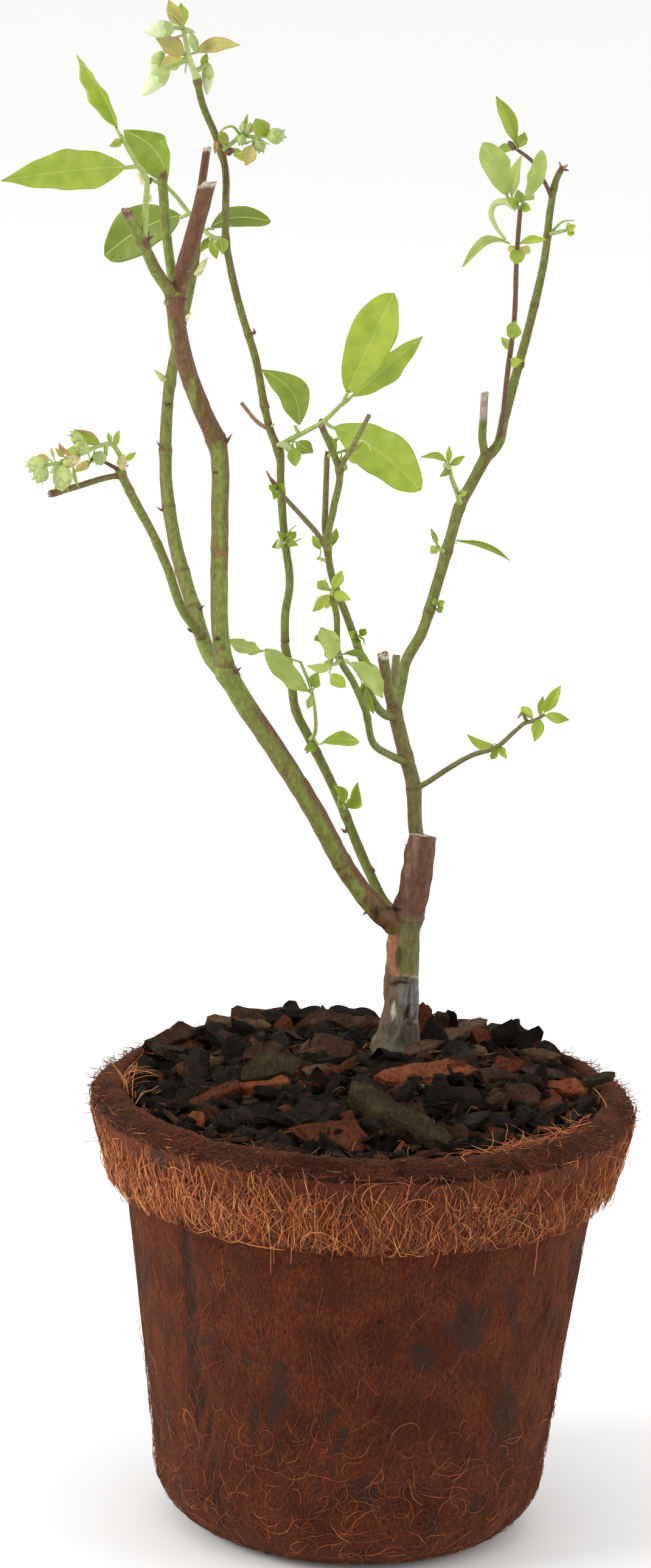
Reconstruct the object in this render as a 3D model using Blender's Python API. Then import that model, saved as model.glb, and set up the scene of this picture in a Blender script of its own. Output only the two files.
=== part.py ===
"""Blueberry bush in a coir pot, built as separate solid parts.

Units are metres, +Z is up, and the plant's front faces -Y. The origin is the middle of
the pot's flat underside.

A place on the plant is written as (across, up, depth) in millimetres. Across and up say
where it shows on the upright plane through the pot's axis, to an eye in front of the
plant. Depth is how far behind that plane it lies, along the same line of sight.
"""

import math
import random

import bmesh
import bpy
from mathutils import Matrix, Vector

MM = 0.001

# Clearance between solids that touch on the real plant
GAP = 0.00035

# Eye in front of the plant, looking down on the pot's rim
EYE = Vector((-0.0155, -1.748, 0.666))

# Pot: a cone of pressed coir with a folded collar round its rim
RIM_RADIUS = 0.085
RIM_HEIGHT = 0.137
LIP_RADIUS = 0.0765
LIP_HEIGHT = 0.1415
LIP_DEPTH = 0.002
HEM_RADIUS = 0.0784
HEM_HEIGHT = 0.1124
HEM_ROUND = 0.0014
WALL_FOOT_RADIUS = 0.0611
WALL_TOP_RADIUS = 0.0734
WALL_THICKNESS = 0.004
FOOT_ROUND = 0.0203
FLOOR_THICKNESS = 0.006
POT_SIDES = 30

# Filling: a root ball under a heaped layer of bark
ROOT_BALL_TOP = 0.122
MULCH_EDGE_HEIGHT = 0.1345
MULCH_HEAP = 0.0125
MULCH_TILT = 0.0015
MULCH_RADIUS = 0.0722
MULCH_RINGS = 5
MULCH_RIPPLE = (-0.0006, 0.0012)
CHIP_COUNT = 26
CHIP_LENGTH = (0.014, 0.028)
CHIP_WIDTH = (0.006, 0.011)
CHIP_THICKNESS = (0.003, 0.0045)
CHIP_OUTLINE = [(-0.5, -0.3), (-0.2, -0.5), (0.35, -0.45), (0.5, 0.1), (0.25, 0.5), (-0.4, 0.4)]
CHIP_SHRINK = (0.8, 1.0)
CHIP_LEAN = 22
CHIP_RISE = 0.12
CHIP_SEED = 7

# Trunk: flat cut on the bark, flare above it
TRUNK_ROUTE = [(7.0, 152.7, 20), (9.7, 166.0, 19), (10.3, 179.8, 17), (10.8, 194.7, 15),
               (13.2, 204.9, 13), (14.2, 214.1, 11.5), (15.4, 222.4, 10)]
TRUNK_DIAMETER = 12.0
TRUNK_TIP_DIAMETER = 8.3
TRUNK_SIDES = 12
TRUNK_STEP = 0.006
FLARE = 1.42
FLARE_HEIGHT = 0.0055
FOOT_CUT_RISE = 0.0022

# Flat seat pressed into the bark for the trunk's foot
SEAT_RADIUS = 0.0125
SEAT_MOUTH_RADIUS = 0.0144
SEAT_DEPTH = 0.02
SEAT_SIDES = 20

# Limb sections are this far apart
LIMB_STEP = 0.011
TWIG_STEP = 0.006

# Leaves: a blade is this thick at its midrib, and its stalk this wide
BLADE_THICKNESS = 0.0009
STALK_WIDTH = 0.001
STALK_SHARE = 0.1
STALK_SIDES = 5

# Flower buds are coarse eggs, blunt at both ends, on a stalk that runs into them
BUD_RINGS = 4
BUD_SIDES = 7
BUD_BLUNT_SHARE = 0.07
BUD_STALK_SHARE = 0.3

# Small tufts: leaves set round a head, turning by the golden angle each time
GOLDEN_ANGLE = math.pi * (3 - math.sqrt(5))
TUFT_LEAP = 1.6
TUFT_SPREAD = (0.8, 1.1)
TUFT_REACH = (0.1, 0.5)
TUFT_ROLL = 30

# Edges sharper than this stay crisp, in degrees
CREASE_ANGLE = 50

BARK_BROWN = (0.20, 0.13, 0.085)
BARK_GREY = (0.25, 0.22, 0.18)
STEM_GREEN = (0.24, 0.28, 0.10)
LEAF_GREEN = (0.42, 0.58, 0.12)
BUD_GREEN = (0.50, 0.62, 0.25)
COIR_DARK = (0.17, 0.07, 0.04)
COIR_TAN = (0.38, 0.17, 0.07)
MULCH_DARK = (0.045, 0.035, 0.03)


# Places and routes


def sight(place):
    """The point in space of a place written as (across, up, depth)."""
    across, up, depth = place
    on_plane = Vector((across * MM, 0.0, up * MM))
    reach = (depth * MM - EYE.y) / -EYE.y
    return EYE + (on_plane - EYE) * reach


def smooth(points, step):
    """Points about one step apart on a smooth curve through the given points."""
    spans = [(b - a).length for a, b in zip(points, points[1:])]
    slopes = [(b - a) / span for a, b, span in zip(points, points[1:], spans)]
    tangents = [slopes[0]]
    for i in range(1, len(spans)):
        before = spans[i - 1]
        after = spans[i]
        tangents.append((slopes[i - 1] * after + slopes[i] * before) / (before + after))
    tangents.append(slopes[-1])
    path = [points[0].copy()]
    for i, span in enumerate(spans):
        count = max(1, round(span / step))
        for k in range(1, count + 1):
            t = k / count
            lean_in = tangents[i] * span * (t - 2 * t**2 + t**3)
            lean_out = tangents[i + 1] * span * (t**3 - t**2)
            blend = 3 * t**2 - 2 * t**3
            path.append(points[i].lerp(points[i + 1], blend) + lean_in + lean_out)
    return path


def shares(path):
    """How far along its path each point lies, from 0 to 1."""
    run = [0.0]
    for a, b in zip(path, path[1:]):
        run.append(run[-1] + (b - a).length)
    return [value / run[-1] for value in run]


def frames(path):
    """A direction and two cross directions at each point, carried along without twist."""
    result = []
    side = None
    for i, point in enumerate(path):
        ahead = path[min(i + 1, len(path) - 1)] - path[max(i - 1, 0)]
        ahead.normalize()
        if side is None:
            side = ahead.cross(Vector((0.0, 1.0, 0.0)))
        side = (side - ahead * side.dot(ahead)).normalized()
        result.append((ahead, side, ahead.cross(side)))
    return result


# Meshes and objects


def material(name, colour, roughness):
    made = bpy.data.materials.new(name)
    made.use_nodes = True
    shader = made.node_tree.nodes["Principled BSDF"]
    shader.inputs["Base Color"].default_value = (*colour, 1.0)
    shader.inputs["Roughness"].default_value = roughness
    shader.inputs["Metallic"].default_value = 0.0
    made.diffuse_color = (*colour, 1.0)
    return made


def mesh_object(name, verts, faces, look=None):
    """An object of one closed mesh, its faces turned outwards."""
    mesh = bpy.data.meshes.new(name)
    mesh.from_pydata([tuple(v) for v in verts], [], faces)
    shell = bmesh.new()
    shell.from_mesh(mesh)
    bmesh.ops.recalc_face_normals(shell, faces=shell.faces)
    shell.to_mesh(mesh)
    shell.free()
    made = bpy.data.objects.new(name, mesh)
    bpy.context.scene.collection.objects.link(made)
    if look:
        mesh.materials.append(look)
    return made


def ring_faces(rings, sides):
    """Faces that skin rings of equal size, with a cap at each end."""
    faces = [list(range(sides))]
    for ring in range(rings - 1):
        for k in range(sides):
            a = ring * sides + k
            b = ring * sides + (k + 1) % sides
            faces.append([a, b, b + sides, a + sides])
    faces.append([(rings - 1) * sides + k for k in range(sides)])
    return faces


def tube(name, path, radii, sides, look=None, grow=0.0):
    """A closed tube along a path. Grow moves its wall and both ends outwards."""
    across = frames(path)
    points = [point.copy() for point in path]
    points[0] -= across[0][0] * grow
    points[-1] += across[-1][0] * grow
    verts = []
    for point, radius, (_, side, up) in zip(points, radii, across):
        wide = radius + grow / math.cos(math.pi / sides)
        for k in range(sides):
            turn = 2 * math.pi * k / sides
            verts.append(point + (side * math.cos(turn) + up * math.sin(turn)) * wide)
    return mesh_object(name, verts, ring_faces(len(path), sides), look)


def turned(name, profile, look):
    """A solid turned about the pot's axis from a profile of (radius, height)."""
    verts = []
    starts = []
    for radius, height in profile:
        starts.append(len(verts))
        count = 1 if radius == 0 else POT_SIDES
        for k in range(count):
            turn = 2 * math.pi * k / POT_SIDES
            verts.append((radius * math.cos(turn), radius * math.sin(turn), height))
    faces = []
    pairs = list(zip(range(len(profile)), range(1, len(profile))))
    if profile[0][0] > 0:
        pairs.append((len(profile) - 1, 0))
    for i, j in pairs:
        for k in range(POT_SIDES):
            following = (k + 1) % POT_SIDES
            if profile[i][0] == 0 and profile[j][0] == 0:
                continue
            if profile[i][0] == 0:
                faces.append([starts[i], starts[j] + k, starts[j] + following])
            elif profile[j][0] == 0:
                faces.append([starts[i] + k, starts[i] + following, starts[j]])
            else:
                faces.append([starts[i] + k, starts[i] + following,
                              starts[j] + following, starts[j] + k])
    return mesh_object(name, verts, faces, look)


def tidy_cut(mesh):
    """Dissolve the idle corners that a cut leaves on straight edges, and split the faces.

    Returns whether the mesh has faces, and every edge joins just two of them.
    """
    shell = bmesh.new()
    shell.from_mesh(mesh)
    idle = [vert for vert in shell.verts if len(vert.link_edges) == 2]
    bmesh.ops.dissolve_verts(shell, verts=idle)
    bmesh.ops.triangulate(shell, faces=shell.faces)
    answer = len(shell.faces) > 0 and all(len(edge.link_faces) == 2 for edge in shell.edges)
    shell.to_mesh(mesh)
    shell.free()
    return answer


def apply_boolean(target, operation, operand):
    """Cut or join at once, leaving no modifier."""
    modifier = target.modifiers.new("Boolean", "BOOLEAN")
    modifier.operation = operation
    if isinstance(operand, bpy.types.Collection):
        modifier.operand_type = "COLLECTION"
        modifier.collection = operand
    else:
        modifier.object = operand
    for solver in ("EXACT", "MANIFOLD"):
        modifier.solver = solver
        bpy.context.view_layer.update()
        graph = bpy.context.evaluated_depsgraph_get()
        result = bpy.data.meshes.new_from_object(target.evaluated_get(graph))
        if tidy_cut(result):
            break
    target.modifiers.clear()
    target.data = result


def keep_largest(target):
    """Drop the scraps that a cut leaves loose."""
    shell = bmesh.new()
    shell.from_mesh(target.data)
    unseen = set(shell.verts)
    groups = []
    while unseen:
        group = set()
        front = [unseen.pop()]
        while front:
            vert = front.pop()
            group.add(vert)
            for edge in vert.link_edges:
                other = edge.other_vert(vert)
                if other in unseen:
                    unseen.discard(other)
                    front.append(other)
        groups.append(group)
    groups.sort(key=len)
    for group in groups[:-1]:
        bmesh.ops.delete(shell, geom=list(group), context="VERTS")
    shell.to_mesh(target.data)
    shell.free()


def join(target, pieces):
    """Fuse the pieces to the target in one union, and remove them."""
    heap = bpy.data.collections.new(target.name + "_pieces")
    bpy.context.scene.collection.children.link(heap)
    for piece in pieces:
        bpy.context.scene.collection.objects.unlink(piece)
        heap.objects.link(piece)
    apply_boolean(target, "UNION", heap)
    for piece in pieces:
        bpy.data.objects.remove(piece)
    bpy.data.collections.remove(heap)


def finish(target):
    """Shade the solid smooth, apart from its real edges."""
    target.data.shade_smooth()
    target.data.set_sharp_from_angle(angle=math.radians(CREASE_ANGLE))


# Limbs


class Limb:
    """A tapering limb: its smooth path, its radii and the number of its sides."""

    def __init__(self, route, foot, tip, sides=8, step=LIMB_STEP, host=None):
        points = [sight(place) for place in route]
        if host:
            points[0] = host.nearest(points[0])
        self.path = smooth(points, step)
        self.radii = [(foot + (tip - foot) * s) * MM / 2 for s in shares(self.path)]
        self.sides = sides
        self.snags = []

    def nearest(self, point):
        """The nearest point on the limb's axis."""
        best = None
        for a, b in zip(self.path, self.path[1:]):
            run = b - a
            t = max(0.0, min(1.0, (point - a).dot(run) / run.length_squared))
            foot = a + run * t
            if best is None or (foot - point).length < (best - point).length:
                best = foot
        return best

    def solid(self, name, look=None, grow=0.0):
        return tube(name, self.path, self.radii, self.sides, look, grow)

    def seat(self, target):
        """Cut the target's foot to the limb's surface, one gap clear of it."""
        for limb in [self] + self.snags:
            cutter = limb.solid("cutter", grow=GAP)
            apply_boolean(target, "DIFFERENCE", cutter)
            bpy.data.objects.remove(cutter)
            keep_largest(target)


LIMBS = {}


def bough(name, route, foot, tip, look, host, sides=8, snags=(), beside=None):
    """One limb as a node, seated on its host and against the limb beside it.

    Short cut snags are fused to it.
    """
    limb = Limb(route, foot, tip, sides, host=LIMBS[host])
    LIMBS[name] = limb
    made = limb.solid(name, look)
    pieces = []
    for snag_route, snag_foot, snag_tip in snags:
        snag = Limb(snag_route, snag_foot, snag_tip, 6, TWIG_STEP, limb)
        limb.snags.append(snag)
        pieces.append(snag.solid("snag"))
    if pieces:
        join(made, pieces)
    LIMBS[host].seat(made)
    if beside:
        LIMBS[beside].seat(made)
    finish(made)
    return made


# Leaves and buds


def blade_width(t):
    """A leaf's share of its full width, t along it from stalk to tip."""
    return math.sin(math.pi * min(1.0, t) ** 0.9) ** 0.85


def leaf(stem, base, tip, width, turn=0.0, bow=0.0, sway=0.0, fold=0.25, stations=4):
    """A closed blade on a short stalk whose root is sunk in the stem's axis.

    Turn rolls the blade about its length, bow curves it out of its own plane and sway
    within it. Fold raises both edges by that share of the half width.
    """
    start = sight(base)
    end = sight(tip)
    root = stem.nearest(start)
    axis = end - start
    to_eye = EYE - (start + end) / 2
    side = axis.cross(to_eye).normalized()
    face = side.cross(axis).normalized()
    roll = Matrix.Rotation(math.radians(turn), 3, axis)
    side.rotate(roll)
    face.rotate(roll)
    verts = []
    half_thick = BLADE_THICKNESS / 2
    half_stalk = STALK_WIDTH / 2
    places = [0.0] + [STALK_SHARE + (1 - STALK_SHARE) * k / stations
                      for k in range(stations)]
    for t in places:
        arch = math.sin(math.pi * t)
        middle = start + axis * t + face * bow * MM * arch + side * sway * MM * arch
        if t == 0.0:
            middle = root
        open_part = max(0.0, (t - STALK_SHARE) / (1 - STALK_SHARE))
        half = max(half_stalk, width * MM / 2 * blade_width(open_part))
        rise = fold * half if open_part > 0 else 0.0
        verts += [middle - side * half + face * rise, middle + face * half_thick,
                  middle + side * half + face * rise, middle - face * half_thick]
    faces = ring_faces(len(places), 4)
    point = len(verts)
    last = faces.pop()
    verts.append(end)
    for k in range(4):
        faces.append([last[k], last[(k + 1) % 4], point])
    return mesh_object("leaf", verts, faces)


def egg(stem, base, tip, width):
    """A closed flower bud on its stalk."""
    start = sight(base)
    end = sight(tip)
    root = stem.nearest(start)
    axis = end - start
    middle = start + axis / 2
    path = []
    radii = []
    for k in range(BUD_RINGS + 1):
        turn = math.pi * (BUD_BLUNT_SHARE + (1 - 2 * BUD_BLUNT_SHARE) * k / BUD_RINGS)
        path.append(middle - axis / 2 * math.cos(turn))
        radii.append(width * MM / 2 * math.sin(turn))
    stalk = [root, start + axis * BUD_STALK_SHARE]
    return [tube("bud", path, radii, BUD_SIDES),
            tube("stalk", stalk, [STALK_WIDTH / 2] * 2, STALK_SIDES)]


class Spray:
    """One mass: a stem on its host, with leaves and buds fused to it."""

    def __init__(self, name, host, route, foot, tip, look):
        self.name = name
        self.host = LIMBS[host]
        self.stem = Limb(route, foot, tip, 7, TWIG_STEP, self.host)
        self.body = self.stem.solid(name, look)
        self.pieces = []

    def leaf(self, base, tip, width, **shape):
        self.pieces.append(leaf(self.stem, base, tip, width, **shape))

    def bud(self, base, tip, width):
        self.pieces += egg(self.stem, base, tip, width)

    def close(self):
        join(self.body, self.pieces)
        self.host.seat(self.body)
        LIMBS[self.name] = self.stem
        finish(self.body)


# Pot and its filling


def arc(centre, radius, start, end, steps):
    """Points on an arc in the profile plane, its angles in degrees."""
    points = []
    for k in range(steps + 1):
        turn = math.radians(start + (end - start) * k / steps)
        points.append((centre[0] + radius * math.cos(turn),
                       centre[1] + radius * math.sin(turn)))
    return points


def wall_radius(height):
    """The shell's outer radius: a cone that flares a little more behind the collar."""
    if height <= HEM_HEIGHT:
        share = (height - FOOT_ROUND) / (HEM_HEIGHT - FOOT_ROUND)
        return WALL_FOOT_RADIUS + (WALL_TOP_RADIUS - WALL_FOOT_RADIUS) * share
    share = (height - HEM_HEIGHT) / (LIP_HEIGHT - HEM_HEIGHT)
    return WALL_TOP_RADIUS + (LIP_RADIUS + LIP_DEPTH - WALL_TOP_RADIUS) * share


def pot_shell(look):
    top = LIP_HEIGHT - LIP_DEPTH - GAP
    corner = (WALL_FOOT_RADIUS - FOOT_ROUND, FOOT_ROUND)
    outside = [(0.0, 0.0)] + arc(corner, FOOT_ROUND, -90, 0, 5)
    outside += [(wall_radius(HEM_HEIGHT), HEM_HEIGHT), (wall_radius(top), top)]
    inner_round = FOOT_ROUND - WALL_THICKNESS
    inner_corner = (corner[0], FLOOR_THICKNESS + inner_round)
    inside = [(wall_radius(top) - WALL_THICKNESS, top)]
    inside.append((wall_radius(HEM_HEIGHT) - WALL_THICKNESS, HEM_HEIGHT))
    inside += arc(inner_corner, inner_round, 0, -90, 4)
    inside.append((0.0, FLOOR_THICKNESS))
    finish(turned("pot_shell", outside + inside, look))


def pot_collar(look):
    """A band folded over the shell's top edge, standing proud of the wall at its hem."""
    under = HEM_HEIGHT + GAP
    seat = LIP_HEIGHT - LIP_DEPTH
    profile = [(wall_radius(under) + GAP, under)]
    profile += arc((HEM_RADIUS - HEM_ROUND, under + HEM_ROUND), HEM_ROUND, -80, 0, 3)
    profile += [(RIM_RADIUS - HEM_ROUND / 3, RIM_HEIGHT - HEM_ROUND), (RIM_RADIUS, RIM_HEIGHT)]
    profile += [(LIP_RADIUS + LIP_DEPTH, LIP_HEIGHT - LIP_DEPTH / 4)]
    profile += [(LIP_RADIUS, LIP_HEIGHT)]
    inner = wall_radius(seat) - WALL_THICKNESS
    profile += [(inner, LIP_HEIGHT - LIP_DEPTH / 3), (inner, seat)]
    profile += [(wall_radius(seat) + GAP, seat)]
    finish(turned("pot_collar", profile, look))


def root_ball(look):
    inner_round = FOOT_ROUND - WALL_THICKNESS
    corner = (WALL_FOOT_RADIUS - FOOT_ROUND, FLOOR_THICKNESS + inner_round)
    profile = [(0.0, FLOOR_THICKNESS + GAP)]
    profile += arc(corner, inner_round - GAP, -90, 0, 4)
    profile += [(wall_radius(ROOT_BALL_TOP) - WALL_THICKNESS - 2 * GAP, ROOT_BALL_TOP)]
    profile += [(0.0, ROOT_BALL_TOP)]
    finish(turned("root_ball", profile, look))


def mulch_height(x, y):
    """Height of the bark heap: highest in the middle, a little higher at the back."""
    out = math.hypot(x, y) / MULCH_RADIUS
    return MULCH_EDGE_HEIGHT + MULCH_HEAP * (1 - out**2) + MULCH_TILT * y / MULCH_RADIUS


def chip(rng, x, y):
    """A flake of bark lying in the heap, with a six-sided outline."""
    length = rng.uniform(*CHIP_LENGTH)
    width = rng.uniform(*CHIP_WIDTH)
    thick = rng.uniform(*CHIP_THICKNESS)
    verts = []
    for level in (-0.5, 0.5):
        for u, v in CHIP_OUTLINE:
            shrink = rng.uniform(*CHIP_SHRINK)
            verts.append(Vector((u * length * shrink, v * width * shrink, level * thick)))
    lean = Matrix.Rotation(math.radians(rng.uniform(-CHIP_LEAN, CHIP_LEAN)), 4, "Y")
    heading = Matrix.Rotation(rng.uniform(0, math.pi), 4, "Z")
    lift = mulch_height(x, y) + thick * CHIP_RISE
    place = Matrix.Translation((x, y, lift)) @ heading @ lean
    return mesh_object("chip", [place @ v for v in verts], ring_faces(2, len(CHIP_OUTLINE)))


def bark_mulch(look, trunk_foot):
    """The heap with its larger chips fused on, and a flat seat for the trunk."""
    rng = random.Random(CHIP_SEED)
    bottom = ROOT_BALL_TOP + GAP
    verts = [(0.0, 0.0, bottom)]
    bottom_radius = wall_radius(bottom) - WALL_THICKNESS - 3 * GAP
    for k in range(POT_SIDES):
        turn = 2 * math.pi * k / POT_SIDES
        verts.append((bottom_radius * math.cos(turn), bottom_radius * math.sin(turn), bottom))
    for ring in range(MULCH_RINGS, 0, -1):
        radius = MULCH_RADIUS * ring / MULCH_RINGS
        for k in range(POT_SIDES):
            turn = 2 * math.pi * k / POT_SIDES
            x = radius * math.cos(turn)
            y = radius * math.sin(turn)
            ripple = rng.uniform(*MULCH_RIPPLE) if ring < MULCH_RINGS else 0.0
            verts.append((x, y, mulch_height(x, y) + ripple))
    verts.append((0.0, 0.0, mulch_height(0.0, 0.0)))
    faces = []
    for k in range(POT_SIDES):
        faces.append([0, 1 + k, 1 + (k + 1) % POT_SIDES])
    for ring in range(MULCH_RINGS):
        first = 1 + ring * POT_SIDES
        for k in range(POT_SIDES):
            following = (k + 1) % POT_SIDES
            faces.append([first + k, first + following,
                          first + POT_SIDES + following, first + POT_SIDES + k])
    last = 1 + MULCH_RINGS * POT_SIDES
    for k in range(POT_SIDES):
        faces.append([last + k, last + (k + 1) % POT_SIDES, len(verts) - 1])
    heap = mesh_object("bark_mulch", verts, faces, look)
    chips = []
    reach = MULCH_RADIUS - CHIP_LENGTH[1] / 2
    for k in range(CHIP_COUNT):
        out = reach * math.sqrt((k + 0.5) / CHIP_COUNT)
        x = out * math.cos(k * GOLDEN_ANGLE)
        y = out * math.sin(k * GOLDEN_ANGLE)
        chips.append(chip(rng, x, y))
    join(heap, chips)
    seat = trunk_foot - Vector((0, 0, GAP))
    mouth = trunk_foot + Vector((0, 0, SEAT_DEPTH))
    well = tube("well", [seat, mouth], [SEAT_RADIUS, SEAT_MOUTH_RADIUS], SEAT_SIDES)
    apply_boolean(heap, "DIFFERENCE", well)
    bpy.data.objects.remove(well)
    keep_largest(heap)
    finish(heap)


# Trunk


def trunk(look):
    """The stump of the first leader, flared at its flat foot and cut off above its fork."""
    limb = Limb(TRUNK_ROUTE, TRUNK_DIAMETER, TRUNK_TIP_DIAMETER, TRUNK_SIDES, TRUNK_STEP)
    foot = limb.path[0]
    for i, point in enumerate(limb.path):
        rise = point.z - foot.z
        limb.radii[i] *= 1 + (FLARE - 1) * math.exp(-rise / FLARE_HEIGHT)
    LIMBS["trunk"] = limb
    made = limb.solid("trunk", look)
    flat = foot + Vector((0, 0, FOOT_CUT_RISE))
    shell = bmesh.new()
    shell.from_mesh(made.data)
    cut = bmesh.ops.bisect_plane(
        shell, geom=shell.verts[:] + shell.edges[:] + shell.faces[:],
        plane_co=flat, plane_no=(0, 0, -1), clear_outer=True)
    edges = [item for item in cut["geom_cut"] if isinstance(item, bmesh.types.BMEdge)]
    bmesh.ops.edgeloop_fill(shell, edges=edges)
    bmesh.ops.recalc_face_normals(shell, faces=shell.faces)
    shell.to_mesh(made.data)
    shell.free()
    finish(made)
    return flat


# Stems


def left_side(green, brown):
    """The left stem, which forks into a front leader, a back leader and a side leader."""
    bough("left_stem",
          [(9.2, 191.5, 13), (2.4, 197.7, 10), (-6.3, 208.2, 6), (-19.1, 229.6, -4),
           (-34.4, 252.3, -12), (-40.7, 261.1, -15), (-47.8, 272.1, -16)],
          6.4, 6.2, green, "trunk")
    bough("left_leader",
          [(-47.2, 270.5, -16), (-49.5, 283.7, -17), (-50.3, 298.9, -17), (-50.9, 321.6, -15),
           (-52.3, 342.2, -14), (-57.5, 353.1, -15), (-65.2, 375.3, -19), (-66.7, 387.9, -22)],
          5.2, 5.6, green, "left_stem")
    bough("leader_cut_stub",
          [(-66.5, 385.6, -22), (-64.0, 395.8, -23), (-61.3, 407.0, -25), (-57.9, 421.8, -27)],
          5.3, 5.0, brown, "left_leader")
    bough("leader_left_stub",
          [(-66.6, 386.6, -22), (-72.2, 394.0, -29), (-76.3, 401.8, -35), (-82.2, 412.6, -43)],
          3.8, 3.2, green, "left_leader", sides=7, beside="leader_cut_stub")
    bough("leader_mid_stub",
          [(-67.0, 386.6, -21), (-67.8, 394.0, -18), (-69.6, 404.8, -17), (-71.7, 424.2, -17)],
          3.0, 2.9, green, "left_leader", sides=7, beside="leader_cut_stub")
    bough("back_leader",
          [(-47.6, 269.6, -15), (-51.4, 275.0, -8), (-57.9, 291.4, 8), (-64.3, 312.0, 20),
           (-67.5, 330.4, 28), (-68.0, 347.2, 33), (-67.5, 358.5, 33), (-65.3, 373.1, 30),
           (-60.9, 399.6, 22), (-60.4, 412.5, 20), (-58.4, 432.3, 20)],
          5.0, 2.4, green, "left_stem", beside="left_leader")
    bough("side_leader",
          [(-54.6, 282.2, -1), (-57.7, 285.7, -6), (-60.3, 289.0, -9), (-66.3, 303.6, -20),
           (-72.2, 315.8, -31), (-75.8, 321.9, -36), (-81.6, 332.6, -44)],
          2.9, 2.7, green, "back_leader", sides=7)
    bough("side_cut_twig",
          [(-81.3, 331.7, -43), (-85.1, 330.8, -46), (-93.9, 327.8, -52), (-102.9, 324.8, -58)],
          1.7, 2.1, brown, "side_leader", sides=7)


def middle(green, brown):
    """The tall thin stem in the middle, which carries the highest blossom."""
    bough("middle_stem",
          [(9.6, 195.4, 17), (3.6, 201.4, 22), (-1.1, 210.4, 24), (-12.4, 235.3, 21),
           (-21.1, 251.9, 17), (-25.3, 259.8, 15), (-27.6, 272.2, 13), (-29.6, 280.7, 12)],
          3.2, 2.7, green, "trunk")
    bough("middle_leader",
          [(-29.5, 280.3, 12), (-29.8, 290.4, 13), (-28.8, 298.8, 13), (-31.0, 314.8, 12),
           (-32.7, 331.7, 10), (-33.4, 340.2, 8), (-35.8, 345.7, 7), (-42.1, 370.5, 3),
           (-46.3, 382.6, 0), (-50.3, 397.1, -4), (-51.9, 405.5, -5), (-52.2, 413.8, -4),
           (-53.0, 427.5, -2), (-55.6, 435.1, -2), (-60.5, 446.3, -6), (-62.2, 453.3, -8)],
          2.6, 2.1, green, "middle_stem", sides=7,
          snags=[([(-37.2, 347.0, 6), (-39.5, 348.9, 4), (-45.4, 355.2, 0)], 1.3, 1.2)])


def right_side(green, brown):
    """The right stem, its cut stubs, and the leaders and twigs that grow on from it."""
    bough("right_stem",
          [(11.6, 192.5, 16), (13.3, 207.3, 25), (13.8, 217.0, 27), (12.5, 226.6, 28),
           (11.5, 238.2, 29), (8.6, 248.1, 31), (4.5, 262.3, 33)],
          4.6, 4.6, green, "trunk")
    bough("right_cut_stubs",
          [(4.4, 261.0, 33), (2.6, 268.6, 31), (0.4, 279.4, 29)],
          3.7, 3.5, brown, "right_stem", sides=7,
          snags=[([(3.4, 264.6, 32), (4.2, 271.0, 34), (4.7, 279.0, 36)], 2.6, 2.4)])
    bough("right_leader",
          [(5.0, 260.2, 34), (6.4, 268.7, 42), (7.6, 276.8, 45), (11.9, 285.8, 47),
           (15.6, 299.2, 48), (19.7, 316.4, 49), (21.9, 325.4, 50), (24.8, 332.1, 50),
           (29.9, 342.7, 50)],
          3.3, 3.6, green, "right_stem", beside="right_cut_stubs")
    bough("right_cut_tip",
          [(29.3, 341.4, 50), (28.0, 346.9, 48), (28.0, 352.7, 47), (28.1, 361.3, 45)],
          2.6, 2.4, brown, "right_leader", sides=7)
    bough("right_top",
          [(29.2, 341.2, 50), (32.4, 344.8, 51), (34.4, 353.9, 50), (37.4, 367.6, 48),
           (41.5, 386.6, 44), (44.4, 403.7, 41), (45.4, 418.5, 39), (46.6, 426.5, 38),
           (48.4, 430.9, 38)],
          3.3, 2.0, green, "right_leader", sides=7, beside="right_cut_tip")
    bough("inner_twig",
          [(5.2, 259.0, 32), (1.4, 260.4, 26), (-1.7, 264.0, 20), (-5.2, 275.5, 12),
           (-10.2, 288.5, 3), (-17.0, 307.2, -11), (-17.8, 313.5, -14), (-16.3, 323.9, -20),
           (-15.1, 336.2, -26), (-16.6, 340.0, -28), (-21.0, 349.3, -33)],
          2.7, 2.0, green, "right_stem", sides=7,
          snags=[([(-15.0, 336.2, -26), (-12.9, 340.0, -29), (-6.6, 353.0, -35)], 1.7, 1.4)])
    bough("inner_side_twig",
          [(-17.5, 311.6, -13), (-18.7, 317.6, -14), (-18.8, 324.7, -15), (-18.9, 341.3, -17)],
          2.0, 1.7, green, "inner_twig", sides=7)
    bough("inner_back_twig",
          [(-17.4, 311.0, -12), (-20.8, 315.6, -5), (-25.1, 320.3, 4), (-30.3, 325.6, 19),
           (-34.7, 330.1, 25)],
          1.7, 1.4, green, "inner_twig", sides=6)
    bough("low_twig",
          [(9.6, 245.0, 30), (4.4, 247.2, 22), (-1.2, 250.8, 10), (-4.3, 261.6, -2),
           (-8.3, 270.1, -9), (-12.9, 277.7, -14), (-14.4, 292.0, -19), (-15.7, 296.5, -20)],
          2.4, 2.0, green, "right_stem", sides=7)


# Masses of leaves and blossom


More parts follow.
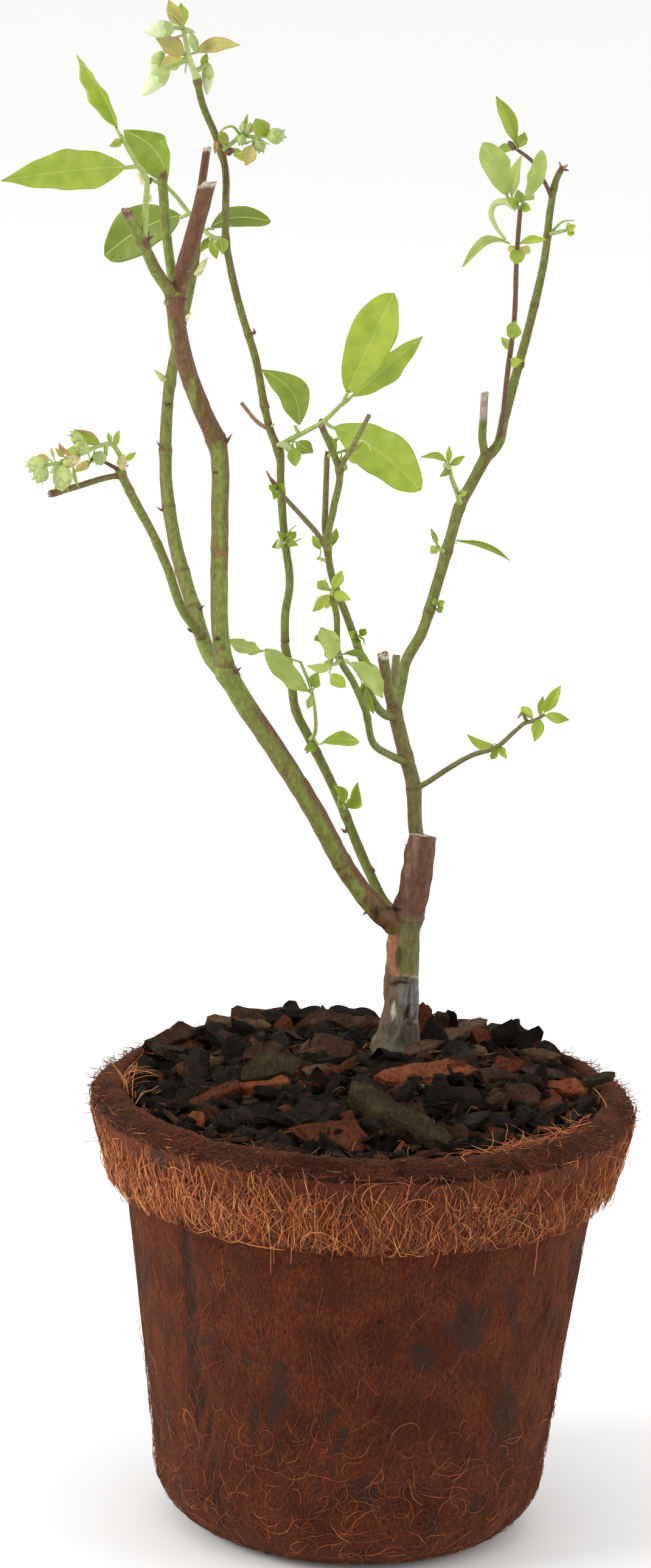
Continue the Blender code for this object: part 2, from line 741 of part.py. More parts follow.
def left_leaves(leafy, buds):
    spray = Spray("top_left_leaves", "leader_left_stub",
                  [(-76.0, 402.0, -35), (-76.3, 407.3, -38), (-76.2, 415.6, -40),
                   (-76.4, 422.8, -42), (-79.1, 426.5, -44), (-84.5, 435.1, -48)],
                  2.0, 1.3, leafy)
    spray.leaf((-78.7, 426.0, -44), (-119.9, 420.0, -62), 12.5, turn=12, bow=2, sway=0.7)
    spray.leaf((-84.4, 434.7, -48), (-98.1, 458.5, -40), 6.8, turn=-15, sway=2.8)
    spray.leaf((-83.7, 433.5, -47), (-87.6, 431.7, -52), 2.6, stations=2)
    spray.close()

    spray = Spray("left_shoot_leaves", "middle_leader",
                  [(-51.7, 405.1, -5), (-55.2, 405.2, -4), (-59.1, 408.0, -1),
                   (-63.1, 412.4, 2), (-69.5, 419.4, 2), (-75.3, 422.4, 0)],
                  1.5, 1.1, leafy)
    spray.leaf((-57.8, 407.5, -2), (-38.5, 411.0, 12), 7.5, turn=-15, sway=-3.4, bow=-1.5)
    spray.leaf((-63.1, 412.3, 2), (-87.2, 398.2, 10), 14.0, turn=10, bow=-1.5, sway=2.2)
    spray.leaf((-69.5, 419.4, 2), (-83.4, 436.6, 8), 12.5, turn=-15, sway=3.6)
    spray.leaf((-53.6, 405.0, -5), (-52.6, 400.4, -11), 4.4, stations=2)
    spray.leaf((-56.8, 405.7, -3), (-59.2, 400.8, -6), 2.6, stations=2)
    spray.leaf((-56.5, 405.5, -3), (-54.4, 399.0, -10), 3.2, stations=2)
    spray.close()

    spray = Spray("left_blossom", "side_leader",
                  [(-81.3, 332.2, -44), (-80.6, 335.3, -45), (-82.2, 338.4, -47),
                   (-84.3, 341.0, -49), (-87.8, 340.5, -52), (-93.3, 337.8, -56),
                   (-98.7, 335.1, -60), (-104.3, 333.8, -63)],
                  1.6, 1.1, buds)
    spray.bud((-105.5, 333.7, -63), (-109.7, 335.1, -64), 3.6)
    spray.bud((-104.1, 333.4, -63), (-106.5, 329.6, -66), 3.8)
    spray.bud((-98.7, 334.4, -60), (-98.7, 327.6, -63), 4.8)
    spray.bud((-98.9, 334.4, -58), (-101.1, 333.2, -54), 3.2)
    spray.bud((-94.7, 336.8, -57), (-97.8, 335.4, -62), 3.6)
    spray.bud((-93.3, 338.2, -56), (-96.0, 343.9, -58), 3.0)
    spray.bud((-88.1, 339.9, -52), (-87.5, 336.2, -55), 3.6)
    spray.leaf((-87.2, 340.5, -52), (-95.5, 345.2, -54), 3.6, stations=2, fold=0.5)
    spray.leaf((-92.7, 338.4, -56), (-97.6, 339.5, -50), 3.0, stations=2)
    spray.leaf((-84.5, 340.8, -49), (-85.5, 344.5, -47), 1.8, stations=2)
    spray.leaf((-83.7, 340.1, -48), (-82.8, 345.3, -51), 2.2, stations=2)
    spray.leaf((-80.6, 335.7, -45), (-77.0, 338.8, -42), 2.2, stations=2)
    spray.leaf((-90.9, 338.5, -54), (-95.5, 331.9, -58), 2.0, stations=2)
    spray.leaf((-102.6, 334.1, -62), (-107.1, 335.9, -60), 2.8, stations=2)
    spray.leaf((-100.2, 334.7, -61), (-103.3, 339.3, -63), 2.0, stations=2)
    spray.close()


def crown_leaves(leafy, buds):
    spray = Spray("crown_blossom", "middle_leader",
                  [(-62.2, 453.1, -8), (-64.6, 459.0, -9), (-65.7, 463.7, -10),
                   (-66.7, 467.9, -11)],
                  1.9, 1.5, buds)
    spray.bud((-69.8, 467.7, -14), (-77.7, 466.5, -18), 5.1)
    spray.bud((-71.0, 455.5, -12), (-77.7, 447.6, -14), 4.6)
    spray.bud((-72.8, 459.8, -4), (-75.7, 454.2, 0), 3.8)
    spray.bud((-58.9, 457.1, -6), (-59.4, 448.9, -4), 3.0)
    spray.bud((-63.8, 462.6, -12), (-64.3, 466.1, -16), 2.6)
    spray.leaf((-66.7, 467.9, -11), (-71.0, 475.8, -14), 4.4, stations=2, fold=0.5)
    spray.leaf((-66.5, 467.9, -11), (-67.9, 475.6, -5), 3.4, stations=2, fold=0.4)
    spray.leaf((-63.9, 460.3, -9), (-50.0, 463.2, -18), 4.4, turn=-20, sway=-1)
    spray.leaf((-65.2, 459.4, -9), (-74.6, 464.6, -16), 5.0, turn=15, fold=0.5, stations=3)
    spray.leaf((-66.1, 459.9, -9), (-72.3, 456.6, -5), 3.0, stations=2)
    spray.close()

    spray = Spray("side_blossom", "middle_leader",
                  [(-53.1, 431.7, -2), (-50.1, 434.8, -4), (-48.2, 436.7, -5),
                   (-45.6, 436.2, -6), (-42.2, 436.4, -8), (-39.8, 436.5, -9)],
                  1.4, 1.0, buds)
    spray.bud((-48.2, 436.9, -5), (-48.1, 440.0, -6), 2.2)
    spray.bud((-47.3, 436.7, -6), (-48.1, 433.5, -9), 2.2)
    spray.bud((-40.2, 436.5, -9), (-35.8, 437.4, -11), 3.8)
    spray.bud((-43.2, 436.2, -8), (-42.2, 432.4, -6), 3.0)
    spray.leaf((-52.2, 432.5, -3), (-54.6, 437.0, -8), 3.4, stations=2)
    spray.leaf((-41.4, 436.4, -8), (-44.7, 441.8, -12), 4.6, stations=2, fold=0.5)
    spray.leaf((-45.1, 436.3, -7), (-46.1, 428.2, -9), 2.8, stations=2)
    spray.leaf((-51.3, 433.2, -3), (-47.4, 430.9, 3), 1.8, stations=2)
    spray.leaf((-49.8, 435.0, -4), (-45.6, 429.3, -1), 2.2, stations=2)
    spray.close()


def middle_leaves(leafy):
    spray = Spray("middle_shoot_leaves", "middle_leader",
                  [(-33.5, 342.2, 8), (-30.4, 344.6, 7), (-26.8, 346.6, 5),
                   (-20.9, 350.2, 1), (-15.0, 356.1, -5)],
                  1.7, 1.2, leafy)
    spray.leaf((-27.6, 346.6, 5), (-39.5, 365.7, 12), 10.5, turn=15, sway=5)
    spray.leaf((-14.3, 356.5, -5), (-0.1, 390.5, -16), 15.5, turn=-15, bow=-2, sway=-0.8)
    spray.leaf((-14.3, 356.5, -5), (8.5, 377.7, 6), 8.4, turn=25, bow=-1.5)
    spray.leaf((-19.9, 350.6, 0), (10.1, 330.6, -14), 14.5, turn=-10, bow=1.5, sway=-1.8)
    spray.leaf((-26.6, 346.4, 5), (-28.2, 340.2, 2), 3.2, stations=2)
    spray.leaf((-26.1, 346.6, 4), (-23.3, 341.1, 10), 2.8, stations=2)
    spray.leaf((-30.6, 344.2, 7), (-34.8, 340.0, 1), 2.6, stations=2)
    spray.close()

    spray = Spray("low_leaves", "middle_stem",
                  [(-20.9, 251.2, 17), (-20.2, 252.0, 13), (-19.4, 253.4, 9),
                   (-19.4, 258.8, 4), (-21.5, 268.6, 1), (-24.6, 275.6, 0)],
                  1.4, 1.0, leafy)
    spray.leaf((-21.5, 268.6, 1), (-29.4, 283.4, -6), 6.0, turn=20, sway=1)
    spray.leaf((-24.4, 275.2, 0), (-46.0, 281.6, -6), 5.6, turn=30, bow=2)
    spray.leaf((-19.6, 257.6, 5), (-22.6, 274.0, -2), 5.2, turn=-30, sway=1.5)
    spray.leaf((-19.6, 252.4, 11), (-6.1, 252.1, 4), 4.2, turn=-15, sway=-1)
    spray.leaf((-19.8, 252.0, 12), (-23.6, 247.0, 9), 3.4, stations=2)
    spray.close()

    tuft("low_curl", "middle_stem", (-12.0, 233.4, 21), (-9.0, 233.3, 15),
         4, 5.0, 3.4, leafy, 3)
    tuft("mid_low_buds", "middle_leader", (-30.8, 313.3, 12), (-30.2, 313.5, 7),
         5, 4.6, 2.2, leafy, 5)
    tuft("mid_high_buds", "middle_leader", (-32.5, 329.9, 10), (-34.0, 330.2, 6),
         4, 4.4, 2.4, leafy, 8)


def inner_leaves(leafy):
    tuft("inner_low_buds", "inner_twig", (-8.3, 284.2, 6), (-6.8, 284.4, 1),
         4, 4.2, 2.4, leafy, 11)

    spray = Spray("inner_tip_leaves", "inner_side_twig",
                  [(-18.9, 339.9, -17), (-17.4, 340.8, -17.5), (-15.2, 341.2, -17),
                   (-13.0, 342.2, -16)],
                  1.1, 0.9, leafy)
    spray.leaf((-16.0, 341.0, -17), (-18.6, 346.6, -22), 2.4, stations=2)
    spray.leaf((-14.6, 341.4, -17), (-8.2, 344.5, -20), 3.2, stations=3)
    spray.leaf((-13.6, 341.8, -16), (-9.2, 338.0, -12), 2.8, stations=2)
    spray.leaf((-16.0, 341.2, -17), (-16.0, 337.2, -12), 2.4, stations=2)
    spray.close()

    spray = Spray("low_twig_tip_leaves", "low_twig",
                  [(-15.6, 296.0, -20), (-15.9, 298.4, -20.5)], 1.4, 1.0, leafy)
    spray.leaf((-15.9, 297.6, -20), (-21.4, 291.6, -25), 4.0, turn=10, stations=3)
    spray.leaf((-15.7, 298.0, -20), (-13.0, 304.6, -17), 4.4, turn=-15, stations=3)
    spray.leaf((-15.8, 297.7, -20), (-10.0, 295.7, -25), 4.2, stations=3)
    spray.leaf((-15.9, 297.9, -20), (-20.4, 300.8, -15), 3.6, stations=3)
    spray.close()

    spray = Spray("low_twig_leaves", "low_twig",
                  [(-12.5, 277.0, -14), (-13.6, 275.6, -17), (-15.4, 275.2, -20)],
                  1.4, 1.0, leafy)
    spray.leaf((-14.9, 275.4, -19), (-20.8, 287.2, -23), 6.2, turn=15, sway=1)
    spray.leaf((-15.2, 275.2, -20), (-23.6, 270.4, -25), 4.8, turn=-10, stations=3)
    spray.leaf((-14.3, 275.2, -18), (-10.9, 267.4, -23), 4.6, stations=3)
    spray.leaf((-13.8, 275.4, -18), (-2.4, 277.6, -22), 3.4, turn=-10, stations=3)
    spray.close()

    spray = Spray("pale_leaves", "low_twig",
                  [(-11.9, 276.6, -13), (-10.6, 276.4, -8), (-8.6, 275.2, -3)],
                  1.3, 1.0, leafy)
    spray.leaf((-9.0, 275.4, -4), (6.4, 264.9, 2), 7.0, turn=-25, bow=1.5, sway=1)
    spray.close()


def right_leaves(leafy):
    spray = Spray("right_twig_leaves", "right_stem",
                  [(11.6, 236.7, 29), (16.1, 239.5, 25), (22.5, 244.2, 18), (29.0, 248.3, 11),
                   (36.9, 251.5, 2), (42.1, 256.6, -4), (45.0, 259.2, -8), (48.1, 260.2, -11),
                   (50.6, 262.1, -13)],
                  1.9, 1.2, leafy)
    spray.leaf((50.3, 261.9, -13), (55.3, 271.3, -20), 3.8, stations=3)
    spray.leaf((50.4, 261.8, -13), (58.4, 260.7, -8), 3.4, stations=3)
    spray.leaf((49.6, 261.2, -12), (48.2, 253.5, -18), 4.0, stations=3)
    spray.leaf((47.7, 260.2, -11), (43.6, 264.2, -6), 3.2, stations=2)
    spray.leaf((49.4, 261.2, -12), (50.0, 267.8, -7), 2.4, stations=2)
    spray.leaf((36.9, 251.9, 2), (27.4, 254.8, -4), 3.0, turn=10, sway=-1.5, stations=3)
    spray.leaf((37.6, 252.0, 1), (35.2, 247.4, 6), 2.4, stations=2)
    spray.leaf((37.3, 251.6, 2), (39.9, 247.8, -3), 2.4, stations=2)
    spray.close()

    spray = Spray("right_node_leaves", "right_leader",
                  [(18.6, 311.8, 49), (17.0, 312.2, 46), (16.0, 313.3, 42)], 1.5, 1.1, leafy)
    spray.leaf((16.0, 313.5, 42), (13.7, 318.7, 38), 1.6, stations=2)
    spray.leaf((16.1, 313.1, 42), (13.9, 311.5, 36), 3.0, stations=2)
    spray.close()

    spray = Spray("right_long_leaf", "right_leader",
                  [(18.6, 313.4, 49), (18.6, 314.6, 55), (19.8, 315.6, 58)], 1.3, 1.0, leafy)
    spray.leaf((19.4, 315.2, 57), (35.2, 311.2, 66), 2.6, turn=20, sway=-2.2)
    spray.close()

    tuft("right_low_buds", "right_leader", (16.0, 295.8, 47), (17.4, 294.9, 42),
         4, 3.4, 2.4, leafy, 14)

    spray = Spray("right_inner_leaves", "right_leader",
                  [(22.3, 326.4, 50), (20.8, 330.8, 43), (19.1, 334.9, 38), (18.2, 338.9, 34)],
                  1.8, 1.3, leafy)
    spray.leaf((18.4, 338.6, 34), (9.5, 340.7, 28), 2.4, sway=1.8, stations=3)
    spray.leaf((18.2, 338.7, 34), (18.0, 344.4, 38), 2.0, stations=2)
    spray.leaf((18.4, 338.4, 34), (22.9, 341.6, 30), 2.4, stations=2)
    spray.leaf((18.6, 337.4, 35), (15.6, 335.0, 30), 2.4, stations=2)
    spray.leaf((21.2, 329.6, 44), (24.0, 330.6, 37), 2.4, stations=2)
    spray.close()

    spray = Spray("twin_twig_leaves", "right_top",
                  [(33.2, 347.6, 51), (33.9, 353.1, 45), (34.7, 367.5, 34), (36.0, 383.4, 24),
                   (35.9, 404.7, 14), (36.3, 417.6, 9)],
                  1.8, 1.4, leafy)
    spray.leaf((36.0, 377.6, 27), (36.2, 383.4, 20), 4.6, stations=3)
    spray.leaf((35.6, 374.6, 29), (32.4, 378.4, 34), 2.6, stations=2)
    spray.leaf((35.0, 370.5, 32), (39.0, 371.6, 26), 3.2, stations=2)
    spray.leaf((35.7, 406.5, 13), (19.5, 399.4, 2), 3.6, turn=15, sway=2.2)
    spray.leaf((35.8, 406.7, 13), (43.4, 410.3, 7), 2.2, sway=-0.8, stations=3)
    spray.leaf((35.9, 406.0, 13), (35.7, 400.8, 7), 3.4, stations=2)
    spray.leaf((35.9, 408.0, 12), (30.6, 417.4, 12), 1.6, sway=1.6, stations=3)
    spray.leaf((36.2, 416.6, 9.5), (24.2, 437.5, 2), 8.4, turn=15, bow=-1)
    spray.leaf((36.3, 417.3, 9.2), (34.0, 434.9, 15), 3.8, turn=-40, sway=0.8)
    spray.leaf((36.5, 416.0, 9.8), (42.0, 435.6, 12), 5.0, turn=30, sway=-1)
    spray.leaf((36.4, 415.2, 10.2), (40.6, 420.6, 3), 2.6, stations=2)
    spray.leaf((36.3, 414.4, 10.5), (32.5, 415.2, 4), 2.6, stations=2)
    spray.close()

    spray = Spray("right_tip_leaves", "right_top",
                  [(45.6, 421.4, 39), (43.4, 425.6, 36), (39.5, 431.7, 33), (33.8, 435.9, 29)],
                  1.3, 1.1, leafy)
    spray.leaf((34.4, 435.7, 29), (26.7, 451.1, 23), 4.6, turn=15, sway=0.8)
    spray.leaf((34.6, 435.4, 29), (35.9, 440.4, 25), 3.2, stations=2)
    spray.leaf((34.2, 435.6, 29), (29.0, 435.8, 34), 2.4, stations=2)
    spray.close()

    tuft("right_top_buds", "right_top", (45.1, 410.2, 40), (50.2, 411.6, 36),
         4, 3.6, 1.8, leafy, 17)


def tuft(name, host, place, head, count, length, width, look, seed):
    """A short shoot with a few small leaves set round its head by a seeded rule."""
    rng = random.Random(seed)
    spray = Spray(name, host, [place, head], 1.3, 1.1, look)
    start = rng.uniform(0, 2 * math.pi)
    for k in range(count):
        turn = start + k * GOLDEN_ANGLE * TUFT_LEAP
        far = length * rng.uniform(*TUFT_SPREAD)
        tip = (head[0] + far * math.cos(turn), head[1] + far * math.sin(turn),
               head[2] - far * rng.uniform(*TUFT_REACH))
        wide = width * rng.uniform(*TUFT_SPREAD)
        spray.leaf(head, tip, wide, stations=2, turn=rng.uniform(-TUFT_ROLL, TUFT_ROLL))
    spray.close()


def build():
    for item in list(bpy.data.objects):
        bpy.data.objects.remove(item)
    green = material("green_stem", STEM_GREEN, 0.55)
    brown = material("cut_wood", BARK_BROWN, 0.7)
    grey = material("trunk_bark", BARK_GREY, 0.8)
    leafy = material("leaf", LEAF_GREEN, 0.5)
    buds = material("blossom_bud", BUD_GREEN, 0.5)
    dark_coir = material("coir_wall", COIR_DARK, 0.9)
    tan_coir = material("coir_collar", COIR_TAN, 0.95)
    mulch = material("bark_mulch", MULCH_DARK, 0.85)

    pot_shell(dark_coir)
    pot_collar(tan_coir)
    root_ball(mulch)
    foot = trunk(grey)
    bark_mulch(mulch, foot)
    left_side(green, brown)
    middle(green, brown)
    right_side(green, brown)
    left_leaves(leafy, buds)
    crown_leaves(leafy, buds)
    middle_leaves(leafy)
    inner_leaves(leafy)
    right_leaves(leafy)


build()
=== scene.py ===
"""Looks of the blueberry bush in its coir pot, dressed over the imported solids.

Units are metres, +Z is up, and the plant's front faces -Y. The origin is the middle of
the pot's flat underside.

A place on the plant is written as (across, up, depth) in millimetres. Across and up say
where it shows on the upright plane through the pot's axis, to an eye in front of the
plant. Depth is how far behind that plane it lies, along the same line of sight.
"""

import itertools
import math

import bpy
import numpy as np
from mathutils import Matrix, Vector


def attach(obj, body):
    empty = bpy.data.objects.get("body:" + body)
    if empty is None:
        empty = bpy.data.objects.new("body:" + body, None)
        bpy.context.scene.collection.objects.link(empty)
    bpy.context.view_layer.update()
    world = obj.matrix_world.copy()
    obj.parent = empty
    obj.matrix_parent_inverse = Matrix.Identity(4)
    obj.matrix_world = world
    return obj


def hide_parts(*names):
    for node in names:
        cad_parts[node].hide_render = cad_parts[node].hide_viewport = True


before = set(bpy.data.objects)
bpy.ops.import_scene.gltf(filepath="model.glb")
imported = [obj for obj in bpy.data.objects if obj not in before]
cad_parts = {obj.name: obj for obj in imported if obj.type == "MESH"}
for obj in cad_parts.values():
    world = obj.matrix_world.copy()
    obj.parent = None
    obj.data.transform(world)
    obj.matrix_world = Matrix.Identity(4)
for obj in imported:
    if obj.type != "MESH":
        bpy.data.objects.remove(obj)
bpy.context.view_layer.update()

MM = 0.001

# The eye that the places are written for, as in the part's source
EYE = Vector((-0.0155, -1.748, 0.666))

# Camera, at the photograph's viewing angle: its turns in degrees, its lens and sensor in mm
CAMERA_TARGET = Vector((-0.0155, 0.0, 0.2375))
CAMERA_DISTANCE = 1.8
CAMERA_TILT = 13.786
CAMERA_ROLL = 2.2215
CAMERA_LENS = 134.3
CAMERA_SENSOR = 36.0
CAMERA_REACH = 50.0

# Pot, as in the part's source
RIM_RADIUS = 0.085
RIM_HEIGHT = 0.137
LIP_RADIUS = 0.0765
LIP_HEIGHT = 0.1415
LIP_DEPTH = 0.002
HEM_RADIUS = 0.0784
HEM_HEIGHT = 0.1124
SHOULDER_HEIGHT = 0.1305
WALL_FOOT_RADIUS = 0.0611
WALL_TOP_RADIUS = 0.0734
WALL_TOP_HEIGHT = 0.139
WALL_THICKNESS = 0.004
FOOT_ROUND = 0.0203
FLOOR_TOP = 0.0065
MULCH_EDGE_HEIGHT = 0.1345
MULCH_HEAP = 0.0125
MULCH_TILT = 0.0015
MULCH_RADIUS = 0.0722
MULCH_BED_SINK = 0.0035
MULCH_BED_FOOT = 0.123

# Rows and sides of the skins of the pot and the bed of bark, and the wall's gap at the axis
WALL_ROW = 0.0015
INSIDE_ROW = 0.006
COLLAR_ROW = 0.0010
WALL_SIDES = 300
COLLAR_SIDES = 360
BED_SIDES = 120
AXIS_GAP = 0.0004

# How far the relief of the wall, the collar and the bed stands out or in
WALL_STREAK_HEIGHT = 0.00022
WALL_LUMP_HEIGHT = 0.00045
WALL_PIT_DEPTH = 0.0006
CREASE_DEPTH = 0.0011
TANGLE_HEIGHT = 0.00045
WAVE_HEIGHT = 0.0009
BED_LUMP_HEIGHT = 0.0011
BED_GRIT_HEIGHT = 0.0005

# Rings this far apart skin the limbs, the trunk, the sprays' stems, the stalks and threads,
# and the scales
RING_STEP = 0.0007
TRUNK_RING_STEP = 0.0005
SPRAY_STEP = 0.0008
STALK_STEP = 0.0006
SCALE_STEP = 0.00035

# Sides round the sprays' stems, stalks, threads and scales, and the swelling where a
# spray's stem leaves its limb
SPRAY_SIDES = 12
STALK_SIDES = 8
THREAD_SIDES = 6
SCALE_SIDES = 9
SPRAY_SWELL = 0.45
SPRAY_SWELL_LENGTH = 0.0016

# Bark: its lumps and fissures, and the streaks and blotches of colour, which the pitch
# draws out along the limb
LUMP_SIZE = 0.004
FISSURE_SIZE = 0.0012
STREAK_SIZE = 0.0012
BLOTCH_SIZE = 0.0035
STREAK_PITCH = 0.13

# Leaves: the stalk's share of the length, the width in mm under which a leaf is young and
# its twist in degrees, bow and fold, the width from which a midrib shows, and sizes of the
# blade in metres
STALK_SHARE = 0.1
YOUNG_WIDTH = 5.5
YOUNG_TWIST = 50
YOUNG_BOW = 110
YOUNG_FOLD = 0.45
RIBBED_WIDTH = 4
LEAF_ROW = 0.0011
LEAF_THICKNESS = 0.00028
LEAF_EDGE_THINNING = 0.00018
SMALLEST_HALF_WIDTH = 0.00016
RIB_HALF_WIDTH = 0.00015
KEEL_DEPTH = 0.00035
QUILT_HEIGHT = 0.00018
VEIN_SPACING = 0.009

# Flower buds: sides round them, and the lobes of the cup and mouth
BUD_SIDES = 30
BUD_LOBES = 5

# Trunk, as in the part's source: its route, its diameters in mm, and the flare at its foot
TRUNK_ROUTE = [(9.8, 152.7, 20), (10.5, 166.0, 19), (10.4, 179.8, 17), (10.8, 194.7, 15),
               (13.2, 204.9, 13), (14.2, 214.1, 11.5), (15.4, 222.4, 10)]
TRUNK_DIAMETER = 12.0
TRUNK_TIP_DIAMETER = 8.3
FLARE = 1.42
FLARE_HEIGHT = 0.0055

# Sides of a loose fibre, and the turn that spreads chips evenly
TUBE_SIDES = 3
GOLDEN_ANGLE = math.pi * (3 - math.sqrt(5))

# Base colours, as the shader takes them
TONES = {
    "green": (0.155, 0.180, 0.038),
    "fresh green": (0.180, 0.215, 0.044),
    "pale green": (0.330, 0.380, 0.120),
    "olive": (0.150, 0.138, 0.040),
    "brown": (0.125, 0.060, 0.028),
    "dark": (0.028, 0.017, 0.011),
    "red": (0.210, 0.070, 0.045),
    "purple": (0.140, 0.060, 0.036),
    "grey": (0.135, 0.115, 0.085),
    "cool grey": (0.215, 0.215, 0.200),
    "dry": (0.300, 0.215, 0.145),
    "pale": (0.560, 0.500, 0.400),
    "orange": (0.300, 0.125, 0.060),
    "moss": (0.075, 0.085, 0.040),
}


# Places and routes, as in the part's source


def sight(place):
    """The point in space of a place written as (across, up, depth)."""
    across, up, depth = place
    on_plane = Vector((across * MM, 0.0, up * MM))
    reach = (depth * MM - EYE.y) / -EYE.y
    return EYE + (on_plane - EYE) * reach


def picture(points):
    """Where points show on the upright plane through the pot's axis, in millimetres."""
    reach = (points[..., 1] - EYE.y) / -EYE.y
    across = EYE.x + (points[..., 0] - EYE.x) / reach
    up = EYE.z + (points[..., 2] - EYE.z) / reach
    return across / MM, up / MM


def smooth(points, step):
    """Points about one step apart on a smooth curve through the given points."""
    spans = [(b - a).length for a, b in zip(points, points[1:])]
    slopes = [(b - a) / span for a, b, span in zip(points, points[1:], spans)]
    tangents = [slopes[0]]
    for i in range(1, len(spans)):
        before = spans[i - 1]
        after = spans[i]
        tangents.append((slopes[i - 1] * after + slopes[i] * before) / (before + after))
    tangents.append(slopes[-1])
    path = [points[0].copy()]
    for i, span in enumerate(spans):
        count = max(1, round(span / step))
        for k in range(1, count + 1):
            t = k / count
            lean_in = tangents[i] * span * (t - 2 * t**2 + t**3)
            lean_out = tangents[i + 1] * span * (t**3 - t**2)
            blend = 3 * t**2 - 2 * t**3
            path.append(points[i].lerp(points[i + 1], blend) + lean_in + lean_out)
    return path


def frames(path):
    """A direction and two cross directions at each point, carried along without twist."""
    result = []
    side = None
    for i in range(len(path)):
        ahead = path[min(i + 1, len(path) - 1)] - path[max(i - 1, 0)]
        ahead.normalize()
        if side is None:
            side = ahead.cross(Vector((0.0, 1.0, 0.0)))
        side = (side - ahead * side.dot(ahead)).normalized()
        result.append((ahead, side, ahead.cross(side)))
    return result


class Limb:
    """A tapering limb: its smooth path and its radii."""

    def __init__(self, route, foot, tip, step=RING_STEP, host=None):
        points = [sight(place) for place in route]
        if host:
            points[0] = host.nearest(points[0])
        self.host = host
        self.path = smooth(points, step)
        self.line = np.array(self.path)
        spans = np.linalg.norm(np.diff(self.line, axis=0), axis=1)
        self.run = np.concatenate([[0.0], np.cumsum(spans)])
        self.radii = (foot + (tip - foot) * self.run / self.run[-1]) * MM / 2

    def nearest(self, point):
        """The nearest point on the limb's axis."""
        best = None
        for a, b in zip(self.path, self.path[1:]):
            run = b - a
            t = max(0.0, min(1.0, (point - a).dot(run) / run.length_squared))
            foot = a + run * t
            if best is None or (foot - point).length < (best - point).length:
                best = foot
        return best

    def at(self, place):
        """The number of the path's point that shows nearest to a place (across, up)."""
        across, up = picture(self.line)
        return int(np.argmin((across - place[0]) ** 2 + (up - place[1]) ** 2))

    def depth(self, place):
        """How deep the limb's axis lies where it shows nearest to a place."""
        return self.line[self.at(place), 1] / MM

    def host_radius(self):
        """The host's radius where the limb starts, in millimetres."""
        return self.host.radii[self.host.at(picture(self.line[0]))] / MM


LIMBS = {}


# Repeatable noise


def lattice(cell, seed):
    """A repeatable number from 0 to 1 for each whole cell of space."""
    mixed = cell[..., 0] * 374761393 + cell[..., 1] * 668265263 + cell[..., 2] * 1442695041
    mixed = mixed + seed * 1274126177
    mixed = (mixed ^ (mixed >> 13)) * 1103515245
    mixed = mixed ^ (mixed >> 16)
    return (mixed & 0xFFFFFF) / 0xFFFFFF


def grain(points, size, seed):
    """Smooth noise from -1 to 1 at each point, its lumps about one size across."""
    scaled = np.asarray(points) / size + 0.37
    whole = np.floor(scaled).astype(np.int64)
    part = scaled - whole
    part = part * part * (3 - 2 * part)
    total = 0.0
    for corner in itertools.product((0, 1), repeat=3):
        chosen = np.array(corner)
        weight = np.prod(np.where(chosen == 1, part, 1 - part), axis=-1)
        total = total + weight * lattice(whole + chosen, seed)
    return total * 2 - 1


def ramp(value, low, high):
    """A smooth step from 0 at low to 1 at high."""
    t = np.clip((value - low) / (high - low), 0.0, 1.0)
    return t * t * (3 - 2 * t)


def unit(vectors):
    """The vectors at length 1."""
    return vectors / np.maximum(np.linalg.norm(vectors, axis=-1, keepdims=True), 1e-12)


def full_turn(sides):
    """Angles evenly round a full turn."""
    return 2 * np.pi * np.arange(sides) / sides


def outwards(path, sides):
    """The directions along a path, and those out from it on each side, at its points."""
    axes = frames(path)
    ahead, side, up = (np.array([axis[i] for axis in axes]) for i in range(3))
    turns = full_turn(sides)
    out = side[:, None] * np.cos(turns)[None, :, None] + up[:, None] * np.sin(turns)[None, :, None]
    return ahead, out


# Joined pieces


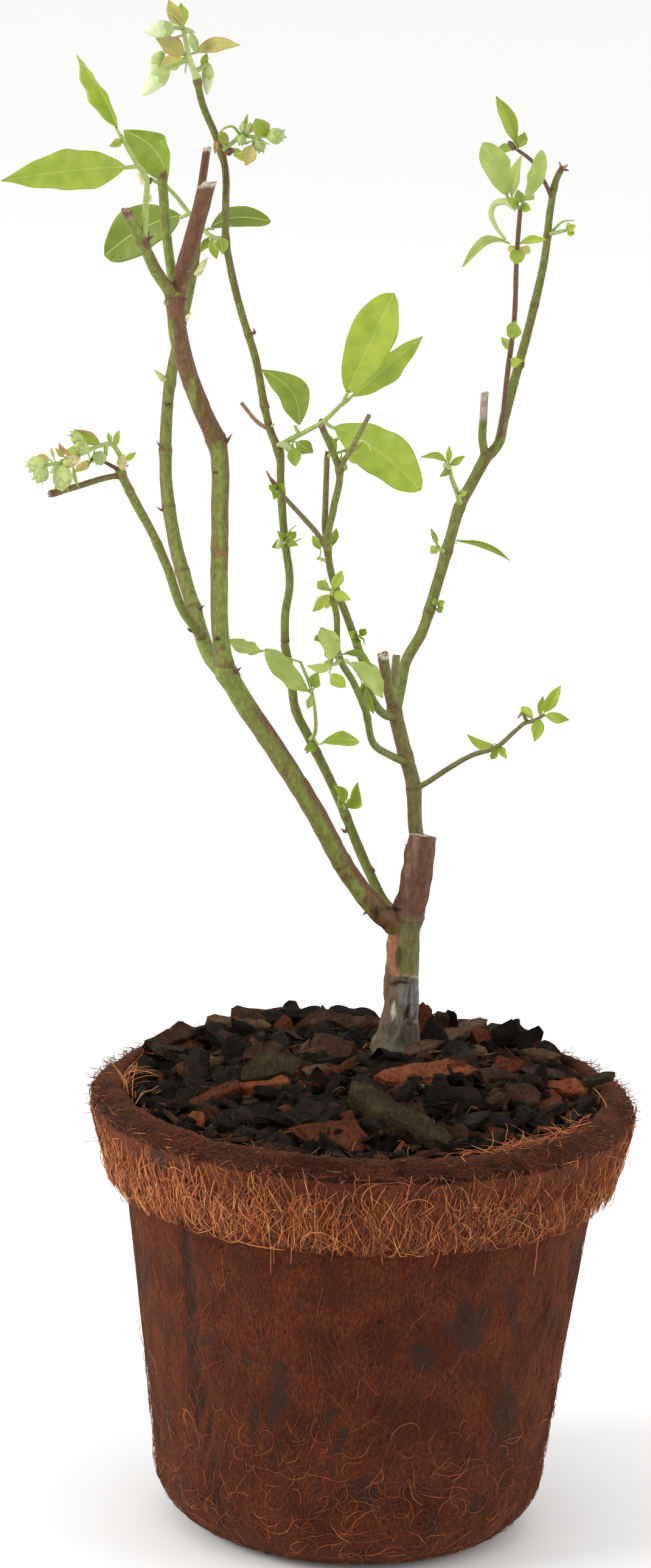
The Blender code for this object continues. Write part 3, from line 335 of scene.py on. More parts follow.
class Heap:
    """Many shapes gathered into one mesh, where each face has one of several looks."""

    def __init__(self, looks):
        self.looks = looks
        self.names = list(looks)
        self.verts = []
        self.faces = []
        self.kinds = []
        self.tints = []
        self.count = 0

    def add(self, verts, faces, kinds, tints=None):
        """Add a shape. Kinds is the name of a look, or the number of one for each face."""
        if isinstance(kinds, str):
            kinds = self.names.index(kinds)
        self.faces.append(np.asarray(faces) + self.count)
        self.kinds.append(np.broadcast_to(kinds, len(faces)))
        self.verts.append(np.asarray(verts).reshape(-1, 3))
        if tints is not None:
            self.tints.append(tints.reshape(-1, 3))
        self.count += len(self.verts[-1])

    def skin(self, verts, kinds, tints=None, cap=None):
        """Add rings of points as one closed shape. Cap is its ends' look, where kinds are many."""
        rings, sides = verts.shape[:2]
        self.add(verts, ring_quads(rings, sides), kinds, tints)
        first = self.count - rings * sides
        last = self.count - sides
        for start, order in ((first, -1), (last, 1)):
            around = [start + k for k in range(sides)][::order]
            fans = [(around[0], around[i], around[i + 1]) for i in range(1, sides - 1)]
            self.faces.append(np.array(fans))
            self.kinds.append(np.broadcast_to(self.names.index(cap or kinds), len(fans)))

    def close(self, name, slot, *nodes, crease=None):
        """Make the piece, which rides on the plant and may stand for CAD nodes."""
        mesh = bpy.data.meshes.new(name)
        verts = np.concatenate(self.verts)
        sizes = np.concatenate([np.full(len(part), part.shape[1]) for part in self.faces])
        corners = np.concatenate([part.ravel() for part in self.faces])
        mesh.vertices.add(len(verts))
        mesh.vertices.foreach_set("co", verts.ravel())
        mesh.loops.add(len(corners))
        mesh.loops.foreach_set("vertex_index", corners.astype(np.int32))
        mesh.polygons.add(len(sizes))
        mesh.polygons.foreach_set("loop_start", (np.cumsum(sizes) - sizes).astype(np.int32))
        mesh.polygons.foreach_set("material_index", np.concatenate(self.kinds).astype(np.int32))
        for look in self.looks.values():
            mesh.materials.append(look)
        if self.tints:
            tints = np.concatenate(self.tints)
            layer = mesh.color_attributes.new("tint", "FLOAT_COLOR", "POINT")
            whole = np.concatenate([tints, np.ones((len(tints), 1))], axis=1)
            layer.data.foreach_set("color", whole.ravel())
        mesh.update(calc_edges=True)
        mesh.validate()
        mesh.shade_smooth()
        if crease:
            mesh.set_sharp_from_angle(angle=math.radians(crease))
        piece = bpy.data.objects.new(name, mesh)
        bpy.context.scene.collection.objects.link(piece)
        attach(piece, "root")
        if nodes:
            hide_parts(*nodes)


def ring_quads(rings, sides):
    """Faces that skin rings of equal size."""
    ring = np.arange(rings - 1)[:, None] * sides
    k = np.arange(sides)[None, :]
    following = (k + 1) % sides
    quads = np.stack([ring + k, ring + following, ring + sides + following, ring + sides + k], -1)
    return quads.reshape(-1, 4)


def tubes(heap, routes, thick, kinds, taper=0.5):
    """Many thin tubes at once: routes is (tubes, points, 3) and thick is one each."""
    count, steps = routes.shape[:2]
    ahead = unit(np.gradient(routes, axis=1))
    guide = unit(routes * (1, 1, 0) + np.array((0.0007, 0.0003, 0.0005)))
    side = unit(np.cross(ahead, guide))
    up = np.cross(side, ahead)
    turn = full_turn(TUBE_SIDES)
    share = np.linspace(-1, 1, steps)
    radius = np.asarray(thick)[:, None] / 2 * (1 - taper * np.abs(share) ** 3)[None, :]
    out = side[:, :, None] * np.cos(turn)[:, None] + up[:, :, None] * np.sin(turn)[:, None]
    verts = routes[:, :, None] + out * radius[:, :, None, None]
    quads = ring_quads(steps, TUBE_SIDES)
    faces = (np.arange(count)[:, None, None] * steps * TUBE_SIDES + quads[None]).reshape(-1, 4)
    heap.add(verts, faces, np.repeat(kinds, len(quads)))


# Materials


# Sockets of the Mix node for colours, by number
MIX_FACTOR = 0
MIX_FIRST = 6
MIX_SECOND = 7
MIX_COLOUR = 2

# Sizes of the patterns in the looks, and depths of their bumps
MOTTLE_SIZE = 0.006
CELL_SIZE = 0.0006
DIMPLE_DEPTH = 0.00012
COIR_CLOUD_SIZE = 0.014
COIR_PIT_SIZE = 0.0021
COIR_BUMP = 0.0012
CHIP_FIBRE_SIZE = 0.0010
CHIP_CLOUD_SIZE = 0.005
CHIP_BUMP = 0.0010


class Look:
    """A material built node by node on its Principled shader."""

    def __init__(self, name, colour, roughness, **sockets):
        self.made = bpy.data.materials.new(name)
        self.made.use_nodes = True
        self.tree = self.made.node_tree
        self.shader = self.tree.nodes["Principled BSDF"]
        self.shader.inputs["Base Color"].default_value = (*colour, 1.0)
        self.shader.inputs["Roughness"].default_value = roughness
        for socket, value in sockets.items():
            self.shader.inputs[socket.replace("_", " ")].default_value = value
        self.made.diffuse_color = (*colour, 1.0)

    def node(self, kind, **settings):
        """A new shader node with its settings."""
        made = self.tree.nodes.new("ShaderNode" + kind)
        for key, value in settings.items():
            setattr(made, key, value)
        return made

    def link(self, value, socket):
        """Link a socket, or set a plain number or colour."""
        if isinstance(value, bpy.types.NodeSocket):
            self.tree.links.new(value, socket)
        elif isinstance(value, tuple):
            socket.default_value = (*value, 1.0)
        else:
            socket.default_value = value

    def place(self, stretch=(1.0, 1.0, 1.0)):
        """Coordinates on the object, squeezed where noise is to run long."""
        mapping = self.node("Mapping")
        mapping.inputs["Scale"].default_value = stretch
        self.link(self.node("TexCoord").outputs["Object"], mapping.inputs["Vector"])
        return mapping.outputs["Vector"]

    def noise(self, place, size, detail):
        """Noise whose lumps are about one size across."""
        made = self.node("TexNoise")
        self.link(place, made.inputs["Vector"])
        made.inputs["Scale"].default_value = 1 / size
        made.inputs["Detail"].default_value = detail
        return made.outputs[0]

    def attribute(self, name, output="Fac"):
        """An output of the attribute that a mesh carries by this name."""
        return self.node("Attribute", attribute_name=name).outputs[output]

    def band(self, factor, low, high, start=0.0, end=1.0):
        """A factor that goes from start to end while its input goes from low to high."""
        made = self.node("MapRange", interpolation_type="SMOOTHSTEP")
        self.link(factor, made.inputs["Value"])
        made.inputs["From Min"].default_value = low
        made.inputs["From Max"].default_value = high
        made.inputs["To Min"].default_value = start
        made.inputs["To Max"].default_value = end
        return made.outputs["Result"]

    def mix(self, factor, first, second, blend="MIX"):
        """The second colour over the first, as far as the factor says."""
        made = self.node("Mix", data_type="RGBA", blend_type=blend)
        self.link(factor, made.inputs[MIX_FACTOR])
        self.link(first, made.inputs[MIX_FIRST])
        self.link(second, made.inputs[MIX_SECOND])
        return made.outputs[MIX_COLOUR]

    def times(self, first, second):
        """The product of two numbers."""
        made = self.node("Math", operation="MULTIPLY")
        self.link(first, made.inputs[0])
        self.link(second, made.inputs[1])
        return made.outputs[0]

    def colour(self, socket):
        """Take the shader's colour from a socket."""
        self.link(socket, self.shader.inputs["Base Color"])

    def bump(self, height, depth):
        """Fine relief from a height, its full depth in metres."""
        made = self.node("Bump")
        made.inputs["Distance"].default_value = depth
        self.link(height, made.inputs["Height"])
        self.link(made.outputs["Normal"], self.shader.inputs["Normal"])


def leaf_look(name, colour, roughness):
    """Leaf skin: cell mottling, a fine dimpled bump and a little light held inside."""
    look = Look(name, colour, roughness, Subsurface_Weight=0.12, Specular_IOR_Level=0.25)
    look.shader.inputs["Subsurface Radius"].default_value = (0.4, 0.6, 0.1)
    look.shader.inputs["Subsurface Scale"].default_value = 0.0012
    place = look.place()
    broad = look.band(look.noise(place, MOTTLE_SIZE, 2.0), 0.3, 0.7)
    fine = look.noise(place, CELL_SIZE, 2.0)
    deep = tuple(part * share for part, share in zip(colour, (0.80, 0.86, 0.78)))
    light = tuple(min(1.0, part * share) for part, share in zip(colour, (1.12, 1.08, 1.10)))
    look.colour(look.mix(look.band(fine, 0.35, 0.65, 0.0, 0.35),
                         look.mix(broad, deep, light), deep))
    look.bump(fine, DIMPLE_DEPTH)
    return look.made


def bark_look(name, roughness, depth, size):
    """Bark over the painted tints: fine flecks and a bump of the same grain."""
    look = Look(name, TONES["green"], roughness, Specular_IOR_Level=0.2)
    place = look.place((1.0, 1.0, 0.45))
    fine = look.noise(place, size, 4.0)
    speck = look.noise(look.place(), size * 0.5, 1.0)
    tint = look.attribute("tint", "Color")
    flecked = look.mix(look.band(fine, 0.3, 0.7), (0.74, 0.70, 0.68), (1.16, 1.17, 1.18))
    flecked = look.mix(look.band(speck, 0.64, 0.74, 0.0, 0.75), flecked, (0.52, 0.36, 0.34))
    flecked = look.mix(look.band(speck, 0.30, 0.24, 0.0, 0.6), flecked, (1.75, 1.65, 1.60))
    look.colour(look.mix(1.0, tint, flecked, "MULTIPLY"))
    look.bump(fine, depth)
    return look.made


def plain_look(name, colour, roughness=0.55, size=0.0012, depth=0.0001, spread=0.25, **sockets):
    """A small part's skin: two near shades of one colour, and a bump."""
    look = Look(name, colour, roughness, **sockets)
    fine = look.noise(look.place(), size, 3.0)
    low = tuple(part * (1 - spread) for part in colour)
    high = tuple(min(1.0, part * (1 + spread)) for part in colour)
    look.colour(look.mix(look.band(fine, 0.3, 0.7), low, high))
    look.bump(fine, depth)
    return look.made


LEAF_LOOKS = {name: leaf_look("leaf_" + name, colour, roughness) for name, colour, roughness in (
    ("fresh", (0.322, 0.396, 0.042), 0.42),
    ("mid", (0.312, 0.388, 0.047), 0.42),
    ("deep", (0.228, 0.300, 0.041), 0.42),
    # The next look is the mid green at about half its brightness: painted shade for leaves in shadow.
    ("dusk", (0.165, 0.216, 0.027), 0.42),
    ("young", (0.370, 0.440, 0.115), 0.42),
    ("blush", (0.480, 0.400, 0.130), 0.42),
    ("rose", (0.470, 0.220, 0.120), 0.42),
    ("under", (0.340, 0.400, 0.110), 0.6),
    ("vein", (0.400, 0.480, 0.110), 0.42))}

TWIG_LOOKS = {
    "stem": plain_look("twig_green", (0.290, 0.370, 0.095), spread=0.12),
    "pale": plain_look("twig_pale", (0.440, 0.490, 0.180), spread=0.12),
    "brown": plain_look("twig_brown", TONES["brown"], 0.7),
    "red": plain_look("twig_red", (0.190, 0.080, 0.050), 0.7),
    "dry": plain_look("twig_dry", TONES["dry"], 0.8),
    "dark": plain_look("twig_dark", (0.070, 0.038, 0.024), 0.8),
    "olive": plain_look("twig_olive", TONES["olive"], 0.6),
    "tan": plain_look("twig_tan", (0.270, 0.160, 0.090), 0.7),
    "cream": plain_look("twig_cream", (0.600, 0.580, 0.300)),
}

BLOOM_LOOKS = {
    "corolla": plain_look("bloom_corolla", (0.620, 0.660, 0.370), 0.45, 0.003, spread=0.06),
    "throat": plain_look("bloom_throat", (0.500, 0.590, 0.280), 0.45, 0.003, spread=0.06),
    "tip": plain_look("bloom_tip", (0.660, 0.680, 0.430), 0.45, 0.003, spread=0.06),
    "calyx": plain_look("bloom_calyx", (0.350, 0.430, 0.125), 0.5, 0.002, spread=0.12),
    # The shade look is a darker green: painted shade on a young bud's mouth just above its cup, and the whole
    # colour of a few buds.
    "shade": plain_look("bloom_shade", (0.290, 0.375, 0.120), 0.55, 0.002, spread=0.12),
    "bud": plain_look("bloom_bud", (0.430, 0.490, 0.165), 0.5, 0.002, spread=0.10),
    "peach": plain_look("bloom_peach", (0.540, 0.450, 0.185), 0.5, 0.002, spread=0.10),
}

STEM_BARK = bark_look("stem_bark", 0.5, 0.0002, 0.0011)
TRUNK_BARK = bark_look("trunk_bark", 0.75, 0.0005, 0.0014)


# Limbs


def tone(name):
    """A named base colour, ready for sums."""
    return np.array(TONES[name])


def paint(tints, mask, name):
    """Blend a named tone into the tints where the mask says."""
    tints += (tone(name) - tints) * np.clip(mask, 0.0, 1.0)[..., None]


def limb_radii(limb, run, sides, collar, knots):
    """Radii round a limb, wider where it leaves its host and at each knot, and the knots'
    marks: a mask along the limb and a tone."""
    radius = np.repeat(limb.radii[:, None], sides, axis=1)
    if limb.host:
        host_radius = limb.host_radius()
        clear = np.maximum(run - host_radius, 0.0)
        radius = radius * (1 + collar * np.exp(-clear / (0.45 * limb.radii[0] / MM + 0.4)))
        radius = radius * (0.40 + 0.60 * ramp(run, 0.1 * host_radius, host_radius))
    marks = []
    for place, swell, length, ring_tone in knots:
        off = run - limb.run[limb.at(place)] / MM
        radius = radius * (1 + swell * np.exp(-(off / length) ** 2))
        ledge = np.exp(-((off - 0.25 * length) / 0.35) ** 2)
        radius = radius * (1 + 0.05 * ledge)
        marks.append((np.exp(-((off - 0.15 * length) / 0.45) ** 2), ring_tone))
    return radius, marks


def bark_patterns(limb, run, round_limb):
    """Streaks and blotches from -1 to 1 that run along the limb."""
    girth = round_limb * limb.radii[:, None, None]
    grown = limb.line[0] + girth + (0, 0, STREAK_PITCH * MM) * run[..., None]
    return grain(grown, STREAK_SIZE, 3), grain(grown, BLOTCH_SIZE, 4)


def limb_tip(limb, rim, ahead, base, end):
    """Rings that close a limb's tip, cut, torn, dry or rounded as a bud, and their tints."""
    sides = len(rim)
    middle = rim.mean(axis=0)
    wood = "dry" if end in ("torn", "dry") else "pale"
    caps = []
    tints = []
    for share, sink, shade in ((0.93, -0.02, "brown"), (0.86, 0.10, wood), (0.6, 0.14, wood),
                               (0.3, 0.16, "dry"), (0.08, 0.3, "brown")):
        bulge = limb.radii[-1] * (math.sqrt(1 - share**2) * 0.9 if end == "bud" else -sink)
        caps.append(middle + (rim - middle) * share + ahead * bulge)
        shade = base if end == "bud" else shade
        tints.append(np.ones((sides, 3)) * tone(shade) * (1 + 0.15 * jitter(sides, len(caps))))
    return np.array(caps), np.array(tints)


def mark_limb(tints, radius, surface, out, streaks, blotches, flanks, spots):
    """Paint the flanks and the spots. The radii come back with what the spots lift."""
    across, height = picture(surface)
    facing = ramp(np.sum(out * unit(np.array(EYE) - surface), axis=-1), -0.05, 0.25)
    for (right, lift), shade, strength, low, high in flanks:
        heading = np.array((right, 0.0, lift)) / math.hypot(right, lift)
        lean = np.sum(out * heading, axis=-1) + 0.35 * streaks + 0.15 * blotches
        within = ramp(height, low, low + 6) * (1 - ramp(height, high - 6, high))
        paint(tints, strength * ramp(lean, 0.05, 0.75) * within, shade)
    for place, wide, high, shade, strength, lift in spots:
        gap = np.hypot((across - place[0]) / wide, (height - place[1]) / high)
        mask = facing * ramp(1.25 - gap + 0.30 * streaks + 0.15 * blotches, 0.0, 0.45)
        paint(tints, strength * mask, shade)
        radius = radius + lift * MM * mask
    return radius


def limb_skin(name, base="green", spots=(), flanks=(), knots=(), end="cut",
              cut=(0.0, 0.0), sides=18, collar=0.3, rough=0.045, look=STEM_BARK, slot="green_stem"):
    """Bark with relief over one limb, painted where the photograph shows marks.

    A spot is (place, width, height, tone, strength, lift), a flank is (direction, tone,
    strength, low, high) and a knot is (place, swelling, length, ring tone).
    """
    limb = LIMBS[name]
    turns = full_turn(sides)
    round_limb = np.stack([np.cos(turns), np.sin(turns), turns * 0], -1)
    ahead, out = outwards(limb.path, sides)
    run = limb.run[:, None] / MM
    radius, marks = limb_radii(limb, run, sides, collar, knots)
    line = limb.line[:, None, :]
    surface = line + out * radius[..., None]
    radius = radius + limb.radii[:, None] * rough * (
        grain(surface, LUMP_SIZE, 1) + 0.6 * grain(surface * (1, 1, 0.3), FISSURE_SIZE, 2))
    streaks, blotches = bark_patterns(limb, run, round_limb)
    tints = np.ones(surface.shape) * tone(base)
    tints *= (1 + 0.12 * streaks + 0.08 * blotches)[..., None]
    if base in ("green", "fresh green", "olive"):
        paint(tints, 0.22 * ramp(streaks + 0.4 * blotches, 0.3, 0.9), "brown")
        paint(tints, 0.20 * ramp(-blotches, 0.1, 0.9), "olive")
    if limb.host:
        junction = np.exp(-((run - 1.1 * limb.host_radius()) / 1.6) ** 2)
        paint(tints, 0.7 * junction * np.ones(sides), "brown")
    radius = mark_limb(tints, radius, surface, out, streaks, blotches, flanks, spots)
    for mask, shade in marks:
        paint(tints, 0.85 * mask * np.ones(sides), shade)
    toward_end = ramp(limb.run[-1] / MM - run, 3.0, 0.0)
    wobble = (cut[0] * out[..., 0] - cut[1] * out[..., 1]) * limb.radii[-1] / MM
    if end in ("torn", "dry"):
        jag = grain(round_limb * 1.3, 0.45, len(name))
        wobble = wobble + jag[None, :] * (1.0 if end == "torn" else 0.6)
    if end == "dry":
        radius = radius * (1 - 0.16 * toward_end * (1 + 0.5 * np.cos(3 * turns)[None, :]))
        paint(tints, 0.9 * toward_end * np.ones(sides), "brown")
    reach = toward_end * wobble * MM
    verts = line + out * radius[..., None] + ahead[:, None] * reach[..., None]
    caps, cap_tints = limb_tip(limb, verts[-1], ahead[-1], base, end)
    verts = np.concatenate([verts, caps])
    tints = np.concatenate([tints, cap_tints])
    heap = Heap({"bark": look})
    heap.skin(verts, "bark", np.clip(tints, 0.004, 0.9))
    heap.close(name + "_bark", slot, name)


def jitter(count, seed):
    """Repeatable numbers from -1 to 1 in a column."""
    cells = np.stack([np.arange(count), np.full(count, seed), np.full(count, 5)], -1)
    return (lattice(cells, 9) * 2 - 1)[:, None]


def bough(name, route, foot, tip, host, **coat):
    """A limb that grows from its host, with its bark. Foot and tip are diameters in mm."""
    LIMBS[name] = Limb(route, foot, tip, host=LIMBS[host])
    limb_skin(name, **coat)


# Leaves, twigs and buds


def blade_width(t):
    """A leaf's share of its full width, t along it from stalk to tip, as in the source."""
    return np.sin(np.pi * np.minimum(1.0, t) ** 0.9) ** 0.85


def outline(t, blunt, taper):
    """The share of full width along a leaf: plain, or blunt, or drawn out to its tip."""
    if blunt:
        return np.sin(np.pi * t**1.15) ** 0.55
    return blade_width(t) * (1 - taper * t**3)


def settle(base, tip, turn):
    """A leaf's start, end, and the directions across it and out of its face."""
    start = sight(base)
    end = sight(tip)
    axis = end - start
    to_eye = EYE - (start + end) / 2
    side = axis.cross(to_eye).normalized()
    face = side.cross(axis).normalized()
    roll = Matrix.Rotation(math.radians(turn), 3, axis)
    side.rotate(roll)
    face.rotate(roll)
    return start, end, axis, side, face


def twig(heap, path, radii, kind, sides):
    """A small round twig or stalk."""
    _, out = outwards(path, sides)
    centre = np.array(path)[:, None]
    radii = np.asarray(radii)[:, None]
    radii = radii * (1 + 0.06 * grain(centre + out * radii[..., None], 0.0025, 6))
    heap.skin(centre + out * radii[..., None], kind)


def blade(heap, start, end, side, face, width, kind, seed, bow=0.0, sway=0.0, fold=0.25,
          wave=0.0, waves=3.0, curl=0.0, twist=0.0, edge=None, blunt=False, taper=0.0, uneven=0.05):
    """A thin closed leaf with a midrib, side veins in relief and an uneven edge."""
    axis = end - start
    length = axis.length
    rows = int(np.clip(length / LEAF_ROW, 7, 40))
    t = np.linspace(0.0, 1.0, rows + 1)
    along = STALK_SHARE + (1 - STALK_SHARE) * t
    arch = np.sin(np.pi * along)
    spine = (np.array(start) + np.outer(along, axis) + np.outer(arch, face) * bow * MM
             + np.outer(arch, side) * sway * MM)
    half = np.maximum(width * MM / 2 * outline(t, blunt, taper), SMALLEST_HALF_WIDTH)
    roll = np.radians(twist) * (t - 0.5)
    across = (np.outer(np.cos(roll), side) + np.outer(np.sin(roll), face))
    normal = (np.outer(np.cos(roll), face) - np.outer(np.sin(roll), side))
    ribbed = width > RIBBED_WIDTH
    places = np.array([-1, -0.86, -0.68, -0.48, -0.28]) if ribbed else np.array([-1, -0.7, -0.35])
    places = np.concatenate([places, [-0.01, 0.01], -places[::-1]])
    lie = places[None, :] * half[:, None]
    inner = np.abs(places) < 0.05
    lie[:, inner] = np.sign(places[inner])[None, :] * np.minimum(RIB_HALF_WIDTH, half * 0.3)[:, None]
    u = np.abs(lie) / half[:, None]
    sign = np.sign(lie)
    rise = fold * half[:, None] * u + curl * half[:, None] * u**3
    veins = t[:, None] * (5 + length / VEIN_SPACING) - 0.9 * u
    quilt = -np.cos(2 * np.pi * veins) * np.sin(np.pi * u) * QUILT_HEIGHT * min(1.0, width / 8)
    ruffle = wave * MM * u**2 * np.sin(2 * np.pi * waves * t[:, None] + 1.7 * sign + seed)
    ruffle = ruffle * np.sin(np.pi * t)[:, None]
    drift = np.sin(8 * t[:, None] + seed + sign) + 0.7 * np.sin(15 * t[:, None] + 2.3 * seed - sign)
    lie = lie * (1 + uneven * drift * u)
    top = spine[:, None] + across[:, None] * lie[..., None] + normal[:, None] * (
        rise + quilt + ruffle)[..., None]
    thick = (LEAF_THICKNESS - LEAF_EDGE_THINNING * u) * min(1.0, 0.4 + width / 6)
    keel = np.where(inner, KEEL_DEPTH, 0.0)[None, :] * (1 - t)[:, None]
    under = top - normal[:, None] * (thick + keel)[..., None]
    verts = np.concatenate([top, under[:, ::-1]], axis=1)
    columns = verts.shape[1]
    half_count = len(places)
    kinds = np.full((rows, columns), heap.names.index(kind))
    kinds[:, half_count - 1:] = heap.names.index("under")
    if ribbed:
        kinds[:, half_count // 2 - 1] = heap.names.index("vein")
    if edge:
        kinds[:, [0, half_count - 2, half_count - 1, columns - 1]] = heap.names.index(edge)
    heap.skin(verts, kinds.ravel(), cap=kind)


def bloom(heap, start, end, width, kind):
    """A flower bud: a pale closed corolla in its green cup, or a young green ribbed one."""
    axis = end - start
    ahead = axis.normalized()
    side = ahead.orthogonal().normalized()
    up = ahead.cross(side)
    turns = full_turn(BUD_SIDES)
    opened = kind == "corolla"
    teeth = np.cos(BUD_LOBES * turns)[None, :]
    lip = (0.40 + 0.055 * teeth) if opened else (0.70 + 0.10 * teeth)
    below = np.linspace(0, 1, 9)[:, None] * (lip - 0.004)
    above = lip + 0.004 + np.linspace(0, 1, 13)[:, None] ** 0.9 * (0.996 - lip)
    t = np.concatenate([below, above])
    if opened:
        shape = np.sin(np.pi * np.clip(0.04 + 0.93 * t, 0, 1) ** 0.80) ** 0.66
        ribs = 1 + 0.03 * teeth * ramp(t, 0.2, 0.5)
    else:
        shape = np.sin(np.pi * (0.06 + 0.86 * t) ** 1.1) ** 0.75
        ribs = 1 + 0.07 * teeth * np.sin(np.pi * t)
    cup = 1 + 0.07 * ramp(lip - t, -0.003, 0.003)
    radius = width * MM / 2 * shape * ribs * cup
    out = np.array(side)[None] * np.cos(turns)[:, None] + np.array(up)[None] * np.sin(turns)[:, None]
    verts = (np.array(start) + t[..., None] * np.array(axis)[None, None]
             + out[None] * radius[..., None])
    # A young bud's mouth, just above its cup's lip, takes the shade look: painted shade where the cup meets
    # the bud.
    inner, mouth, crest = ("calyx", "throat", "tip") if opened else (kind, "shade", "peach")
    if not opened and kind != "peach":
        crest = "calyx"
    rows = [inner] * 9 + [mouth] * 3 + [kind] * (len(t) - 17) + [crest] * 4
    numbers = [heap.names.index(row) for row in rows]
    heap.skin(verts, np.repeat(numbers, BUD_SIDES), cap=inner)
    if not opened:
        for turn in full_turn(BUD_LOBES):
            outward = side * math.cos(turn) + up * math.sin(turn)
            root = start + axis * 0.80 + outward * (width * MM * 0.27)
            tip = start + axis * 1.04 + outward * (width * MM * 0.42)
            sepal(heap, root, tip, outward, width * MM * 0.30)


def sepal(heap, root, tip, outward, width):
    """A small pointed lobe on a bud's mouth."""
    axis = tip - root
    side = axis.cross(outward).normalized()
    t = np.linspace(0, 1, 5)
    half = width / 2 * (1 - t) ** 0.7 + 0.00005
    middle = np.array(root) + np.outer(t, axis)
    heap.skin(np.stack([middle - np.outer(half, side), middle + np.array(outward) * 0.00018,
                        middle + np.outer(half, side), middle - np.array(outward) * 0.00006], axis=1),
              "calyx")


class Region:
    """The leaves, twigs and buds of one part of the crown."""

    def __init__(self):
        self.leaves = Heap(LEAF_LOOKS)
        self.twigs = Heap(TWIG_LOOKS)
        self.blooms = Heap(BLOOM_LOOKS)

    def close(self, name, leaf_nodes, bud_nodes=()):
        """Make the region's pieces, which stand for these nodes."""
        both = list(leaf_nodes) + list(bud_nodes)
        self.leaves.close(name + "_leaves", "leaf", *both)
        self.twigs.close(name + "_twigs", "green_stem", *both)
        if bud_nodes:
            self.blooms.close(name + "_buds", "blossom_bud", *bud_nodes)


class Spray:
    """One mass again, finer: its stem, with leaves and buds that grow on from it."""

    def __init__(self, region, host, route, foot, tip, kind="stem"):
        self.region = region
        self.stem = Limb(route, foot, tip, SPRAY_STEP, LIMBS[host])
        self.kind = kind
        self.count = 0
        swell = 1 + SPRAY_SWELL * np.exp(-self.stem.run / SPRAY_SWELL_LENGTH)
        twig(region.twigs, self.stem.path, self.stem.radii * swell, kind, SPRAY_SIDES)

    def stalk(self, start, onto, thick):
        """A stalk from the stem's skin to a leaf or bud."""
        root = self.stem.nearest(start)
        points = [root, root.lerp(start, 0.55), start, onto]
        if (start - root).length < 0.3 * MM:
            points = [start, onto]
        path = smooth(points, STALK_STEP)
        radii = np.linspace(thick * 1.35, thick, len(path))
        twig(self.region.twigs, path, radii, "stem", STALK_SIDES)

    def leaf(self, base, tip, width, kind, turn=0.0, **shape):
        """A leaf on its stalk. A young one is folded and takes its own twist and bow."""
        start, end, axis, side, face = settle(base, tip, turn)
        self.count += 1
        if width < YOUNG_WIDTH:
            shape.setdefault("twist", YOUNG_TWIST * math.sin(2.1 * self.count))
            shape.setdefault("bow", YOUNG_BOW * axis.length * math.cos(1.7 * self.count))
            shape.setdefault("fold", YOUNG_FOLD)
        thick = float(np.clip(width * 0.055, 0.18, 0.5)) * MM
        self.stalk(start, start + axis * (STALK_SHARE + 0.02), thick)
        blade(self.region.leaves, start, end, side, face, width, kind, self.count, **shape)

    def bud(self, base, tip, width, kind):
        """A flower bud on its stalk."""
        start = sight(base)
        end = sight(tip)
        self.stalk(start, start + (end - start) * 0.12, 0.55 * MM)
        bloom(self.region.blooms, start, end, width, kind)

    def strand(self, route, thick, kind=None):
        """A thin loose thread, such as a bract's or style's tail."""
        path = smooth([sight(place) for place in route], STALK_STEP)
        radii = thick * MM / 2 * (1 - 0.6 * np.linspace(0, 1, len(path)) ** 2)
        twig(self.region.twigs, path, radii, kind or self.kind, THREAD_SIDES)


# Trunk and stems


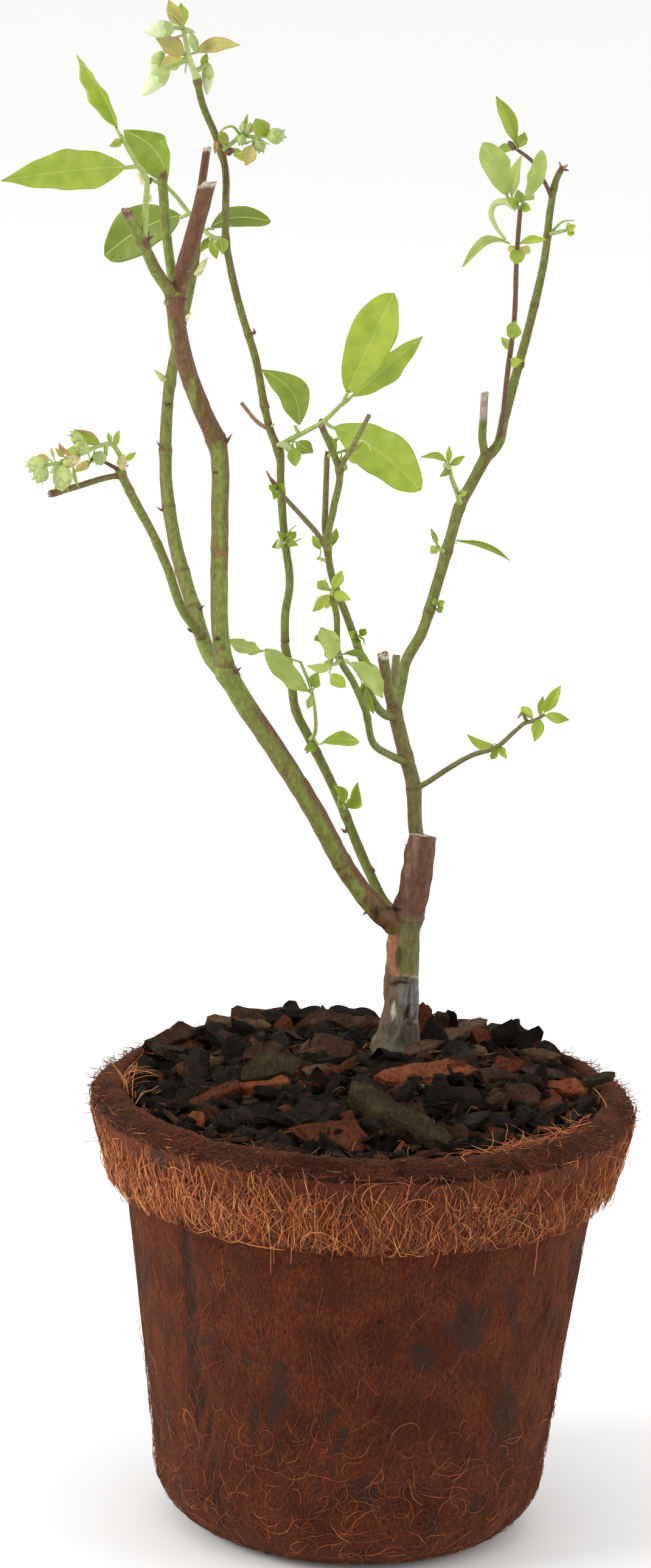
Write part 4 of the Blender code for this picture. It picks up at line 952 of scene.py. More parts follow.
def trunk():
    """The old stump: grey cracked bark below, a peeled patch, and a brown cut stub above."""
    limb = Limb(TRUNK_ROUTE, TRUNK_DIAMETER, TRUNK_TIP_DIAMETER, TRUNK_RING_STEP)
    rise = limb.line[:, 2] - limb.line[0, 2]
    limb.radii = limb.radii * (1 + (FLARE - 1) * np.exp(-rise / FLARE_HEIGHT))
    LIMBS["trunk"] = limb
    limb_skin(
        "trunk", base="grey", sides=64, rough=0.09, look=TRUNK_BARK, slot="trunk_bark",
        cut=(0.0, 0.38),
        knots=[((8.1, 197.3), 0.10, 3.5, "brown")],
        flanks=[((1, 0.2), "cool grey", 0.40, 160, 196), ((-1, 0), "brown", 0.6, 150, 196)],
        spots=[
            ((12.1, 209.2), 7.2, 13.5, "purple", 0.95, 0.25),
            ((12.9, 217.0), 5.5, 9, "purple", 0.95, 0.2),
            ((13.2, 218.5), 0.9, 6, "dry", 0.35, 0.0), ((11.3, 209.1), 0.7, 8, "dry", 0.25, 0.0),
            ((14.6, 211.2), 1.0, 10, "brown", 0.6, 0.0),
            ((6.7, 189.4), 2.8, 8, "orange", 0.95, 0.05), ((8.4, 180.7), 1.7, 3.6, "orange", 0.8, 0),
            ((12.1, 185.7), 3.1, 9, "olive", 0.95, 0.1), ((11.8, 179.9), 2.2, 3, "olive", 0.9, 0.1),
            ((10.7, 174.9), 2.4, 0.5, "dark", 0.9, -0.35), ((12.7, 176.6), 2.0, 0.45, "dark", 0.8, -0.3),
            ((11.5, 177.3), 2.2, 0.6, "dry", 0.7, 0.35), ((14.0, 176.8), 1.4, 0.5, "pale", 0.7, 0.3),
            ((13.6, 168.5), 1.1, 6.2, "dark", 1.0, -1.0), ((13.7, 164.6), 1.9, 3.0, "dark", 1.0, -0.9),
            ((14.6, 170.2), 0.8, 5.5, "cool grey", 0.9, 0.45), ((8.4, 165.8), 0.55, 2.8, "pale", 0.95, 0.2),
            ((14.8, 162.3), 2.2, 0.5, "dry", 0.8, 0.3), ((7.5, 155.1), 6, 5, "moss", 0.45, 0.0),
            # Painted shade: the first spot on the next line darkens the right of the flare, its side away
            # from the light, and sinks the skin a little.
            ((14.6, 156.8), 4, 5, "dark", 0.65, -0.4), ((4.6, 169.8), 1.2, 9, "brown", 0.5, 0.0),
            ((13.4, 222.6), 2.1, 0.8, "pale", 0.9, 0.4), ((5.1, 195.6), 4.2, 3.2, "brown", 0.9, 0.5),
            ((6.9, 198.4), 2.6, 0.6, "dark", 0.95, -0.5), ((4.8, 194.1), 1.6, 0.6, "dark", 0.9, -0.5),
            ((8.2, 195.0), 0.6, 2.0, "dark", 0.8, -0.4), ((9.2, 183.3), 1.0, 3.4, "dark", 0.7, -0.35),
            ((7.9, 174.2), 1.4, 0.6, "dark", 0.85, -0.4), ((7.3, 160.0), 3.0, 2.0, "dark", 0.35, 0.0),
            ((12.2, 170.1), 2.0, 4.0, "cool grey", 0.45, 0.2),
        ])


def left_side():
    """The left stem, which forks into a front leader, a back leader and a side leader."""
    bough("left_stem",
          [(9.2, 191.5, 13), (2.4, 197.7, 10), (-6.3, 208.2, 6), (-19.1, 229.6, -4),
           (-34.4, 252.3, -12), (-40.7, 261.1, -15), (-47.8, 272.1, -16)],
          6.4, 6.2, "trunk", base="fresh green", end="bud", sides=26,
          knots=[((-47.2, 270.8), 0.10, 3, "olive"), ((-9.8, 212.2), 0.03, 2, "brown")],
          flanks=[((0.75, 0.66), "brown", 0.98, 192, 264), ((-0.7, -0.7), "brown", 0.45, 192, 262)],
          spots=[((0.4, 200.9), 3.0, 3.0, "brown", 0.8, 0.5), ((-7.8, 208.4), 2.0, 1.0, "brown", 0.7, 0.2),
                 ((3.6, 196.0), 4.6, 5.0, "brown", 0.95, 0.4), ((1.7, 197.1), 0.5, 3, "dark", 0.8, -0.3),
                 ((3.9, 198.3), 2.4, 0.5, "dark", 0.8, -0.3), ((3.3, 192.8), 2.0, 0.5, "dark", 0.8, -0.3),
                 ((-3.6, 197.4), 1.2, 1.0, "red", 0.8, 0.4), ((-18.0, 228.3), 1, 2, "olive", 0.8, 0),
                 ((-27.8, 242.0), 1, 3, "brown", 0.5, 0), ((-43.5, 272.1), 2.4, 1.4, "brown", 0.8, 0.3)])
    bough("left_leader",
          [(-47.2, 270.5, -16), (-49.5, 283.7, -17), (-50.3, 298.9, -17), (-50.9, 321.6, -15),
           (-52.3, 342.2, -14), (-57.5, 353.1, -15), (-65.2, 375.3, -19), (-66.7, 387.9, -22)],
          5.2, 5.6, "left_stem", base="fresh green", end="bud", sides=26, collar=0.12,
          knots=[((-50.0, 344.2), 0.16, 3, "brown"), ((-66.7, 387.2), 0.10, 3, "brown"),
                 ((-50.5, 309.3), 0.03, 2, "red")],
          flanks=[((-1, 0.2), "brown", 0.6, 270, 350), ((1, 0.3), "brown", 0.6, 300, 350),
                  ((0.5, 0.5), "purple", 0.8, 342, 395), ((-0.2, 0.6), "brown", 0.6, 346, 392),
                  ((-1, -0.3), "olive", 0.4, 346, 380)],
          spots=[((-50.3, 281.8), 1.3, 0.5, "dark", 0.9, -0.3), ((-48.8, 279.0), 1.1, 0.6, "red", 0.8, 0.2),
                 ((-50.3, 308.4), 2.2, 0.9, "red", 0.6, 0.1), ((-52.4, 333.6), 0.9, 0.4, "dark", 0.9, -0.3),
                 ((-63.5, 371.7), 3.0, 17, "purple", 0.8, 0), ((-57.4, 354.2), 2.2, 14, "brown", 0.75, 0),
                 ((-66.8, 384.6), 4.0, 5, "purple", 0.9, 0), ((-54.7, 347.8), 3.0, 6, "brown", 0.8, 0),
                 ((-49.6, 343.8), 2.0, 1.6, "brown", 0.7, 0.3), ((-51.7, 294.1), 0.9, 3, "olive", 0.6, 0),
                 ((-49.6, 319.8), 0.8, 4, "olive", 0.6, 0), ((-69.7, 389.8), 1.5, 0.9, "pale", 0.9, 0.4),
                 ((-70.1, 384.8), 1.3, 1.0, "pale green", 0.9, 0.7)])
    bough("leader_cut_stub",
          [(-66.5, 385.6, -22), (-64.0, 395.8, -23), (-61.3, 407.0, -25), (-57.9, 421.8, -27)],
          5.3, 5.0, "left_leader", base="brown", end="torn", sides=24, collar=0.05,
          slot="cut_wood", cut=(0.5, 0.3),
          flanks=[((-1, 0), "purple", 0.7, 380, 430), ((1, 0), "olive", 0.35, 380, 405)],
          spots=[((-64.0, 390.2), 0.5, 0.4, "dry", 0.8, 0.1), ((-62.9, 394.9), 0.5, 0.4, "dry", 0.8, 0.1),
                 ((-58.4, 420.7), 2.6, 0.7, "pale", 0.85, 0.2), ((-60.9, 405.2), 0.9, 4, "purple", 0.6, 0.1)])
    bough("leader_left_stub",
          [(-66.6, 386.6, -22), (-72.2, 394.0, -29), (-76.3, 401.8, -35), (-82.2, 412.6, -43)],
          3.8, 3.2, "left_leader", base="fresh green", end="dry", cut=(-0.4, 0.2), collar=0.2,
          knots=[((-75.9, 404.6), 0.16, 1.8, "brown")],
          flanks=[((1, 0.2), "brown", 0.7, 385, 404)],
          spots=[((-81.6, 411.4), 2.2, 1.9, "dry", 0.85, 0.1),
                 ((-75.5, 403.1), 1.6, 1.6, "brown", 0.85, 0.3)])
    bough("leader_mid_stub",
          [(-67.0, 386.6, -21), (-67.8, 394.0, -18), (-69.6, 404.8, -17), (-71.7, 424.2, -17)],
          3.0, 2.9, "left_leader", base="fresh green", end="torn", cut=(1.0, 0.2), collar=0.2,
          spots=[((-71.7, 422.8), 2.0, 0.7, "brown", 0.9, 0.2), ((-69.7, 390.0), 1.2, 0.8, "pale", 0.7, 0.3)])
    bough("back_leader",
          [(-47.6, 269.6, -15), (-51.4, 275.0, -8), (-57.9, 291.4, 8), (-64.3, 312.0, 20),
           (-67.5, 330.4, 28), (-68.0, 347.2, 33), (-67.5, 358.5, 33), (-65.3, 373.1, 30),
           (-60.9, 399.6, 22), (-60.4, 412.5, 20), (-58.4, 432.3, 20)],
          5.0, 2.4, "left_stem", base="fresh green", end="torn", cut=(0.2, 0.2), collar=0.1, sides=22,
          knots=[((-68.0, 339.4), 0.13, 1.8, "brown"), ((-61.4, 302.1), 0.08, 1.4, "brown"),
                 ((-56.6, 291.0), 0.12, 2.2, "brown"), ((-68.6, 360.7), 0.10, 1.8, "olive"),
                 ((-60.4, 401.5), 0.12, 1.6, "brown"), ((-69.1, 321.8), 0.05, 1.6, "brown")],
          flanks=[((-1, 0), "brown", 0.5, 280, 420), ((1, 0.2), "olive", 0.5, 300, 420)],
          spots=[((-59.2, 426.9), 3.2, 7.5, "purple", 1.0, 0), ((-58.8, 431.7), 1.6, 0.7, "pale", 0.9, 0.1),
                 ((-67.1, 354.0), 0.8, 0.5, "dark", 0.9, -0.3),
                 ((-64.1, 381.0), 1.0, 1.0, "brown", 0.6, 0.2)])
    bough("side_leader",
          [(-54.6, 282.2, -1), (-57.7, 285.7, -6), (-60.3, 289.0, -9), (-66.3, 303.6, -20),
           (-72.2, 315.8, -31), (-75.8, 321.9, -36), (-81.6, 332.6, -44)],
          2.9, 2.7, "back_leader", base="fresh green", end="bud",
          knots=[((-70.4, 309.9), 0.08, 1.6, "olive"), ((-58.2, 283.4), 0.12, 1.8, "brown"),
                 ((-81.3, 332.4), 0.28, 1.3, "red"), ((-77.4, 327.1), 0.10, 1.2, "olive")],
          flanks=[((1, 0.5), "brown", 0.5, 280, 335)],
          spots=[((-82.6, 333.5), 2.0, 0.8, "brown", 0.8, 0.1)])
    bough("side_cut_twig",
          [(-81.3, 331.7, -43), (-85.1, 330.8, -46), (-93.9, 327.8, -52), (-102.9, 324.8, -58)],
          1.7, 2.1, "side_leader", base="olive", end="dry", slot="cut_wood", sides=14,
          knots=[((-101.6, 325.2), 0.18, 1.8, "red")],
          flanks=[((0, 1), "brown", 0.5, 318, 336)],
          spots=[((-102.0, 325.0), 1.8, 1.8, "red", 0.8, 0.1)])


def middle():
    """The tall thin stem in the middle, which carries the highest blossom."""
    bough("middle_stem",
          [(9.6, 195.4, 17), (3.6, 201.4, 22), (-1.1, 210.4, 24), (-12.4, 235.3, 21),
           (-21.1, 251.9, 17), (-25.3, 259.8, 15), (-27.6, 272.2, 13), (-29.6, 280.7, 12)],
          3.2, 2.7, "trunk", base="green", end="bud",
          knots=[((-18.7, 247.6), 0.12, 1.6, "brown"), ((-9.3, 227.7), 0.08, 1.4, "brown"),
                 ((-25.3, 260.2), 0.08, 1.4, "olive")],
          flanks=[((1, 0.3), "brown", 0.3, 196, 280)],
          spots=[((-9.3, 223.4), 1.0, 0.8, "brown", 0.8, 0.3), ((0.7, 211.0), 1.0, 0.7, "brown", 0.7, 0.3)])
    bough("middle_leader",
          [(-29.5, 280.3, 12), (-29.8, 290.4, 13), (-28.8, 298.8, 13), (-31.0, 314.8, 12),
           (-32.7, 331.7, 10), (-33.4, 340.2, 8), (-35.8, 345.7, 7), (-42.1, 370.5, 3),
           (-46.3, 382.6, 0), (-50.3, 397.1, -4), (-51.9, 405.5, -5), (-52.2, 413.8, -4),
           (-53.0, 427.5, -2), (-55.6, 435.1, -2), (-60.5, 446.3, -6), (-62.2, 453.3, -8)],
          2.6, 2.1, "middle_stem", base="green", end="bud", collar=0.1,
          knots=[((-37.3, 354.8), 0.22, 1.6, "brown"), ((-34.0, 340.7), 0.30, 2.2, "olive"),
                 ((-32.2, 327.6), 0.12, 1.6, "olive"), ((-30.8, 312.9), 0.10, 1.6, "olive"),
                 ((-42.1, 377.2), 0.12, 1.3, "brown"), ((-51.1, 404.6), 0.18, 1.5, "olive"),
                 ((-52.9, 431.2), 0.24, 1.8, "brown"), ((-62.2, 452.0), 0.34, 1.4, "red")],
          flanks=[((1, 0.1), "brown", 0.45, 300, 452), ((-1, 0.1), "brown", 0.35, 380, 440)],
          spots=[((-52.5, 423.9), 0.7, 6, "dark", 0.7, 0), ((-53.0, 429.0), 1.2, 4, "brown", 0.7, 0),
                 ((-62.4, 453.8), 1.5, 0.7, "dark", 0.7, 0.1), ((-35.9, 348.5), 0.6, 2, "dark", 0.5, 0),
                 ((-40.8, 367.0), 0.7, 4, "brown", 0.6, 0), ((-48.2, 389.0), 0.7, 4, "brown", 0.5, 0)])
    LIMBS["middle_snag"] = Limb([(-37.2, 347.0, 6), (-39.5, 348.9, 4), (-45.4, 355.2, 0)],
                                1.3, 1.2, host=LIMBS["middle_leader"])


def right_side():
    """The right stem, its cut stubs, and the leaders and twigs that grow on from it."""
    bough("right_stem",
          [(11.6, 192.5, 16), (13.3, 207.3, 25), (13.8, 217.0, 27), (12.5, 226.6, 28),
           (11.5, 238.2, 29), (8.6, 248.1, 31), (4.5, 262.3, 33)],
          4.6, 4.6, "trunk", base="olive", end="bud", sides=22,
          knots=[((4.9, 260.6), 0.10, 2.2, "brown"), ((9.0, 247.2), 0.10, 2.0, "brown"),
                 ((11.7, 236.7), 0.12, 2.2, "brown")],
          flanks=[((-1, 0), "brown", 0.55, 205, 262), ((1, 0), "olive", 0.4, 205, 262)],
          spots=[((9.8, 218.8), 1.0, 1.0, "brown", 0.8, 0.4), ((10.5, 230.4), 0.8, 3, "brown", 0.4, 0)])
    bough("right_cut_stubs",
          [(4.4, 261.0, 33), (2.6, 268.6, 31), (0.4, 279.4, 29)],
          3.7, 3.5, "right_stem", base="olive", end="torn", slot="cut_wood", collar=0.1,
          flanks=[((-1, 0), "brown", 0.8, 255, 290)],
          spots=[((0.7, 278.1), 2.0, 0.7, "pale", 0.8, 0.1)])
    LIMBS["right_short_stub"] = Limb([(3.4, 264.6, 32), (4.2, 271.0, 34), (4.7, 279.0, 36)],
                                     2.6, 2.4, host=LIMBS["right_cut_stubs"])
    bough("right_leader",
          [(5.0, 260.2, 34), (6.4, 268.7, 42), (7.6, 276.8, 45), (11.9, 285.8, 47),
           (15.6, 299.2, 48), (19.7, 316.4, 49), (21.9, 325.4, 50), (24.8, 332.1, 50),
           (29.9, 342.7, 50)],
          3.3, 3.6, "right_stem", base="green", end="bud", collar=0.1,
          knots=[((16.4, 312.5), 0.14, 1.8, "brown"), ((13.1, 293.4), 0.12, 1.8, "brown"),
                 ((20.6, 325.9), 0.10, 1.8, "olive"), ((29.5, 342.3), 0.12, 2.0, "brown")],
          flanks=[((1, -0.2), "brown", 0.4, 270, 345), ((-1, 0.3), "olive", 0.4, 270, 345)],
          spots=[((22.6, 332.0), 0.8, 3, "brown", 0.5, 0), ((14.2, 301.5), 0.7, 3, "brown", 0.4, 0)])
    bough("right_cut_tip",
          [(29.3, 341.4, 50), (28.0, 346.9, 48), (28.0, 352.7, 47), (28.1, 361.3, 45)],
          2.6, 2.4, "right_leader", base="green", end="cut", slot="cut_wood", cut=(0.3, 0.2), collar=0.15,
          spots=[((28.1, 357.8), 3.0, 5.2, "dry", 1.0, 0), ((28.3, 358.1), 2.4, 4.6, "pale", 0.35, 0),
                 ((28.1, 361.7), 2.4, 0.6, "brown", 0.9, 0)])
    bough("right_top",
          [(29.2, 341.2, 50), (32.4, 344.8, 51), (34.4, 353.9, 50), (37.4, 367.6, 48),
           (41.5, 386.6, 44), (44.4, 403.7, 41), (45.4, 418.5, 39), (46.6, 426.5, 38),
           (48.4, 430.9, 38)],
          3.3, 2.0, "right_leader", base="green", end="dry", cut=(0.3, 0.2), collar=0.15,
          knots=[((44.9, 409.7), 0.16, 1.5, "brown"), ((46.4, 424.1), 0.14, 1.4, "brown"),
                 ((38.6, 370.1), 0.08, 1.5, "olive"), ((42.2, 388.8), 0.06, 1.5, "brown")],
          flanks=[((1, 0), "brown", 0.5, 350, 430), ((-1, 0), "olive", 0.4, 345, 430)],
          spots=[((47.9, 430.0), 1.4, 1.6, "brown", 0.9, 0)])
    bough("inner_twig",
          [(5.2, 259.0, 32), (1.4, 260.4, 26), (-1.7, 264.0, 20), (-5.2, 275.5, 12),
           (-10.2, 288.5, 3), (-17.0, 307.2, -11), (-17.8, 313.5, -14), (-16.3, 323.9, -20),
           (-15.1, 336.2, -26), (-16.6, 340.0, -28), (-21.0, 349.3, -33)],
          2.7, 2.0, "right_stem", base="green", end="dry",
          knots=[((-14.9, 335.8), 0.26, 1.5, "brown"), ((-17.3, 310.6), 0.16, 1.6, "brown"),
                 ((-6.9, 281.6), 0.10, 1.4, "olive"), ((-20.8, 348.5), 0.1, 1.2, "olive")],
          flanks=[((-1, 0), "brown", 0.4, 262, 348), ((1, 0), "olive", 0.3, 262, 348)],
          spots=[((-1.2, 263.5), 1.2, 1.0, "brown", 0.6, 0.1)])
    LIMBS["inner_snag"] = Limb([(-15.0, 336.2, -26), (-12.9, 340.0, -29), (-6.6, 353.0, -35)],
                               1.7, 1.4, host=LIMBS["inner_twig"])
    bough("inner_side_twig",
          [(-17.5, 311.6, -13), (-18.7, 317.6, -14), (-18.8, 324.7, -15), (-18.9, 341.3, -17)],
          2.0, 1.7, "inner_twig", base="olive", end="dry", sides=16,
          flanks=[((1, 0), "red", 0.3, 318, 342)])
    bough("inner_back_twig",
          [(-17.4, 311.0, -12), (-20.8, 315.6, -5), (-25.1, 320.3, 4), (-30.3, 325.6, 19),
           (-34.7, 330.1, 25)],
          1.7, 1.4, "inner_twig", base="olive", end="dry", sides=14,
          flanks=[((0, 1), "brown", 0.4, 305, 332)])
    bough("low_twig",
          [(9.6, 245.0, 30), (4.4, 247.2, 22), (-1.2, 250.8, 10), (-4.3, 261.6, -2),
           (-8.3, 270.1, -9), (-12.9, 277.7, -14), (-14.4, 292.0, -19), (-15.7, 296.5, -20)],
          2.4, 2.0, "right_stem", base="green", end="bud",
          knots=[((-12.7, 277.5), 0.22, 1.8, "brown"), ((-3.0, 258.8), 0.12, 1.6, "brown"),
                 ((-15.5, 295.7), 0.12, 1.4, "olive")],
          flanks=[((0.3, 1), "brown", 0.45, 244, 296)])


# Scales: limb, base, tip, width in mm and look, and the share of these sizes that is made
SCALES = [
    ("back_leader", (-68.5, 339.2), (-71.8, 344.1), 1.5, "red"),
    ("back_leader", (-68.7, 321.3), (-71.0, 322.7), 1.2, "red"),
    ("back_leader", (-67.3, 352.5), (-69.6, 355.6), 1.2, "dark"),
    ("back_leader", (-69.4, 361.8), (-73.6, 365.7), 3.0, "pale"),
    ("back_leader", (-60.1, 394.5), (-55.6, 401.3), 3.4, "cream"),
    ("back_leader", (-63.5, 380.2), (-60.5, 383.3), 2.6, "cream"),
    ("back_leader", (-56.4, 290.5), (-53.9, 293.1), 1.8, "dark"),
    ("left_leader", (-49.6, 343.1), (-47.1, 346.9), 1.8, "brown"),
    ("left_leader", (-64.3, 385.4), (-61.9, 387.7), 1.8, "brown"),
    ("left_leader", (-51.5, 334.7), (-54.0, 336.5), 1.3, "dry"),
    ("left_stem", (-44.8, 271.3), (-41.7, 274.1), 2.2, "dark"),
    ("left_stem", (-1.7, 196.9), (-3.2, 195.7), 1.4, "red"),
    ("left_stem", (-5.5, 208.1), (-3.7, 209.7), 1.6, "brown"),
    ("leader_left_stub", (-74.9, 404.2), (-72.6, 405.8), 1.4, "brown"),
    ("middle_leader", (-42.1, 377.0), (-42.9, 379.0), 1.4, "red"),
    ("middle_leader", (-36.1, 348.5), (-34.5, 349.7), 1.6, "pale"),
    ("middle_leader", (-37.3, 354.4), (-38.9, 355.1), 1.6, "red"),
    ("middle_leader", (-32.9, 329.5), (-37.1, 334.4), 1.0, "red"),
    ("middle_leader", (-52.6, 430.9), (-50.4, 433.1), 2.2, "red"),
    ("middle_leader", (-62.0, 450.9), (-63.5, 452.2), 1.6, "red"),
    ("middle_stem", (-9.1, 222.7), (-10.9, 224.2), 1.6, "red"),
    ("middle_stem", (0.4, 210.6), (-0.3, 212.5), 1.6, "brown"),
    ("middle_stem", (-25.3, 259.8), (-27.1, 261.7), 1.3, "brown"),
    ("right_stem", (10.6, 218.8), (9.0, 219.5), 1.8, "red"),
    ("right_stem", (12.1, 236.3), (13.9, 238.3), 1.4, "brown"),
    ("right_leader", (16.0, 293.9), (14.4, 296.7), 1.4, "brown"),
    ("right_leader", (23.5, 328.7), (24.5, 331.0), 1.6, "brown"),
    ("right_top", (39.0, 369.4), (40.4, 372.0), 1.4, "red"),
    ("right_top", (42.2, 387.7), (40.7, 389.5), 1.3, "brown"),
    ("inner_twig", (-14.9, 335.1), (-12.8, 336.7), 1.8, "brown"),
    ("inner_twig", (-9.9, 287.6), (-8.3, 289.5), 1.2, "red"),
    ("low_twig", (-1.6, 250.8), (-3.5, 252.6), 1.2, "brown"),
    ("side_leader", (-80.4, 334.0), (-78.2, 335.4), 1.4, "red"),
    ("side_leader", (-69.8, 309.1), (-68.6, 310.9), 1.2, "brown"),
    ("side_leader", (-58.4, 284.1), (-60.5, 285.2), 1.6, "dark"),
]
SCALE_LENGTH = 0.72
SCALE_WIDTH = 0.72


def scale(heap, limb, base, tip, width, kind):
    """A dry scale or small hard bud beside a node."""
    stem = LIMBS[limb]
    depth = stem.depth(base)
    lift = stem.radii[stem.at(base)] / MM * 0.5
    tip = tuple(b + (t - b) * SCALE_LENGTH for b, t in zip(base, tip))
    width = width * SCALE_WIDTH
    start, end, axis, _, face = settle((*base, depth - lift), (*tip, depth - lift * 2), 0)
    root = stem.nearest(start)
    middle = start + axis * 0.45 + face * 0.25 * width * MM
    path = smooth([root, start, middle, end], SCALE_STEP)
    t = np.linspace(0, 1, len(path))
    radii = width * MM / 2 * np.clip(np.sin(np.pi * (0.25 + 0.74 * t)), 0.06, 1)
    twig(heap, path, radii, kind, SCALE_SIDES)


def bud_scales():
    """The scales and small buds, and two snags and a short stub as plain round twigs."""
    heap = Heap(TWIG_LOOKS)
    for row in SCALES:
        scale(heap, *row)
    for name, kind in (("middle_snag", "tan"), ("inner_snag", "olive")):
        limb = LIMBS[name]
        twig(heap, limb.path, limb.radii * (1 + 0.5 * np.exp(-limb.run / 0.0012)), kind, 12)
    stub = LIMBS["right_short_stub"]
    twig(heap, stub.path, stub.radii, "olive", 14)
    heap.close("bud_scales", "green_stem")


# Masses of leaves and blossom


def left_region():
    """The leaves at the upper left, on two limbs, and the blossom at the side leader's tip."""
    region = Region()
    spray = Spray(region, "leader_left_stub",
                  [(-76.0, 402.0, -35), (-76.3, 407.3, -38), (-76.2, 415.6, -40),
                   (-76.4, 422.8, -42), (-79.1, 426.5, -44), (-84.5, 435.1, -48)], 2.0, 1.3)
    spray.leaf((-78.7, 426.0, -44), (-119.9, 420.0, -62), 13.0, "mid", turn=12, bow=2, sway=0.4,
               wave=1.2, waves=3.6, fold=0.12, taper=0.45, uneven=0.055)
    spray.leaf((-84.4, 434.7, -48), (-98.1, 458.5, -40), 6.6, "mid", turn=-38, sway=1.7,
               wave=0.8, waves=3, fold=0.8, curl=0.3, twist=45, taper=0.35, uneven=0.07)
    spray.leaf((-83.7, 433.5, -47), (-87.6, 431.7, -52), 2.6, "mid", edge="blush")
    spray.strand([(-75.9, 416.5, -38), (-75.1, 417.1, -37), (-74.9, 415.5, -37)], 1.6, "cream")
    spray.strand([(-76.6, 421.1, -41), (-77.9, 423.3, -41), (-78.5, 425.4, -42)], 2.6, "cream")
    spray.strand([(-75.6, 421.1, -41), (-74.6, 422.7, -41)], 1.6, "brown")
    spray.strand([(-76.4, 403.1, -35), (-75.4, 406.4, -35)], 2.8, "brown")

    spray = Spray(region, "middle_leader",
                  [(-51.7, 405.1, -5), (-55.2, 405.2, -4), (-59.1, 408.0, -1),
                   (-63.1, 412.4, 2), (-69.5, 419.4, 2), (-75.3, 422.4, 0)], 1.5, 1.1)
    # The next two leaves take the green darkened as painted shade.
    spray.leaf((-57.8, 407.5, -2), (-38.5, 411.0, 12), 6.8, "dusk", turn=-15, sway=-3.0, bow=-1.5,
               blunt=True, fold=0.35)
    spray.leaf((-63.1, 412.3, 2), (-88.2, 398.6, 10), 14.5, "dusk", turn=10, bow=-1.5, sway=2.6,
               fold=0.12, wave=0.3, blunt=True)
    spray.leaf((-69.5, 419.4, 2), (-83.4, 436.6, 8), 12.0, "deep", turn=-20, sway=4.0,
               fold=0.35, curl=0.3, wave=0.6, waves=4, uneven=0.06)
    spray.leaf((-53.6, 405.0, -5), (-52.6, 400.4, -11), 4.4, "deep", edge="blush")
    spray.leaf((-56.8, 405.7, -3), (-59.2, 400.8, -6), 2.6, "deep")
    spray.leaf((-56.5, 405.5, -3), (-54.4, 399.0, -10), 3.2, "mid")

    spray = Spray(region, "side_leader",
                  [(-81.3, 332.2, -44), (-80.6, 335.3, -45), (-82.2, 338.4, -47),
                   (-84.3, 341.0, -49), (-87.8, 340.5, -52), (-93.3, 337.8, -56),
                   (-98.7, 335.1, -60), (-104.3, 333.8, -63)], 1.6, 1.1)
    spray.bud((-104.6, 335.1, -63), (-109.6, 332.8, -65), 4.5, "bud")
    spray.bud((-104.3, 333.4, -63), (-106.7, 328.8, -66), 4.3, "calyx")
    spray.bud((-98.7, 334.4, -60), (-99.4, 326.4, -63), 5.4, "bud")
    spray.bud((-98.2, 334.8, -58), (-101.9, 331.6, -55), 3.4, "shade")
    spray.bud((-94.2, 336.6, -57), (-98.6, 334.6, -62), 3.8, "peach")
    spray.bud((-91.6, 338.4, -56), (-95.0, 340.6, -60), 4.0, "calyx")
    spray.bud((-92.9, 340.2, -56), (-96.6, 344.2, -58), 3.2, "bud")
    spray.bud((-86.2, 337.4, -50), (-89.4, 336.0, -53), 4.0, "calyx")
    spray.bud((-81.0, 333.4, -46), (-81.2, 337.4, -49), 2.9, "peach")
    spray.leaf((-87.2, 340.5, -52), (-95.9, 345.0, -54), 3.8, "mid", fold=0.5, edge="rose")
    spray.leaf((-92.7, 338.4, -56), (-98.2, 338.6, -50), 3.2, "mid", fold=0.4)
    spray.leaf((-84.5, 340.8, -49), (-85.5, 344.5, -47), 1.6, "mid")
    spray.leaf((-83.7, 340.1, -48), (-82.2, 345.3, -51), 2.0, "mid", blunt=True)
    spray.leaf((-80.6, 335.7, -45), (-77.0, 338.8, -42), 2.0, "mid", edge="blush")
    spray.leaf((-90.9, 336.2, -54), (-95.5, 331.9, -58), 2.2, "blush", fold=0.4)
    spray.leaf((-102.4, 335.4, -62), (-107.6, 335.6, -60), 3.6, "blush", fold=0.35)
    spray.leaf((-98.6, 336.4, -61), (-101.4, 339.0, -63), 1.8, "mid", edge="rose")
    spray.leaf((-101.6, 335.6, -61), (-102.8, 339.2, -60), 1.0, "blush")
    spray.leaf((-96.6, 337.2, -61), (-100.4, 340.8, -60), 1.8, "rose", sway=-0.8)
    spray.leaf((-96.0, 335.0, -58), (-94.0, 327.4, -56), 1.2, "mid", sway=0.5)
    spray.strand([(-81.7, 333.0, -44), (-84.3, 334.4, -46), (-86.9, 335.6, -48),
                  (-90.3, 336.1, -50)], 1.3, "brown")
    spray.strand([(-89.9, 335.9, -50), (-90.6, 336.4, -50)], 2.4, "dark")
    spray.leaf((-90.1, 335.7, -50), (-95.5, 332.1, -54), 2.6, "blush", fold=0.5)
    region.close("left", ["top_left_leaves", "left_shoot_leaves"], ["left_blossom"])


